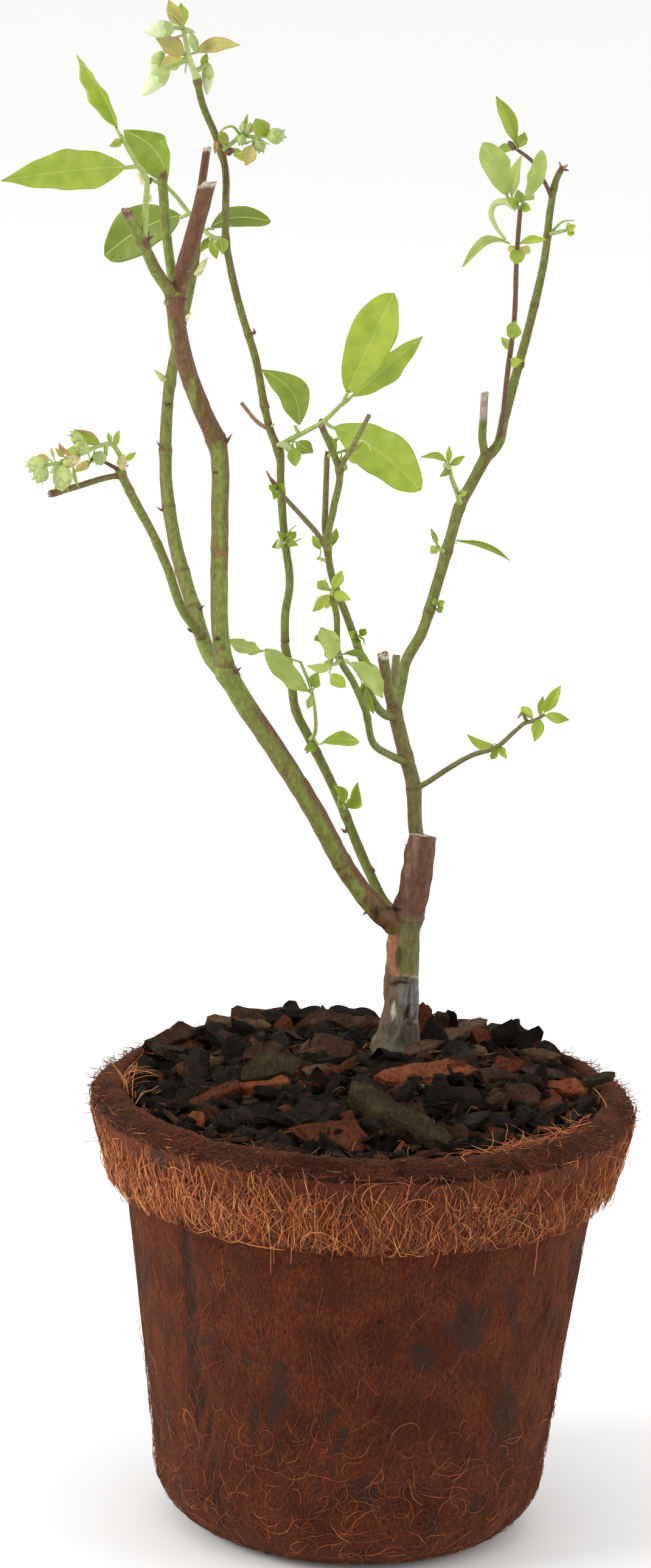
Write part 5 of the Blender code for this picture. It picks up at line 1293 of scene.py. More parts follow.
def crown_region():
    """The highest blossom, and the tuft beside it, on the middle leader."""
    region = Region()
    spray = Spray(region, "middle_leader",
                  [(-62.2, 453.1, -8), (-64.6, 459.0, -9), (-65.7, 463.7, -10),
                   (-66.7, 467.9, -11)], 1.9, 1.5, "pale")
    spray.bud((-69.8, 467.8, -14), (-77.8, 466.2, -18), 5.0, "corolla")
    spray.bud((-70.9, 455.7, -12), (-78.3, 447.4, -14), 5.0, "corolla")
    spray.bud((-72.8, 460.2, -4), (-76.0, 453.6, 0), 4.0, "corolla")
    spray.bud((-58.9, 457.4, -6), (-59.0, 448.3, -4), 3.5, "corolla")
    spray.bud((-64.4, 466.6, -15), (-62.6, 461.2, -15), 2.6, "shade")
    spray.leaf((-66.7, 467.9, -11), (-71.2, 476.0, -14), 4.6, "blush", fold=0.45, sway=-0.4)
    spray.leaf((-66.5, 467.9, -11), (-67.6, 475.2, -5), 3.8, "mid", fold=0.4)
    spray.leaf((-63.9, 460.3, -9), (-49.6, 463.4, -18), 4.6, "blush", turn=-20, sway=-1,
               edge="rose")
    spray.leaf((-65.2, 459.4, -9), (-75.0, 465.0, -16), 5.6, "blush", turn=15, fold=0.55,
               edge="rose")
    spray.leaf((-66.3, 459.6, -8), (-71.2, 462.2, -7), 2.0, "rose", fold=0.2)
    spray.leaf((-66.1, 459.0, -9), (-73.0, 456.2, -5), 5.0, "blush", fold=0.3)
    spray.leaf((-60.8, 455.6, -7), (-59.4, 460.6, -5), 2.4, "deep", fold=0.3)
    spray.strand([(-66.6, 465.7, -10), (-69.0, 464.9, -12), (-70.6, 463.9, -14)], 0.8)
    spray.strand([(-66.5, 468.0, -11), (-64.3, 467.4, -13), (-63.0, 466.5, -15)], 0.8)
    spray.strand([(-65.3, 458.1, -9), (-65.6, 455.9, -6), (-65.7, 454.3, -4)], 0.7)
    spray.strand([(-66.9, 468.9, -11), (-69.9, 471.7, -14), (-71.6, 472.4, -17)], 0.6)

    side = Spray(region, "middle_leader",
                 [(-53.1, 431.7, -2), (-50.1, 434.8, -4), (-48.2, 436.7, -5),
                  (-45.6, 436.2, -6), (-42.2, 436.4, -8), (-39.8, 436.5, -9)], 1.4, 1.0)
    side.bud((-47.9, 437.2, -5), (-47.4, 440.4, -6), 2.4, "bud")
    side.bud((-46.6, 437.0, -6), (-45.4, 439.8, -9), 2.2, "shade")
    side.bud((-47.6, 436.5, -6), (-48.4, 433.9, -9), 2.6, "calyx")
    side.bud((-40.6, 436.4, -9), (-35.6, 437.0, -11), 4.6, "calyx")
    side.bud((-43.4, 435.6, -8), (-42.0, 432.0, -6), 3.4, "shade")
    side.leaf((-47.5, 438.6, -6), (-46.6, 442.8, -7), 1.2, "mid")
    side.leaf((-52.2, 432.5, -3), (-54.8, 437.4, -8), 3.4, "mid", edge="rose")
    side.leaf((-40.6, 436.2, -8), (-44.2, 441.6, -12), 5.2, "mid", fold=0.4, edge="rose",
              blunt=True)
    side.leaf((-44.6, 434.4, -7), (-46.6, 427.4, -9), 4.4, "blush", fold=0.35, edge="rose")
    side.leaf((-44.4, 430.0, -6), (-50.4, 430.4, -3), 2.8, "mid", edge="blush")
    side.leaf((-51.9, 432.3, -2), (-46.8, 430.6, 2), 2.0, "mid")
    side.strand([(-48.7, 436.7, -5), (-51.0, 439.0, -7), (-53.5, 438.3, -9), (-55.3, 436.2, -10)], 0.9)
    side.strand([(-46.8, 434.0, -6), (-45.4, 434.8, -8), (-44.0, 435.6, -8)], 0.7)
    side.strand([(-43.7, 434.9, -8), (-41.4, 434.6, -9), (-39.7, 434.1, -11)], 0.7)
    side.strand([(-52.0, 431.4, -3), (-50.4, 432.0, -1)], 2.6, "brown")
    side.leaf((-55.6, 434.9, -2), (-56.0, 430.7, -6), 1.6, "rose")
    region.close("crown", ["crown_blossom", "side_blossom"], ["crown_blossom", "side_blossom"])


def middle_region():
    """The broad leaves, low leaves and small buds along the middle stem."""
    region = Region()
    spray = Spray(region, "middle_leader",
                  [(-33.5, 342.2, 8), (-30.4, 344.6, 7), (-26.8, 346.6, 5),
                   (-20.9, 350.2, 1), (-15.0, 356.1, -5)], 1.7, 1.2)
    spray.leaf((-27.6, 346.6, 5), (-39.5, 365.7, 12), 10.0, "deep", turn=15, sway=4.6, fold=0.2,
               wave=0.3)
    spray.leaf((-15.0, 355.8, -5), (-0.6, 390.5, -16), 14.4, "fresh", turn=-15, bow=-2,
               sway=-0.8, fold=0.25, wave=0.4, blunt=True, uneven=0.035)
    spray.leaf((-14.3, 356.5, -5), (8.5, 377.7, 6), 8.4, "mid", turn=25, bow=-1.5, fold=0.4,
               wave=0.5, sway=0.8, uneven=0.04)
    spray.leaf((-19.9, 350.6, 0), (10.1, 330.6, -14), 14.5, "mid", turn=-10, bow=1.5, sway=-1.8,
               fold=0.15, wave=0.8, waves=3.5, blunt=True, uneven=0.045)
    spray.leaf((-29.0, 344.0, 4), (-23.2, 340.8, 8), 5.0, "deep", turn=20, fold=0.3)
    spray.leaf((-29.4, 343.0, 5), (-28.4, 336.4, 4), 4.4, "mid", fold=0.4)
    spray.strand([(-30.3, 341.8, 6), (-32.2, 343.0, 4), (-34.1, 342.8, 2)], 2.6, "pale")
    spray.strand([(-20.7, 350.2, 2), (-21.3, 351.0, 3)], 2.6, "brown")

    low = Spray(region, "middle_stem",
                [(-20.9, 251.2, 17), (-20.2, 252.0, 13), (-19.4, 253.4, 9),
                 (-19.4, 258.8, 4), (-21.5, 268.6, 1), (-24.6, 275.6, 0)], 1.4, 1.0)
    low.leaf((-20.5, 265.4, 2), (-35.5, 279.3, -4), 7.0, "young", turn=15, sway=-1.0, fold=0.35,
             wave=0.8, waves=3, twist=25, uneven=0.08, blunt=True)
    low.leaf((-34.8, 278.4, -3), (-47.0, 281.9, -8), 4.6, "young", turn=10, sway=-0.6, fold=0.3,
             wave=1.3, waves=2.6, twist=70, uneven=0.08)
    low.leaf((-20.2, 267.3, 2), (-19.1, 272.7, -1), 4.2, "mid", turn=-20, fold=0.5)
    low.leaf((-20.7, 266.1, 2), (-21.8, 261.1, 4), 2.2, "young", fold=0.6)
    low.leaf((-18.4, 250.1, 11), (-5.7, 251.2, 4), 4.6, "mid", turn=-15, sway=-1.4, blunt=True)
    low.leaf((-18.4, 250.1, 12), (-22.4, 248.0, 9), 3.2, "deep")
    low.strand([(-19.0, 250.3, 16), (-20.2, 248.9, 14), (-21.7, 247.1, 12)], 1.2, "brown")

    curl = Spray(region, "middle_stem", [(-12.0, 233.4, 21), (-9.0, 233.3, 15)], 1.3, 1.1)
    curl.leaf((-9.4, 229.6, 16), (-5.6, 238.3, 12), 4.4, "mid", sway=2.0, fold=0.7, curl=0.4)
    curl.leaf((-9.8, 230.4, 15), (-12.9, 237.2, 11), 3.4, "fresh", sway=1.5, fold=0.6)
    curl.leaf((-9.2, 230.0, 16), (-6.7, 233.0, 20), 2.6, "deep")
    curl.strand([(-10.5, 230.0, 20), (-11.3, 231.9, 18), (-10.9, 233.8, 17)], 0.8)

    buds = Spray(region, "middle_leader", [(-30.8, 313.3, 12), (-30.2, 313.5, 7)], 1.3, 1.1)
    buds.leaf((-30.4, 313.3, 10), (-34.6, 311.1, 6), 3.0, "mid")
    buds.leaf((-30.4, 313.7, 10), (-27.5, 316.1, 5), 3.0, "mid", edge="blush")
    buds.leaf((-30.2, 313.1, 8), (-26.7, 312.0, 2), 2.6, "deep")
    buds.leaf((-30.8, 313.9, 9), (-33.1, 316.2, 4), 2.2, "mid")
    buds.strand([(-30.1, 313.7, 8), (-27.8, 313.2, 4), (-25.6, 314.3, 0)], 0.7)
    buds.strand([(-30.3, 314.3, 8), (-29.2, 316.6, 5), (-27.6, 318.2, 3)], 0.7)
    buds.strand([(-31.2, 313.3, 10), (-32.4, 312.3, 6), (-33.1, 310.8, 5)], 2.4, "pale")

    buds = Spray(region, "middle_leader", [(-32.5, 329.9, 10), (-34.0, 330.2, 6)], 1.3, 1.1)
    buds.leaf((-33.6, 328.7, 6), (-36.2, 330.3, 2), 2.8, "fresh")
    buds.leaf((-33.4, 328.9, 6), (-32.0, 330.8, 1), 3.4, "fresh", fold=0.4)
    buds.leaf((-33.6, 328.3, 7), (-34.6, 326.0, 3), 2.8, "mid")
    buds.leaf((-33.8, 329.2, 6), (-35.3, 331.6, 4), 1.6, "dusk")
    buds.strand([(-33.6, 329.1, 6), (-35.3, 331.4, 4), (-37.1, 334.6, 3)], 1.1, "red")
    region.close("middle", ["middle_shoot_leaves", "low_leaves", "low_curl", "mid_low_buds",
                            "mid_high_buds"])


def inner_region():
    """The small leaves and pale shoots on the inner and low twigs."""
    region = Region()
    buds = Spray(region, "inner_twig", [(-8.3, 284.2, 6), (-6.8, 284.4, 1)], 1.3, 1.1)
    buds.leaf((-7.4, 284.2, 4), (-10.2, 285.7, -1), 2.8, "mid")
    buds.leaf((-7.0, 284.4, 4), (-5.1, 286.8, 0), 2.6, "fresh")
    buds.leaf((-7.4, 283.9, 4), (-8.2, 281.2, 0), 2.8, "deep")
    buds.strand([(-7.0, 284.3, 4), (-5.5, 283.2, 0), (-5.1, 281.7, -2)], 0.8)

    tip = Spray(region, "inner_side_twig",
                [(-18.9, 339.9, -17), (-17.4, 340.8, -17.5), (-15.2, 341.2, -17),
                 (-13.0, 342.2, -16)], 1.1, 0.9)
    tip.leaf((-16.0, 341.0, -17), (-18.6, 346.6, -22), 2.4, "mid")
    tip.leaf((-14.6, 341.4, -17), (-8.2, 344.5, -20), 2.6, "deep", edge="blush", sway=1)
    tip.leaf((-13.6, 341.8, -16), (-9.2, 338.0, -12), 2.6, "mid")
    tip.leaf((-14.6, 341.0, -17), (-14.0, 335.0, -12), 3.4, "fresh")
    tip.strand([(-12.3, 343.2, -17), (-9.4, 345.0, -19), (-6.8, 344.4, -20), (-5.6, 342.0, -20)], 0.9, "pale")
    tip.strand([(-16.9, 343.8, -18), (-15.9, 345.5, -20), (-14.4, 345.2, -21)], 1.4, "stem")

    leafy = Spray(region, "inner_twig", [(-17.0, 307.4, -11), (-20.6, 308.2, -9)], 1.1, 0.9)
    leafy.leaf((-19.6, 310.5, -9), (-22.3, 315.2, -7), 2.8, "mid", edge="blush")
    leafy.leaf((-16.4, 311.6, -12), (-15.2, 317.7, -13), 2.6, "mid")

    top = Spray(region, "low_twig", [(-15.6, 296.0, -20), (-15.9, 298.4, -20.5)], 1.4, 1.0)
    top.leaf((-15.9, 297.6, -20), (-21.4, 291.6, -25), 3.6, "mid", turn=10, edge="blush")
    top.leaf((-15.7, 298.0, -20), (-13.0, 304.6, -17), 3.6, "fresh", turn=-15)
    top.leaf((-15.8, 297.7, -20), (-10.0, 295.7, -25), 3.4, "mid")
    top.leaf((-15.9, 297.9, -20), (-20.4, 300.8, -15), 3.2, "deep")
    top.leaf((-15.9, 297.4, -20), (-17.4, 292.6, -17), 2.8, "mid")
    top.strand([(-15.7, 298.4, -20), (-17.7, 299.8, -22), (-18.1, 302.1, -24)], 0.8)

    middle = Spray(region, "low_twig",
                   [(-12.5, 277.0, -14), (-13.6, 275.6, -17), (-15.4, 275.2, -20)], 1.4, 1.0)
    middle.leaf((-15.0, 275.0, -19), (-18.7, 286.7, -24), 6.4, "young", turn=15, sway=1.2, fold=0.5,
                wave=0.7, uneven=0.09, blunt=True, twist=30)
    middle.leaf((-18.4, 283.8, -23), (-20.7, 282.6, -25), 2.4, "young", fold=0.5)
    middle.leaf((-14.3, 275.2, -20), (-22.5, 274.5, -25), 3.0, "young", turn=-10, fold=0.5, sway=-0.8)
    middle.leaf((-15.7, 272.5, -19), (-10.5, 268.3, -23), 4.2, "mid", turn=10, blunt=True)
    middle.leaf((-13.1, 278.3, -18), (-2.7, 275.3, -22), 2.6, "dusk", turn=-10, sway=-2.4, fold=0.4)
    middle.leaf((-14.6, 276.7, -20), (-17.8, 274.3, -16), 2.2, "mid")

    pale = Spray(region, "low_twig",
                 [(-11.9, 276.6, -13), (-10.6, 276.4, -8), (-8.6, 275.2, -3)], 1.3, 1.0, "pale")
    pale.leaf((-10.8, 276.9, -3), (1.0, 265.3, 2), 7.0, "young", turn=-25, bow=1.5, sway=-1.2,
              fold=0.35, wave=0.5)
    pale.leaf((-5.7, 270.2, -5), (-4.2, 264.5, -2), 2.6, "mid")
    pale.leaf((-4.6, 269.5, -4), (-1.6, 260.4, 0), 2.8, "deep", sway=0.6)
    region.close("inner", ["inner_low_buds", "inner_tip_leaves", "low_twig_tip_leaves",
                           "low_twig_leaves", "pale_leaves"])


def right_region():
    """The twigs, small leaves and tall young shoots on the right limbs."""
    region = Region()
    low = Spray(region, "right_stem",
                [(11.6, 236.7, 29), (16.1, 239.5, 25), (22.5, 244.2, 18), (29.0, 248.3, 11),
                 (36.9, 251.5, 2), (42.1, 256.6, -4), (45.0, 259.2, -8), (48.1, 260.2, -11),
                 (50.6, 262.1, -13)], 1.9, 1.2, "olive")
    low.leaf((50.3, 261.9, -13), (55.3, 271.3, -20), 3.8, "fresh")
    low.leaf((50.4, 261.8, -13), (58.4, 260.7, -8), 3.4, "mid")
    low.leaf((49.6, 261.2, -12), (48.2, 253.5, -18), 4.0, "mid")
    low.leaf((47.7, 260.2, -11), (43.6, 264.2, -6), 3.2, "mid")
    low.leaf((49.4, 261.2, -12), (50.0, 267.8, -7), 2.4, "deep")
    low.leaf((36.9, 251.9, 2), (27.4, 254.8, -4), 3.0, "mid", turn=10, sway=-1.5)
    low.leaf((37.6, 252.0, 1), (35.2, 247.4, 6), 2.4, "deep")
    low.leaf((37.3, 251.6, 2), (39.9, 247.8, -3), 2.4, "mid")
    low.strand([(45.5, 259.6, -9), (43.9, 262.2, -11), (42.7, 260.6, -13)], 1.2)
    low.strand([(52.4, 264.8, -12), (54.5, 267.2, -8), (55.3, 270.1, -4)], 0.9)

    node = Spray(region, "right_leader",
                 [(18.6, 311.8, 49), (17.0, 312.2, 46), (16.0, 313.3, 42)], 1.5, 1.1)
    node.leaf((16.0, 313.5, 42), (13.7, 318.7, 38), 1.8, "mid")
    node.leaf((16.1, 313.1, 42), (13.9, 311.5, 36), 3.0, "mid")
    node.strand([(15.8, 313.5, 42), (14.8, 315.7, 40), (13.5, 318.7, 38)], 0.8)
    node.strand([(15.3, 312.3, 44), (13.8, 311.5, 40)], 2.6, "cream")

    long = Spray(region, "right_leader", [(18.6, 313.4, 49), (18.6, 314.6, 55), (19.8, 315.6, 58)],
                 1.3, 1.0)
    long.leaf((19.4, 315.2, 57), (38.0, 309.8, 66), 2.2, "deep", turn=20, sway=-2.2)

    buds = Spray(region, "right_leader", [(16.0, 295.8, 47), (17.4, 294.9, 42)], 1.3, 1.1)
    buds.leaf((16.6, 294.9, 42), (18.7, 296.3, 38), 2.6, "mid")
    buds.leaf((16.8, 294.7, 42), (18.0, 292.9, 38), 2.6, "deep")
    buds.leaf((16.6, 295.1, 42), (15.5, 297.0, 40), 2.0, "fresh")

    inner = Spray(region, "right_leader",
                  [(22.3, 326.4, 50), (20.8, 330.8, 43), (19.1, 334.9, 38), (18.2, 338.9, 34)],
                  1.8, 1.3)
    inner.leaf((18.4, 338.6, 34), (9.5, 340.7, 28), 2.4, "mid", sway=1.8)
    inner.leaf((18.2, 338.7, 34), (18.0, 344.4, 38), 2.0, "fresh")
    inner.leaf((18.4, 338.4, 34), (22.9, 341.6, 30), 2.4, "mid")
    inner.leaf((18.6, 337.4, 35), (15.6, 335.0, 30), 2.4, "deep")
    inner.leaf((21.2, 329.6, 44), (24.0, 330.6, 37), 2.4, "mid")
    inner.strand([(17.9, 337.9, 34), (16.7, 338.9, 32)], 2.4, "pale")

    twin = Spray(region, "right_top",
                 [(33.2, 347.6, 51), (33.9, 353.1, 45), (34.7, 367.5, 34), (36.0, 383.4, 24),
                  (35.9, 404.7, 14), (36.3, 417.6, 9)], 1.8, 1.4, "brown")
    twin.leaf((36.0, 377.6, 27), (36.2, 383.4, 20), 4.8, "mid", blunt=True)
    twin.leaf((35.6, 374.6, 29), (32.4, 378.4, 34), 2.6, "mid")
    twin.leaf((35.0, 370.5, 32), (39.0, 371.6, 26), 3.2, "fresh")
    twin.leaf((35.7, 406.5, 13), (19.7, 399.4, 2), 3.0, "young", turn=15, sway=4.2, blunt=True)
    twin.leaf((35.8, 406.7, 13), (44.6, 408.6, 7), 2.6, "mid", sway=-0.8)
    twin.leaf((36.2, 406.4, 14), (35.9, 400.8, 9), 4.8, "mid", fold=0.4, blunt=True)
    twin.leaf((36.4, 406.0, 15), (40.0, 404.9, 18), 2.8, "blush", fold=0.3)
    twin.leaf((36.1, 406.0, 15), (33.0, 405.1, 18), 2.6, "blush", fold=0.3)
    twin.strand([(35.0, 417.9, 10), (31.4, 419.6, 12), (28.4, 418.6, 13), (27.6, 416.0, 13),
                 (29.4, 411.6, 13), (32.3, 408.1, 13)], 2.2, "pale")
    twin.leaf((33.1, 419.5, 9), (24.2, 437.1, 1), 8.4, "young", turn=15, bow=-1.5, sway=1.0, blunt=True,
              wave=0.4)
    twin.leaf((33.4, 419.9, 9), (36.1, 433.9, 15), 4.4, "young", turn=-35, sway=-0.8, fold=0.5)
    twin.leaf((37.1, 419.5, 9.5), (42.0, 435.6, 12), 5.6, "young", turn=25, sway=0.8, fold=0.35, wave=0.4,
              blunt=True)
    twin.leaf((36.4, 418.5, 10), (39.4, 417.5, 4), 3.0, "mid", blunt=True)
    twin.leaf((36.7, 419.1, 10), (35.3, 423.3, 6), 3.2, "young", fold=0.5)
    twin.leaf((35.7, 418.7, 10.5), (32.3, 420.6, 4), 3.4, "mid", fold=0.5)
    twin.leaf((37.4, 420.0, 10.5), (39.9, 422.3, 14), 3.0, "young", fold=0.5)

    tip = Spray(region, "right_top",
                [(45.6, 421.4, 39), (43.4, 425.6, 36), (39.5, 431.7, 33), (33.8, 435.9, 29)],
                1.3, 1.1, "brown")
    tip.leaf((34.4, 435.7, 29), (27.6, 451.1, 23), 5.0, "fresh", turn=15, sway=0.8)
    tip.leaf((34.6, 435.4, 29), (36.6, 440.6, 25), 3.6, "mid")
    tip.leaf((34.2, 435.6, 29), (29.0, 435.8, 34), 2.8, "deep")
    tip.strand([(33.9, 435.8, 29), (31.8, 437.6, 30)], 2.4, "brown")

    top = Spray(region, "right_top", [(45.1, 410.2, 40), (50.2, 411.6, 36)], 1.3, 1.1)
    top.leaf((50.3, 411.7, 36), (53.1, 413.1, 32), 3.0, "mid", edge="blush")
    top.leaf((50.5, 411.7, 36), (52.9, 410.7, 32), 2.6, "mid")
    top.leaf((50.1, 411.9, 36), (51.7, 413.4, 40), 2.2, "deep")
    top.strand([(46.4, 411.4, 40), (49.4, 414.3, 38), (52.7, 414.7, 36)], 0.8)
    top.strand([(48.3, 430.0, 38), (49.9, 431.5, 37)], 1.0, "dry")
    top.strand([(48.3, 430.0, 38), (47.3, 432.2, 38)], 1.0, "dry")
    top.strand([(48.3, 430.0, 38), (50.3, 429.7, 39)], 0.9, "brown")
    region.close("right", ["right_twig_leaves", "right_node_leaves", "right_long_leaf",
                           "right_low_buds", "right_inner_leaves", "twin_twig_leaves",
                           "right_tip_leaves", "right_top_buds"])


# Pot


def wall_radius(height):
    """The wall's outer radius: a cone on a rounded foot, wider behind the collar."""
    height = np.asarray(height, float)
    drop = np.clip(FOOT_ROUND - height, 0.0, FOOT_ROUND)
    foot = WALL_FOOT_RADIUS - FOOT_ROUND + np.sqrt(FOOT_ROUND**2 - drop**2)
    share = (height - FOOT_ROUND) / (HEM_HEIGHT - FOOT_ROUND)
    cone = WALL_FOOT_RADIUS + (WALL_TOP_RADIUS - WALL_FOOT_RADIUS) * share
    share = (height - HEM_HEIGHT) / (LIP_HEIGHT - HEM_HEIGHT)
    flare = WALL_TOP_RADIUS + (LIP_RADIUS + LIP_DEPTH - WALL_TOP_RADIUS) * share
    return np.where(height < FOOT_ROUND, foot, np.where(height < HEM_HEIGHT, cone, flare))


def collar_radius(height):
    """The collar's outer radius between its hem and its rim."""
    share = np.clip((np.asarray(height) - HEM_HEIGHT) / (RIM_HEIGHT - HEM_HEIGHT), 0, 1)
    return HEM_RADIUS + (RIM_RADIUS - HEM_RADIUS) * share**1.1


def resample(profile, step):
    """Points about one step apart along a profile of (radius, height)."""
    profile = np.array(profile)
    spans = np.linalg.norm(np.diff(profile, axis=0), axis=1)
    run = np.concatenate([[0], np.cumsum(spans)])
    count = max(2, round(run[-1] / step))
    at = np.linspace(0, run[-1], count + 1)
    return np.stack([np.interp(at, run, profile[:, 0]), np.interp(at, run, profile[:, 1])], -1)


def turned(profile, sides, relief):
    """Points turned about the axis and moved along their outward side by a relief."""
    profile = np.array(profile)
    slope = np.gradient(profile, axis=0)
    outward = unit(np.stack([slope[:, 1], -slope[:, 0]], -1))
    turns = full_turn(sides)
    circle = np.stack([np.cos(turns), np.sin(turns)], -1)
    points, normals = (
        np.concatenate([flat[:, None, :1] * circle, np.repeat(flat[:, None, 1:], sides, axis=1)], -1)
        for flat in (profile, outward))
    return points + normals * relief(points)[..., None]


# Marks on the pot's front: place, half width, half height and lean to the right
CREASE = [((-53.5, 90.0), 1.4, 11, 0.08), ((-52.6, 80.0), 1.4, 11, 0.08), ((-51.5, 67.9), 1.5, 12, 0.08),
          ((-50.1, 55.9), 1.5, 12, 0.10), ((-48.6, 44.8), 1.4, 11, 0.12), ((-46.9, 33.7), 1.2, 11, 0.14),
          ((-45.0, 22.5), 1.1, 10, 0.16), ((-42.9, 12.4), 1.0, 9, 0.18), ((-40.9, 2.9), 0.9, 7, 0.20),
          ((-39.3, -4.9), 0.9, 4, 0.2)]
WALL_SMUDGES = [
    ((-28.9, 59.4), 1.7, 2.0, 0.0), ((-34.0, 51.5), 1.4, 4.5, -0.3), ((-22.6, 38.7), 5.5, 11.4, 0.0),
    ((-30.2, 30.3), 1.9, 9.6, 0.0), ((-17.7, 67.3), 0.9, 2.8, 0.2), ((-2.2, 23.9), 2.4, 6.6, 0.35),
    ((-6.8, 32.3), 2.6, 3.6, 0.6), ((4.7, 7.6), 6.2, 6.7, 0.0), ((-9.1, 10.3), 1.2, 7.8, 0.2),
    ((-5.1, 12.9), 1.0, 6.6, -0.3), ((-42.2, 71.3), 1.3, 1.2, 0.0), ((-39.2, 78.1), 1.4, 1.4, 0.0),
    ((-24.4, 17.3), 4.1, 1.4, -0.6), ((-47.0, 55.0), 3.1, 3.1, 0.5), ((34.8, 64.0), 8.4, 10.8, 0.1),
    ((49.2, 70.0), 2.9, 15.6, -0.25), ((63.2, 67.0), 3.4, 5.0, 0.0), ((69.6, 86.0), 2.9, 13.2, 0.1),
    ((7.9, 4.9), 5.5, 5.8, 0.0), ((42.6, 3.8), 5.8, 4.3, 0.0), ((27.8, -3.8), 3.4, 6.6, 0.0),
    ((48.7, 31.3), 5.3, 14.4, 0.05), ((23.1, 52.8), 6.0, 4.8, 0.0), ((-57.7, 29.2), 1.9, 7.2, 0.1),
    ((-20.1, 81.3), 3.1, 1.9, 0.2), ((-39.3, 53.3), 1.5, 1.8, 0.0), ((-52.2, 6.9), 2.6, 3.8, 0.3),
    ((-66.8, 75.4), 2.6, 9.6, 0.1), ((-65.1, 49.2), 2.2, 6.0, 0.0)]
COLLAR_SMUDGES = [
    ((-62.9, 114.6), 3.4, 5.5, -0.3), ((-75.0, 125.0), 2.0, 3.5, 0.0), ((-29.7, 108.0), 2.0, 3.0, 0.0),
    ((20.4, 119.0), 3.0, 3.0, 0.0), ((59.1, 124.5), 2.5, 4.5, 0.0), ((74.0, 131.1), 2.5, 4.5, 0.0)]


def front_marks(points, marks):
    """A mask from marks placed as the photograph shows them, on the front only, with
    edges frayed along the fibres."""
    across, up = picture(points)
    fray = grain(points * (1, 1, 0.3), 0.0022, 71) + 0.6 * grain(points, 0.0045, 72)
    mask = np.zeros(points.shape[:-1])
    for place, wide, high, lean in marks:
        x = across - place[0]
        y = up - place[1]
        gap = np.hypot((x - lean * y) / wide, y / high)
        mask = np.maximum(mask, ramp(1.3 - gap + 0.45 * fray, 0.0, 1.0))
    return mask * (points[..., 1] < 0)


def coir_look(name, dark, mid, light, size, mark_colour=(0.024, 0.017, 0.0135)):
    """Pressed coir: fine fibres and clouds, near-black dots of painted shade where its pits are, and a darker
    colour where marked: smudges, damp patches on the lip, and painted shade in the wall's crease.
    """
    look = Look(name, mid, 0.95, Specular_IOR_Level=0.03, Sheen_Weight=0.18, Sheen_Roughness=0.5)
    look.shader.inputs["Sheen Tint"].default_value = (0.80, 0.36, 0.20, 1.0)
    strand = look.noise(look.place((1.0, 1.0, 0.35)), size, 6.0)
    tangle = look.noise(look.place(), size * 1.3, 6.0)
    cloud = look.noise(look.place(), COIR_CLOUD_SIZE, 4.0)
    pit_shade = look.noise(look.place((1.0, 1.0, 0.8)), COIR_PIT_SIZE, 2.0)
    base = look.mix(look.band(strand, 0.30, 0.70), dark, light)
    base = look.mix(look.band(tangle, 0.42, 0.66, 0.0, 0.8), base, mid)
    base = look.mix(look.band(cloud, 0.40, 0.64, 0.0, 0.65), base, dark)
    # Painted shade: near-black dots where the coir has pits.
    base = look.mix(look.band(pit_shade, 0.30, 0.24, 0.0, 0.9), base, (0.008, 0.005, 0.004))
    # Darker where the tint attribute marks the skin: smudges, damp patches, and painted shade in the wall's
    # crease.
    mark = look.times(look.attribute("tint"), look.band(tangle, 0.30, 0.62, 1.20, 0.60))
    base = look.mix(look.band(mark, 0.28, 0.72, 0.0, 0.84), base, mark_colour)
    look.colour(base)
    look.bump(look.times(strand, tangle), COIR_BUMP)
    return look.made


def wall_relief(points):
    """How far the wall's skin stands out: streaks, lumps, pits and the crease."""
    streaks = grain(points * (1, 1, 0.14), 0.0016, 11) + 0.7 * grain(points * (1, 1, 0.2), 0.0035, 12)
    lumps = grain(points, 0.012, 13) + 0.6 * grain(points, 0.03, 14)
    pits = ramp(grain(points * (1, 1, 0.6), 0.0028, 15), 0.62, 0.85)
    flat = ramp(points[..., 2], 0.0, 0.003)
    crease = front_marks(points, CREASE)
    rise = streaks * WALL_STREAK_HEIGHT + lumps * WALL_LUMP_HEIGHT
    return (rise - pits * WALL_PIT_DEPTH - crease * CREASE_DEPTH) * flat


def pot_wall():
    """The pressed coir wall, streaked and pitted, with a crease down its front left."""
    foot = np.linspace(-math.pi / 2, 0, 9)
    corner = WALL_FOOT_RADIUS - FOOT_ROUND
    outside = [(AXIS_GAP, 0.0), (corner * 0.5, 0.0)]
    outside += [(corner + FOOT_ROUND * math.cos(a), FOOT_ROUND + FOOT_ROUND * math.sin(a)) for a in foot]
    outside += [(float(wall_radius(h)), h) for h in (0.05, 0.08, HEM_HEIGHT, WALL_TOP_HEIGHT)]
    inside = [(float(wall_radius(h)) - WALL_THICKNESS, h)
              for h in (WALL_TOP_HEIGHT, HEM_HEIGHT, 0.03, 0.012)]
    inside += [(0.02, FLOOR_TOP), (AXIS_GAP, FLOOR_TOP)]
    rows = np.concatenate([resample(outside, WALL_ROW), resample(inside, INSIDE_ROW)])
    verts = turned(rows, WALL_SIDES, wall_relief)
    # The wall's marks are its smudges, and its crease, darkened with the same grey-black as painted shade in
    # the groove.
    dark_marks = np.maximum(front_marks(verts, WALL_SMUDGES), 1.6 * front_marks(verts, CREASE))
    wild = ramp(grain(verts * (1, 1, 0.5), 0.013, 16) + 0.5 * grain(verts, 0.004, 17), 0.50, 1.0)
    dark_marks = np.maximum(dark_marks, 0.5 * wild)
    heap = Heap({"wall": coir_look("coir_wall", (0.034, 0.009, 0.005), (0.070, 0.0165, 0.0075),
                                   (0.140, 0.034, 0.013), 0.0006)})
    heap.skin(verts, "wall", np.repeat(dark_marks[..., None], 3, axis=-1))
    heap.close("pot_wall_coir", "coir_wall", "pot_shell")


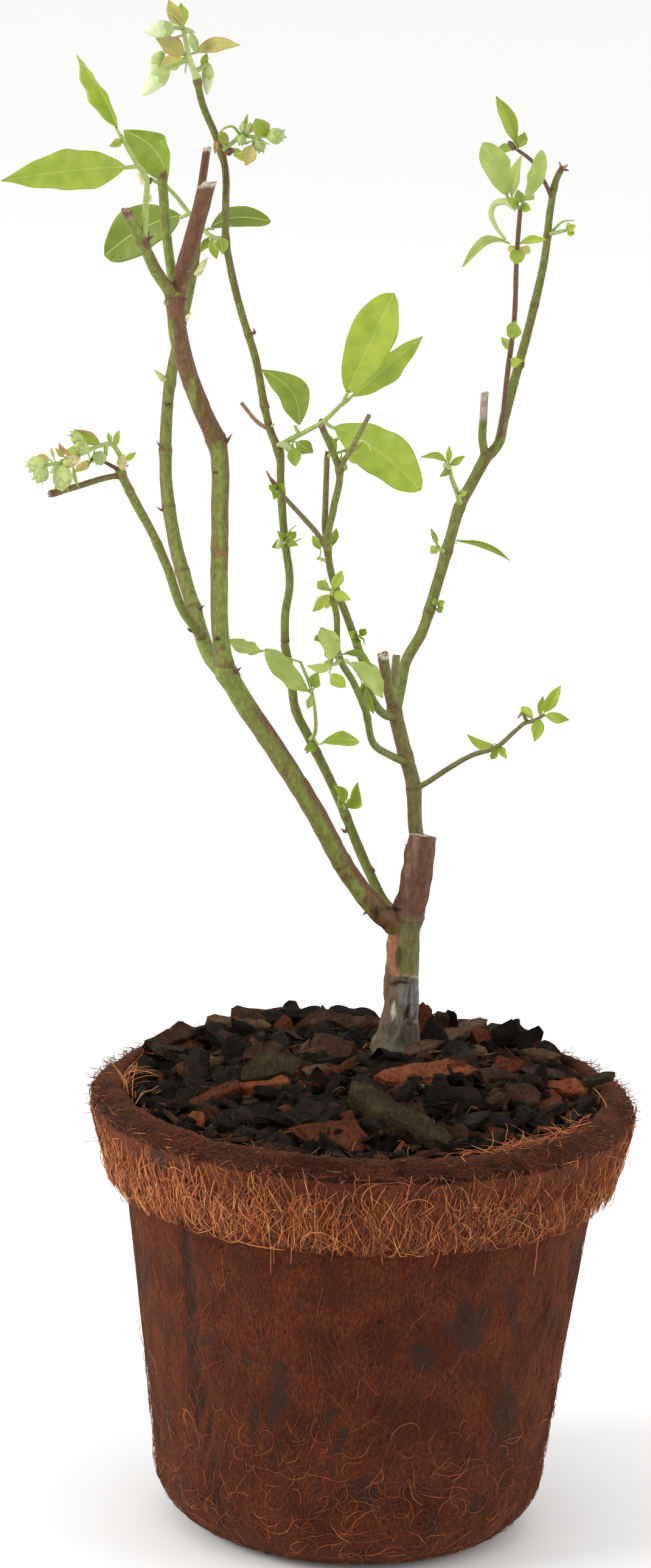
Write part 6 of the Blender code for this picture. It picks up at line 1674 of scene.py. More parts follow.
def collar_relief(points):
    """How far the collar's skin stands out: tangled fibres and waves."""
    tangle = grain(points * (1, 1, 0.45), 0.0014, 21) + 0.9 * grain(points, 0.0032, 22)
    waves = grain(points * (1, 1, 0.3), 0.020, 23) + 0.4 * grain(points, 0.008, 24)
    return tangle * TANGLE_HEIGHT + waves * WAVE_HEIGHT


def pot_collar():
    """The collar folded over the wall's top, with its dark lip and frayed hem."""
    inner = float(wall_radius(LIP_HEIGHT)) - WALL_THICKNESS
    outside = [(float(wall_radius(HEM_HEIGHT)) + 0.0004, HEM_HEIGHT + 0.0010),
               (HEM_RADIUS - 0.0016, HEM_HEIGHT + 0.0002), (HEM_RADIUS - 0.0002, HEM_HEIGHT + 0.0016)]
    outside += [(float(collar_radius(h)), h) for h in (0.118, 0.125, 0.131, RIM_HEIGHT - 0.0012)]
    outside += [(RIM_RADIUS - 0.0004, RIM_HEIGHT), (LIP_RADIUS + 0.0025, LIP_HEIGHT - 0.0006),
                (LIP_RADIUS, LIP_HEIGHT), (inner, LIP_HEIGHT - 0.0010), (inner - 0.0006, 0.128)]
    rows = resample(outside, COLLAR_ROW)
    verts = turned(rows, COLLAR_SIDES, collar_relief)
    damp = ramp(grain(verts, 0.007, 26) + 0.6 * grain(verts, 0.0025, 27), -0.1, 0.9)
    level = verts[..., 2] + 0.0016 * grain(verts, 0.009, 25)
    on_lip = ((rows[:, 1] > RIM_HEIGHT - 0.0018) | (rows[:, 0] < LIP_RADIUS))[:, None]
    kinds = np.where(on_lip, 2, np.where(level > SHOULDER_HEIGHT, 1, 0))[:-1]
    dark_marks = front_marks(verts, COLLAR_SMUDGES)
    dark_marks = np.where(on_lip, np.maximum(dark_marks, damp), dark_marks)
    heap = Heap({
        "collar": coir_look("coir_collar", (0.038, 0.009, 0.004), (0.100, 0.024, 0.008),
                            (0.230, 0.062, 0.018), 0.0008),
        "shoulder": coir_look("coir_shoulder", (0.050, 0.014, 0.008), (0.110, 0.030, 0.014),
                              (0.190, 0.056, 0.025), 0.0006),
        "lip": coir_look("coir_lip", (0.010, 0.0040, 0.003), (0.028, 0.0080, 0.0045),
                         (0.095, 0.024, 0.009), 0.0007, (0.007, 0.003, 0.002))})
    heap.skin(verts, kinds.ravel(), np.repeat(dark_marks[..., None], 3, axis=-1), cap="collar")
    heap.close("pot_collar_coir", "coir_collar", "pot_collar")


# Loose coir fibres


FIBRE_LOOKS = {name: plain_look("fibre_" + name, colour, roughness, 0.002, 0.00003)
               for name, colour, roughness in (
                   ("tan", (0.560, 0.200, 0.050), 0.7),
                   ("orange", (0.360, 0.088, 0.019), 0.7),
                   ("red", (0.140, 0.029, 0.009), 0.75),
                   ("dark", (0.050, 0.018, 0.010), 0.8),
                   ("straw", (0.560, 0.270, 0.095), 0.6))}


# Long pale hairs that hang over the wall: across, length and bend
WALL_HAIRS = [(-26.6, 12.5, 0.35), (-25.4, 9.0, -0.2), (-20.6, 8.5, 0.3), (-8.0, 6.0, 0.5),
              (7.0, 7.0, -0.4), (24.0, 8.0, 0.4), (55.0, 17.0, -0.5)]
HAIR_THICKNESS = 0.00026
HAIR_LIFT = 0.0007


def lie_on(radius_at, angle, height, heading, length, bend, lift, rng, steps, wiggle=0.16):
    """Routes of fibres that lie on a turned surface, one for each item of the arrays."""
    points = []
    way = heading - bend / 2
    for k in range(steps + 1):
        share = k / steps
        radius = radius_at(height) + lift * math.sin(math.pi * share) + 0.0001
        points.append(np.stack([radius * np.cos(angle), radius * np.sin(angle), height], -1))
        way = way + bend / steps + rng.normal(0, wiggle, len(way))
        angle = angle + np.sin(way) * length / steps / radius
        height = height + np.cos(way) * length / steps
    return np.stack(points, 1)


def draw(rng, looks, shares, count):
    """Numbers of looks drawn by their shares."""
    numbers = [looks.index(name) for name in shares]
    weights = np.array(list(shares.values()), float)
    return rng.choice(numbers, count, p=weights / weights.sum())


def strew(heap, rng, routes, shares, thinnest, thickest, **form):
    """Fibres along the routes, with looks and thicknesses drawn at random."""
    kinds = draw(rng, heap.names, shares, len(routes))
    tubes(heap, routes, rng.uniform(thinnest, thickest, len(routes)), kinds, **form)


def around(rng, count):
    """Random directions round the pot."""
    return rng.uniform(0, 2 * np.pi, count)


def collar_fibres(rng):
    """Tangled loose coir over the collar, thickest towards its hem."""
    heap = Heap(FIBRE_LOOKS)
    count = 4300
    low = rng.beta(1.1, 1.9, count)
    height = HEM_HEIGHT + 0.0008 + (RIM_HEIGHT - HEM_HEIGHT - 0.004) * low
    heading = rng.normal(0, 0.42, count)
    length = rng.uniform(0.006, 0.018, count) * (1 - 0.35 * low)
    routes = lie_on(collar_radius, around(rng, count), height - 0.3 * length, heading, length,
                    rng.normal(0, 0.45, count), rng.uniform(0.0001, 0.0013, count), rng, steps=5)
    routes[..., 2] = np.maximum(routes[..., 2], HEM_HEIGHT - 0.0010)
    strew(heap, rng, routes, {"tan": 3.0, "orange": 5.0, "red": 3.8, "straw": 0.5}, 0.00016, 0.00036)
    heap.close("collar_fibres", "coir_collar")


def collar_loops(rng):
    """Loose loops and fine curls on the collar, and a fringe along its hem."""
    heap = Heap(FIBRE_LOOKS)
    loops = 190
    routes = lie_on(collar_radius, around(rng, loops),
                    rng.uniform(HEM_HEIGHT + 0.002, RIM_HEIGHT - 0.008, loops),
                    rng.uniform(-3, 3, loops), rng.uniform(0.008, 0.024, loops),
                    rng.choice([-1, 1], loops) * rng.uniform(1.5, 4.5, loops),
                    rng.uniform(0.0006, 0.0020, loops), rng, steps=12, wiggle=0.10)
    routes[..., 2] = np.clip(routes[..., 2], HEM_HEIGHT - 0.001, RIM_HEIGHT)
    strew(heap, rng, routes, {"tan": 5, "straw": 1, "orange": 5, "red": 2}, 0.00018, 0.00034)

    fine = 1500
    low = rng.uniform(0.0, 1.0, fine)
    height = HEM_HEIGHT + 0.0008 + (RIM_HEIGHT - HEM_HEIGHT - 0.002) * low
    routes = lie_on(collar_radius, around(rng, fine), height, rng.normal(0, 1.0, fine),
                    rng.uniform(0.003, 0.009, fine), rng.normal(0, 0.9, fine),
                    rng.uniform(0.0001, 0.0006, fine), rng, steps=4)
    routes[..., 2] = np.clip(routes[..., 2], HEM_HEIGHT - 0.001, RIM_HEIGHT + 0.001)
    strew(heap, rng, routes, {"tan": 1, "orange": 4, "red": 5, "dark": 1.5}, 0.00012, 0.00022)

    hem = 320
    routes = lie_on(lambda h: collar_radius(h) + 0.0002, around(rng, hem),
                    rng.uniform(HEM_HEIGHT + 0.0005, HEM_HEIGHT + 0.004, hem),
                    np.pi + rng.normal(0, 1.1, hem), rng.uniform(0.001, 0.0035, hem),
                    rng.normal(0, 1.0, hem), rng.uniform(0.0, 0.0008, hem), rng, steps=4)
    strew(heap, rng, routes, {"tan": 3, "orange": 5, "red": 2}, 0.00016, 0.0003)
    heap.close("collar_loops", "coir_collar")


def wall_fibres(rng):
    """Fine fibres pressed into the wall, looser near the foot."""
    heap = Heap(FIBRE_LOOKS)
    count = 3600
    height = rng.uniform(0.002, HEM_HEIGHT - 0.002, count)
    loose = ramp(height, 0.070, 0.008)
    length = rng.uniform(0.004, 0.014, count)
    routes = lie_on(wall_radius, around(rng, count), height, rng.normal(0, 0.55 + 0.60 * loose),
                    length, rng.normal(0, 0.20 + 1.1 * loose), 0.00005 + 0.0005 * loose, rng,
                    steps=5, wiggle=0.12)
    routes[..., 2] = np.clip(routes[..., 2], 0.0012, HEM_HEIGHT + 0.001)
    strew(heap, rng, routes, {"red": 8, "dark": 5, "orange": 0.8}, 0.00010, 0.00019)
    heap.close("wall_fibres", "coir_wall")


def wall_curls(rng):
    """Curls of fibre low on the wall, and the long pale hairs that hang from the hem."""
    heap = Heap(FIBRE_LOOKS)
    count = 1250
    height = 0.001 + 0.055 * rng.beta(1.0, 1.7, count)
    routes = lie_on(wall_radius, around(rng, count), height,
                    rng.uniform(-3, 3, count), rng.uniform(0.004, 0.015, count),
                    rng.choice([-1, 1], count) * rng.uniform(0.5, 3.5, count),
                    rng.uniform(0.0001, 0.0010, count), rng, steps=8, wiggle=0.18)
    routes[..., 2] = np.clip(routes[..., 2], 0.0012, 0.08)
    strew(heap, rng, routes, {"orange": 5, "red": 8, "tan": 0.6, "dark": 1.5}, 0.00012, 0.00024)
    for across, length, bend in WALL_HAIRS:
        turn = math.asin(across * MM / WALL_TOP_RADIUS) - math.pi / 2
        hair = np.array((turn, HEM_HEIGHT + 0.001, math.pi, length * MM, bend, HAIR_LIFT))
        routes = lie_on(wall_radius, *hair[:, None], rng, steps=10, wiggle=0.05)
        tubes(heap, routes, [HAIR_THICKNESS], [heap.names.index("tan")])
    heap.close("wall_curls", "coir_wall")


def stray(angle, radius, level, swing, rise, length, rng, steps=5, inward=False):
    """Routes of hairs that leave the pot's surface: swing is sideways and rise upwards."""
    outward = np.stack([np.cos(angle), np.sin(angle), np.zeros(len(angle))], -1)
    if inward:
        outward = -outward
    along = np.stack([-np.sin(angle), np.cos(angle), np.zeros(len(angle))], -1)
    sky = np.array((0.0, 0.0, 1.0))
    heading = unit(outward * 0.55 + along * swing[:, None] + sky * rise[:, None])
    sag = rng.normal(0, 0.35, (len(angle), 3)) * (1.0, 1.0, 0.35)
    point = np.stack([radius * np.cos(angle), radius * np.sin(angle), level], -1)
    points = [point]
    for _ in range(steps):
        heading = unit(heading + sag * 0.5 + rng.normal(0, 0.12, heading.shape))
        point = point + heading * (length / steps)[:, None]
        points.append(point)
    return np.stack(points, 1)


def lip_bristles(heap, rng):
    """Short bristles over the lip and rim, and down the inside of the lip."""
    count = 1500
    angle = around(rng, count)
    share = rng.uniform(0, 1, count)
    radius = LIP_RADIUS - 0.001 + (RIM_RADIUS - LIP_RADIUS + 0.001) * share
    level = LIP_HEIGHT - (LIP_HEIGHT - RIM_HEIGHT) * share
    length = rng.uniform(0.002, 0.006, count)
    swing = rng.normal(0, 1.3, count)
    rise = rng.uniform(-0.20, 0.16, count)
    routes = stray(angle, radius, level, swing, rise, length, rng)
    strew(heap, rng, routes, {"red": 6, "dark": 7, "orange": 2.2, "tan": 0.4}, 0.00016, 0.00030)

    inner = 800
    angle = around(rng, inner)
    level = rng.uniform(0.130, LIP_HEIGHT, inner)
    radius = wall_radius(level) - WALL_THICKNESS - 0.0006
    routes = stray(angle, radius, level, rng.normal(0, 1.2, inner), rng.normal(-0.1, 0.4, inner),
                   rng.uniform(0.002, 0.007, inner), rng, inward=True)
    strew(heap, rng, routes, {"red": 6, "orange": 3, "tan": 0.6, "dark": 4}, 0.00020, 0.00034)


def lip_tufts(heap, rng):
    """Upright tufts on the left of the lip, and hairs laid over its front right."""
    tufts = 18
    angle = rng.normal(math.pi + 0.12, 0.10, tufts)
    level = np.full(tufts, LIP_HEIGHT - 0.001)
    routes = stray(angle, np.full(tufts, LIP_RADIUS - 0.0015), level, rng.normal(0, 0.5, tufts),
                   rng.uniform(0.8, 2.2, tufts), rng.uniform(0.006, 0.013, tufts), rng, steps=7,
                   inward=True)
    tubes(heap, routes, rng.uniform(0.00024, 0.00036, tufts),
          draw(rng, heap.names, {"tan": 5, "orange": 4}, tufts))

    laid = 150
    angle = rng.normal(-0.80, 0.20, laid)
    routes = stray(angle, LIP_RADIUS - rng.uniform(-0.001, 0.003, laid),
                   LIP_HEIGHT + rng.uniform(-0.0006, 0.0008, laid),
                   rng.choice([-1, 1], laid) * rng.uniform(1.5, 5, laid),
                   rng.normal(0.05, 0.25, laid), rng.uniform(0.005, 0.013, laid), rng, steps=6,
                   inward=True)
    tubes(heap, routes, rng.uniform(0.00020, 0.00034, laid),
          draw(rng, heap.names, {"tan": 3, "orange": 6, "red": 2}, laid))


def lip_hairs(heap, rng):
    """Long stray hairs that stand off the collar, most of them at its two sides."""
    count = 90
    on_right = 34
    on_left = 24
    angle = around(rng, count)
    angle[:on_right] = rng.normal(0.12, 0.35, on_right)
    angle[on_right:on_right + on_left] = rng.normal(math.pi - 0.1, 0.3, on_left)
    level = rng.uniform(HEM_HEIGHT + 0.002, RIM_HEIGHT, count)
    routes = stray(angle, collar_radius(level) - 0.0006, level, rng.normal(0, 1.1, count),
                   rng.normal(0.35, 0.7, count), rng.uniform(0.004, 0.010, count), rng, steps=9)
    strew(heap, rng, routes, {"tan": 3, "straw": 3, "orange": 3}, 0.00014, 0.00022, taper=0.8)


def lip_fibres(rng):
    """All the bristles, tufts and hairs of the lip and rim."""
    heap = Heap(FIBRE_LOOKS)
    lip_bristles(heap, rng)
    lip_tufts(heap, rng)
    lip_hairs(heap, rng)
    heap.close("lip_fibres", "coir_collar")


# Bark mulch


# How square a chip's cross-section is, the angle in degrees from which its edges stay sharp,
# and the spot round the trunk that stays free of loose chips
CHIP_SQUARENESS = 0.28
CHIP_CREASE = 32
TRUNK_SPOT = (0.0075, 0.018)
TRUNK_CLEARANCE = 0.0085


def chip_look(name, colour, accent):
    """Weathered bark: long grain, cloudy stain and a coarse bump."""
    look = Look(name, colour, 0.75, Specular_IOR_Level=0.04)
    fibre = look.noise(look.place((1.0, 0.4, 1.0)), CHIP_FIBRE_SIZE, 6.0)
    cloud = look.noise(look.place(), CHIP_CLOUD_SIZE, 5.0)
    dark = tuple(part * 0.55 for part in colour)
    base = look.mix(look.band(fibre, 0.35, 0.62), dark, colour)
    look.colour(look.mix(look.band(cloud, 0.45, 0.75, 0.0, 0.70), base, accent))
    look.bump(fibre, CHIP_BUMP)
    return look.made


CHIP_LOOKS = {name: chip_look("chip_" + name, colour, accent) for name, colour, accent in (
    ("black", (0.009, 0.0060, 0.0045), (0.022, 0.014, 0.009)),
    ("slate", (0.017, 0.012, 0.0085), (0.040, 0.028, 0.018)),
    ("brown", (0.040, 0.018, 0.010), (0.072, 0.038, 0.021)),
    ("russet", (0.085, 0.024, 0.011), (0.110, 0.034, 0.016)),
    ("orange", (0.165, 0.045, 0.017), (0.235, 0.082, 0.036)),
    ("olive", (0.034, 0.024, 0.012), (0.062, 0.046, 0.018)),
    ("buff", (0.090, 0.048, 0.027), (0.135, 0.080, 0.048)))}

# Shares of the chips' looks: whole chips, and the bits between them
CHIP_SHARES = {"black": 7.0, "slate": 3.0, "brown": 2.4, "russet": 0.9, "olive": 0.4, "buff": 0.15}
BIT_SHARES = {"black": 5.0, "slate": 2.0, "brown": 3.0, "russet": 2.0, "buff": 0.5, "orange": 0.4}

# Chips lying on the heap: both ends, width, thickness, look, lift and tilt
NOTABLE_CHIPS = [
    ((4.6, 142.9), (31.3, 148.0), 7.5, 4.0, "orange", 2.5, -0.5),
    ((-4.6, 138.6), (27.5, 122.0), 8.0, 6.0, "olive", 4.5, -0.3),
    ((-15.5, 121.5), (1.1, 124.5), 13.0, 2.5, "russet", 2.5, -0.6),
    ((13.0, 151.4), (35.9, 163.2), 6.0, 3.5, "buff", 3.0, -0.4),
    ((-19.6, 160.3), (4.7, 159.9), 9.0, 6.0, "brown", 3.5, -0.5),
    ((-36.8, 144.0), (-19.7, 146.7), 9.0, 5.5, "olive", 3.5, -0.6),
    ((-63.2, 126.3), (-38.9, 139.2), 5.0, 4.0, "russet", 4.0, -0.3),
    ((-38.9, 138.4), (-23.1, 141.4), 3.5, 3.0, "orange", 2.5, -0.3),
    ((-55.1, 126.2), (-49.0, 126.9), 6.0, 2.0, "orange", 2.0, -1.2),
    ((35.0, 155.6), (45.7, 157.2), 9.0, 3.0, "russet", 3.0, -1.0),
    ((43.9, 155.2), (59.2, 151.9), 5.5, 4.0, "buff", 3.0, -0.4),
    ((36.0, 145.8), (61.3, 146.4), 6.0, 4.0, "brown", 2.5, -0.4),
    ((58.4, 141.2), (68.2, 142.7), 7.5, 5.5, "orange", 2.0, -0.5),
    ((55.1, 128.7), (67.8, 129.6), 5.5, 3.0, "orange", 1.5, -0.4),
    ((65.4, 132.3), (72.6, 133.4), 6.0, 4.0, "russet", 2.5, -0.4),
    ((70.6, 136.5), (76.6, 137.5), 9.0, 5.5, "brown", 2.5, -0.4),
    ((68.6, 144.7), (77.6, 147.5), 3.0, 3.0, "olive", 2.5, -0.3),
    ((-22.4, 131.9), (-7.4, 129.8), 9.0, 5.0, "slate", 2.0, -0.6),
    ((-16.1, 153.6), (-4.6, 150.5), 8.0, 3.0, "brown", 2.5, -0.8),
    ((-37.8, 148.7), (-26.1, 151.6), 6.5, 4.5, "brown", 3.0, -0.6),
    ((-57.8, 133.3), (-47.8, 136.9), 7.0, 4.0, "slate", 2.0, -0.6),
    ((-42.4, 130.3), (-27.6, 129.3), 9.0, 4.0, "black", 2.0, -0.6),
    ((-52.1, 122.4), (-31.2, 124.4), 5.0, 3.5, "slate", 1.5, -0.4),
    ((-31.1, 120.9), (-20.0, 129.3), 6.5, 4.0, "slate", 1.5, -0.5),
    ((19.6, 138.8), (36.7, 137.1), 9.0, 4.0, "black", 2.0, -0.5),
    ((46.2, 137.9), (53.7, 140.2), 8.0, 5.0, "brown", 2.5, -0.6),
    ((-17.7, 143.6), (-11.1, 145.1), 5.5, 4.5, "buff", 2.5, -0.6),
    ((-61.5, 148.4), (-50.2, 152.2), 6.0, 4.0, "russet", 3.0, -0.6),
    ((-51.9, 147.8), (-46.8, 145.6), 6.5, 3.5, "buff", 2.5, -0.6),
    ((-56.6, 145.2), (-51.6, 143.4), 6.0, 3.5, "russet", 2.5, -0.6),
    ((8.4, 132.4), (19.8, 131.7), 8.0, 4.0, "brown", 2.0, -0.5),
    ((9.8, 145.3), (0.1, 149.5), 6.0, 4.0, "black", 2.5, -0.5),
    ((28.5, 129.2), (46.5, 130.8), 6.0, 3.0, "black", 1.5, -0.4),
]

# Larger chips that lean on the far rim, by their turn round the pot in degrees
FAR_CHIP_TURNS = (34, 41, 47, 54, 62, 68, 75, 93, 99, 106, 112, 118, 125, 131, 138, 144, 150, 157)

# Chips standing on end: foot, top, width, thickness and look
UPRIGHT_CHIPS = [
    ((16.8, 158.4, 34), (18.7, 168.0, 36), 5.0, 2.5, "russet"),
    ((22.9, 157.7, 40), (23.7, 165.8, 42), 4.5, 3.0, "brown"),
    ((26.7, 157.9, 42), (25.6, 166.3, 44), 5.5, 3.0, "black"),
    ((45.0, 155.2, 44), (43.9, 162.7, 46), 9.0, 4.0, "black"),
    ((51.6, 152.0, 42), (50.1, 159.8, 44), 8.0, 4.0, "black"),
    ((-24.7, 155.8, 46), (-26.5, 161.4, 48), 6.5, 3.5, "russet"),
    ((-36.9, 152.3, 46), (-38.2, 160.2, 48), 7.0, 3.5, "black"),
    ((-51.0, 147.8, 42), (-51.7, 157.3, 44), 4.5, 3.0, "black"),
    ((54.1, 152.1, 40), (53.2, 157.5, 42), 3.0, 2.0, "brown"),
]


def mulch_height(x, y):
    """Height of the bark heap: highest in the middle, a little higher at the back."""
    out = np.hypot(x, y) / MULCH_RADIUS
    return MULCH_EDGE_HEIGHT + MULCH_HEAP * (1 - out**2) + MULCH_TILT * y / MULCH_RADIUS


def on_mulch(place, lift):
    """The point one lift above the heap that shows nearest to a place (across, up)."""
    ray = np.array(sight((*place, 0.0)) - EYE)
    along = np.array(EYE) + np.linspace(0.94, 1.045, 800)[:, None] * ray
    gap = along[:, 2] - mulch_height(along[:, 0], along[:, 1]) - lift
    beyond = np.maximum(np.hypot(along[:, 0], along[:, 1]) - MULCH_RADIUS + 0.004, 0.0)
    below = np.flatnonzero((gap <= 0) & (beyond == 0))
    return along[below[0] if len(below) else np.argmin(np.abs(gap) + 2 * beyond)]


def bark_chip(heap, middle, along, face, length, width, thick, kind, seed, stations=11, sides=12):
    """One flake or splinter: a rough block with torn, slanting ends and a grained face."""
    t = np.linspace(0, 1, stations)
    turns = 2 * np.pi * (np.arange(sides) + 0.5) / sides
    ring = np.stack([np.cos(turns), np.sin(turns)], -1)
    ring = np.sign(ring) * np.abs(ring) ** CHIP_SQUARENESS
    along = unit(np.array(along))
    side = unit(np.cross(along, face))
    face = np.cross(side, along)
    cells = np.stack([np.arange(8), np.full(8, seed), np.full(8, 3)], -1)
    slant, shear, taper, lean, hook, tip_cut = (lattice(cells, 13) * 2 - 1)[:6]
    ends = np.minimum(1.0, np.minimum(t, 1 - t) * 9 + 0.45 + 0.25 * tip_cut)
    drift = np.stack([t * 0, t * length * 900, t * 0 + seed * 3.7], -1)
    widths = (1 + 0.28 * grain(drift, 3.0, seed)) * ends ** 0.5 * (1 + 0.35 * taper * (2 * t - 1))
    heights = (1 + 0.30 * grain(drift, 2.2, seed + 50)) * (0.55 + 0.45 * ends)
    bow = hook * (t - 0.5) ** 2 + 0.08 * grain(drift, 4.0, seed + 90)
    y = ring[None, :, 0] * widths[:, None] * width / 2 + bow[:, None] * width
    z = ring[None, :, 1] * heights[:, None] * thick / 2 + 0.5 * bow[:, None] * thick
    tear = grain(np.stack([turns * 2, turns * 0, turns * 0 + seed], -1), 0.7, seed + 7)
    outer = 2 * t[:, None] - 1
    x = outer * length / 2 + np.abs(outer) ** 6 * outer * (0.25 * width * tear[None])
    x = x + outer ** 4 * y * (0.6 * slant + 0.3 * shear * outer)
    local = np.stack([x, y, z], -1)
    lumps = grain(local + seed, max(thick, width * 0.3), seed)
    ridges = grain((local + seed) * (0.12, 1, 1), 0.0009, seed + 3)
    local = local * (1 + lumps[..., None] * np.array((0.0, 0.10, 0.22)))
    local[..., 2] += ridges * min(0.00035, thick * 0.16) + lean * 0.15 * y
    heap.skin(np.asarray(middle) + local[..., :1] * along + local[..., 1:2] * side
              + local[..., 2:] * face, kind)


def scatter(heap, rng, count, lengths, ratios, thicks, shares, rise, tilt, seed, **form):
    """Chips over the whole heap, evenly spread, each turned and tilted at random. Their
    lengths, shares of the length across, and thicknesses come from ranges."""
    picks = draw(rng, heap.names, shares, count)
    for k in range(count):
        length = rng.uniform(*lengths)
        width = length * rng.uniform(*ratios)
        thick = min(rng.uniform(*thicks), width)
        reach = MULCH_RADIUS - 0.0030 - 0.25 * length
        out = reach * math.sqrt((k + 0.5) / count)
        turn = k * GOLDEN_ANGLE + seed
        x, y = out * math.cos(turn), out * math.sin(turn)
        heading = rng.uniform(0, 2 * math.pi)
        along = np.array((math.cos(heading), math.sin(heading), rng.normal(0, tilt)))
        face = np.array((rng.normal(0, tilt * 1.6), rng.normal(0, tilt * 1.6), 1.0))
        if math.hypot(x - TRUNK_SPOT[0], y - TRUNK_SPOT[1]) < TRUNK_CLEARANCE + length / 4:
            continue
        level = float(mulch_height(x, y)) + rise + rng.uniform(-0.0008, 0.0008)
        bark_chip(heap, (x, y, level), along, face, length, width, thick, heap.names[picks[k]],
                  seed * 1000 + k, **form)


def mulch_bed():
    """The dark bed under the loose chips."""
    bed = Heap({"bed": CHIP_LOOKS["black"]})
    rows = [(0.0005, MULCH_BED_FOOT), (MULCH_RADIUS - 0.002, MULCH_BED_FOOT)]
    rows += [(MULCH_RADIUS * share, 0.0) for share in np.linspace(1.0, 0.006, 48)]
    rows = np.array(rows)
    turns = full_turn(BED_SIDES)
    x = rows[:, :1] * np.cos(turns)
    y = rows[:, :1] * np.sin(turns)
    z = np.where(rows[:, 1:] > 0, rows[:, 1:], mulch_height(x, y) - MULCH_BED_SINK)
    verts = np.stack([x, y, z], -1)
    loose = np.where(rows[:, 1:] > 0, 0.0, 1.0)
    verts[..., 2] += loose * (BED_LUMP_HEIGHT * grain(verts, 0.006, 61)
                              + BED_GRIT_HEIGHT * grain(verts, 0.002, 62))
    bed.skin(verts, "bed")
    bed.close("mulch_bed", "bark_mulch", "bark_mulch")


def mulch_chips(rng):
    """Two layers of loose bark flakes over the bed."""
    heap = Heap(CHIP_LOOKS)
    scatter(heap, rng, 230, (0.010, 0.024), (0.24, 0.62), (0.0018, 0.0045), CHIP_SHARES,
            rise=-0.0012, tilt=0.25, seed=1)
    scatter(heap, rng, 210, (0.008, 0.021), (0.15, 0.50), (0.0015, 0.0040), CHIP_SHARES,
            rise=0.0006, tilt=0.38, seed=2)
    heap.close("mulch_chips", "bark_mulch", "bark_mulch", crease=CHIP_CREASE)


def rim_chip(heap, rng, turn, out, level, sizes, kind, seed, wander, rise, lean):
    """A chip that lies along the heap's edge and leans inwards, its sizes drawn from ranges."""
    heading = turn + math.pi / 2 + rng.normal(0, wander)
    along = (math.cos(heading), math.sin(heading), rng.normal(0, rise))
    face = (-lean * math.cos(turn), -lean * math.sin(turn), 1.0)
    sizes = [rng.uniform(*limits) for limits in sizes]
    bark_chip(heap, (out * math.cos(turn), out * math.sin(turn), level), along, face, *sizes,
              kind, seed)


def rim_chips(heap, rng):
    """Chips round the heap's edge, and larger ones that lean on the far rim."""
    count = 76
    kinds = [heap.names[pick] for pick in draw(rng, heap.names, CHIP_SHARES, count)]
    for k in range(count):
        turn = 2 * math.pi * (k + rng.uniform(-0.3, 0.3)) / count
        rim_chip(heap, rng, turn, MULCH_RADIUS - rng.uniform(0.0005, 0.0045),
                 LIP_HEIGHT - rng.uniform(0.0015, 0.0050),
                 ((0.006, 0.014), (0.003, 0.007), (0.0015, 0.0035)), kinds[k], 4000 + k,
                 wander=0.6, rise=0.2, lean=0.5)
    for k, turn in enumerate(np.radians(FAR_CHIP_TURNS)):
        rim_chip(heap, rng, turn, MULCH_RADIUS - rng.uniform(0.0005, 0.0035),
                 LIP_HEIGHT + rng.uniform(-0.0005, 0.0022),
                 ((0.009, 0.019), (0.005, 0.009), (0.0035, 0.0055)), kinds[k], 4200 + k,
                 wander=0.35, rise=0.15, lean=0.4)


def mulch_pieces(rng):
    """Small bits of bark, the chips round the edge, and the notable ones where they lie."""
    heap = Heap(CHIP_LOOKS)
    scatter(heap, rng, 560, (0.002, 0.007), (0.15, 0.6), (0.0005, 0.0016), BIT_SHARES,
            rise=0.0012, tilt=0.5, seed=3, stations=6, sides=8)
    rim_chips(heap, rng)
    for k, (first, last, width, thick, kind, lift, tilt) in enumerate(NOTABLE_CHIPS):
        a = on_mulch(first, lift * MM)
        b = on_mulch(last, lift * MM)
        bark_chip(heap, (a + b) / 2, b - a, (0.0, tilt, 1.0), float(np.linalg.norm(b - a)),
                  width * MM, thick * MM, kind, 500 + k)
    for k, (foot, top, width, thick, kind) in enumerate(UPRIGHT_CHIPS):
        base = sight(foot)
        crest = sight(top)
        bark_chip(heap, (np.array(base) + np.array(crest)) / 2, crest - base, (0.0, -1.0, 0.3),
                  (crest - base).length, width * MM, thick * MM, kind, 600 + k)
    heap.close("mulch_pieces", "bark_mulch", "bark_mulch", crease=CHIP_CREASE)


def mulch_litter(rng):
    """Loose coir hairs and root threads lying on the bark."""
    heap = Heap(FIBRE_LOOKS)
    count = 130
    steps = 8
    out = MULCH_RADIUS * np.sqrt(rng.uniform(0.02, 0.98, count))
    turn = around(rng, count)
    x, y = out * np.cos(turn), out * np.sin(turn)
    heading = around(rng, count)
    bend = rng.normal(0, 0.5, count)
    length = rng.uniform(0.003, 0.012, count)
    points = []
    for _ in range(steps + 1):
        z = mulch_height(x, y) + 0.0022 + 0.0012 * np.sin(heading * 2)
        points.append(np.stack([x, y, z], -1))
        heading = heading + bend * 0.35 + rng.normal(0, 0.15, count)
        x = x + np.cos(heading) * length / steps
        y = y + np.sin(heading) * length / steps
    strew(heap, rng, np.stack(points, 1), {"tan": 2, "orange": 3, "straw": 2, "red": 4},
          0.00012, 0.00024)
    heap.close("mulch_litter", "bark_mulch")


# Camera, light and floor


FLOOR_REACH = 30.0

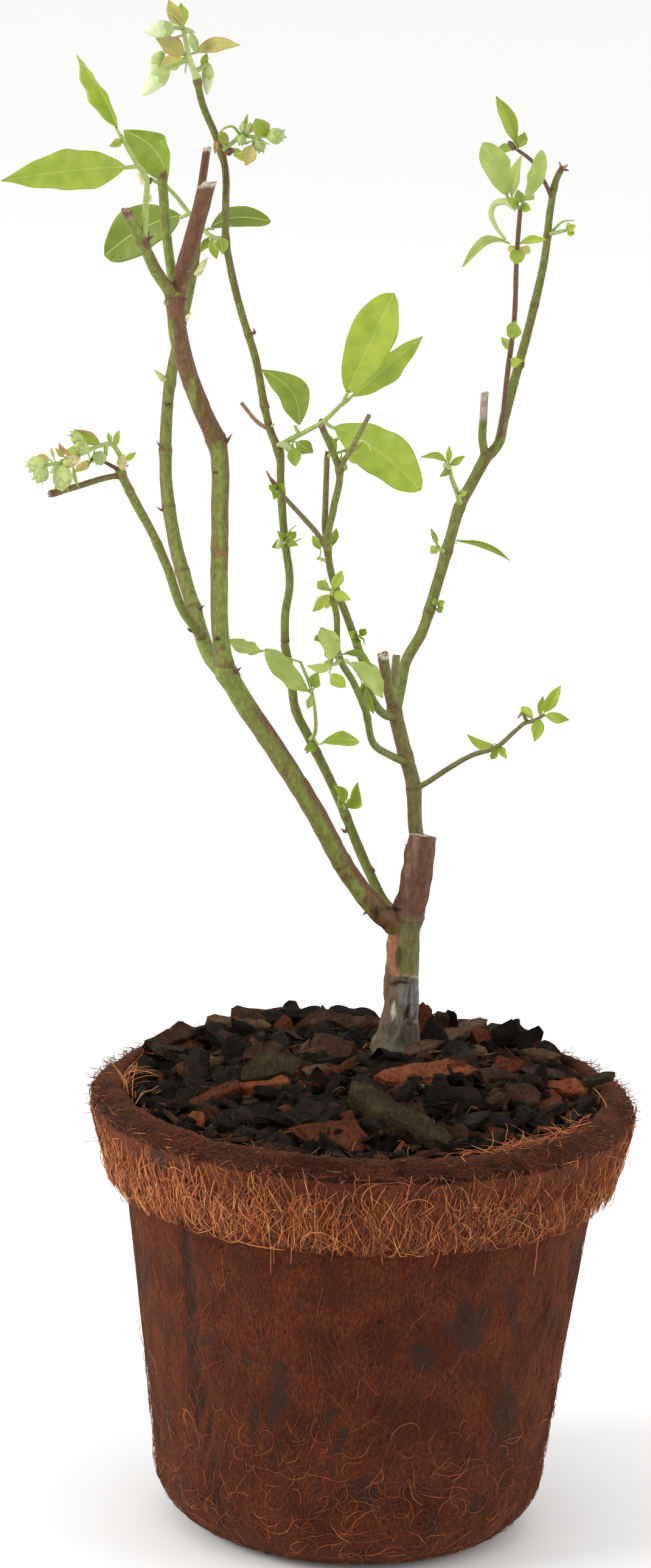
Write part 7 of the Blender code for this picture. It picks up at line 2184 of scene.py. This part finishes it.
# Lamps: name, place, what it aims at, size and power
LAMPS = [("key", (-2.1, -0.8, 1.4), (0.0, 0.0, 0.2), 1.1, 38.0),
         ("fill", (1.9, -0.5, 0.9), (0.0, 0.0, 0.2), 1.2, 10.0),
         ("rim", (0.4, 1.6, 1.5), (0.0, 0.0, 0.25), 1.2, 3.0)]


def camera():
    """The camera at the photograph's viewing angle and slight tilt."""
    lens = bpy.data.cameras.new("camera")
    lens.lens = CAMERA_LENS
    lens.sensor_width = CAMERA_SENSOR
    lens.clip_end = CAMERA_REACH
    tilt = math.radians(CAMERA_TILT)
    back = Vector((0.0, -math.cos(tilt), math.sin(tilt)))
    right = Vector((1.0, 0.0, 0.0))
    up = back.cross(right)
    roll = math.radians(CAMERA_ROLL)
    level = right * math.cos(roll) + up * math.sin(roll)
    crown = up * math.cos(roll) - right * math.sin(roll)
    place = CAMERA_TARGET + back * CAMERA_DISTANCE
    made = bpy.data.objects.new("camera", lens)
    made.matrix_world = Matrix((
        (level.x, crown.x, back.x, place.x), (level.y, crown.y, back.y, place.y),
        (level.z, crown.z, back.z, place.z), (0.0, 0.0, 0.0, 1.0)))
    bpy.context.scene.collection.objects.link(made)
    bpy.context.scene.camera = made


def light(name, place, aim, size, power):
    """A soft white square lamp at a place, turned to what it aims at."""
    lamp = bpy.data.lights.new(name, "AREA")
    lamp.size = size
    lamp.energy = power
    made = bpy.data.objects.new(name, lamp)
    made.location = place
    made.rotation_euler = (Vector(aim) - Vector(place)).to_track_quat("-Z", "Y").to_euler()
    bpy.context.scene.collection.objects.link(made)


def studio():
    """A pale floor, an even white surround and soft lamps."""
    mesh = bpy.data.meshes.new("floor")
    corners = [(x * FLOOR_REACH, y * FLOOR_REACH, 0) for x, y in ((-1, -1), (1, -1), (1, 1), (-1, 1))]
    mesh.from_pydata(corners, [], [(0, 1, 2, 3)])
    floor = bpy.data.objects.new("floor", mesh)
    bpy.context.scene.collection.objects.link(floor)
    mesh.materials.append(Look("pale_floor", (0.93, 0.93, 0.92), 0.9).made)
    world = bpy.data.worlds.new("surround")
    bpy.context.scene.world = world
    world.use_nodes = True
    world.node_tree.nodes["Background"].inputs["Color"].default_value = (1.0, 1.0, 1.0, 1.0)
    world.node_tree.nodes["Background"].inputs["Strength"].default_value = 1.0
    for lamp in LAMPS:
        light(*lamp)
    bpy.context.scene.view_settings.view_transform = "Standard"


def soil():
    """The root ball under the bark keeps its solid and gets a peat finish."""
    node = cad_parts["root_ball"]
    node.data.materials.clear()
    node.data.materials.append(chip_look("peat", (0.030, 0.020, 0.015), (0.055, 0.036, 0.024)))


camera()
studio()
soil()
pot_wall()
pot_collar()
collar_random = np.random.default_rng(31)
collar_fibres(collar_random)
collar_loops(collar_random)
wall_random = np.random.default_rng(37)
wall_fibres(wall_random)
wall_curls(wall_random)
lip_fibres(np.random.default_rng(41))
mulch_bed()
chip_random = np.random.default_rng(53)
mulch_chips(chip_random)
mulch_pieces(chip_random)
mulch_litter(np.random.default_rng(67))
trunk()
left_side()
middle()
right_side()
left_region()
crown_region()
middle_region()
inner_region()
right_region()
bud_scales()
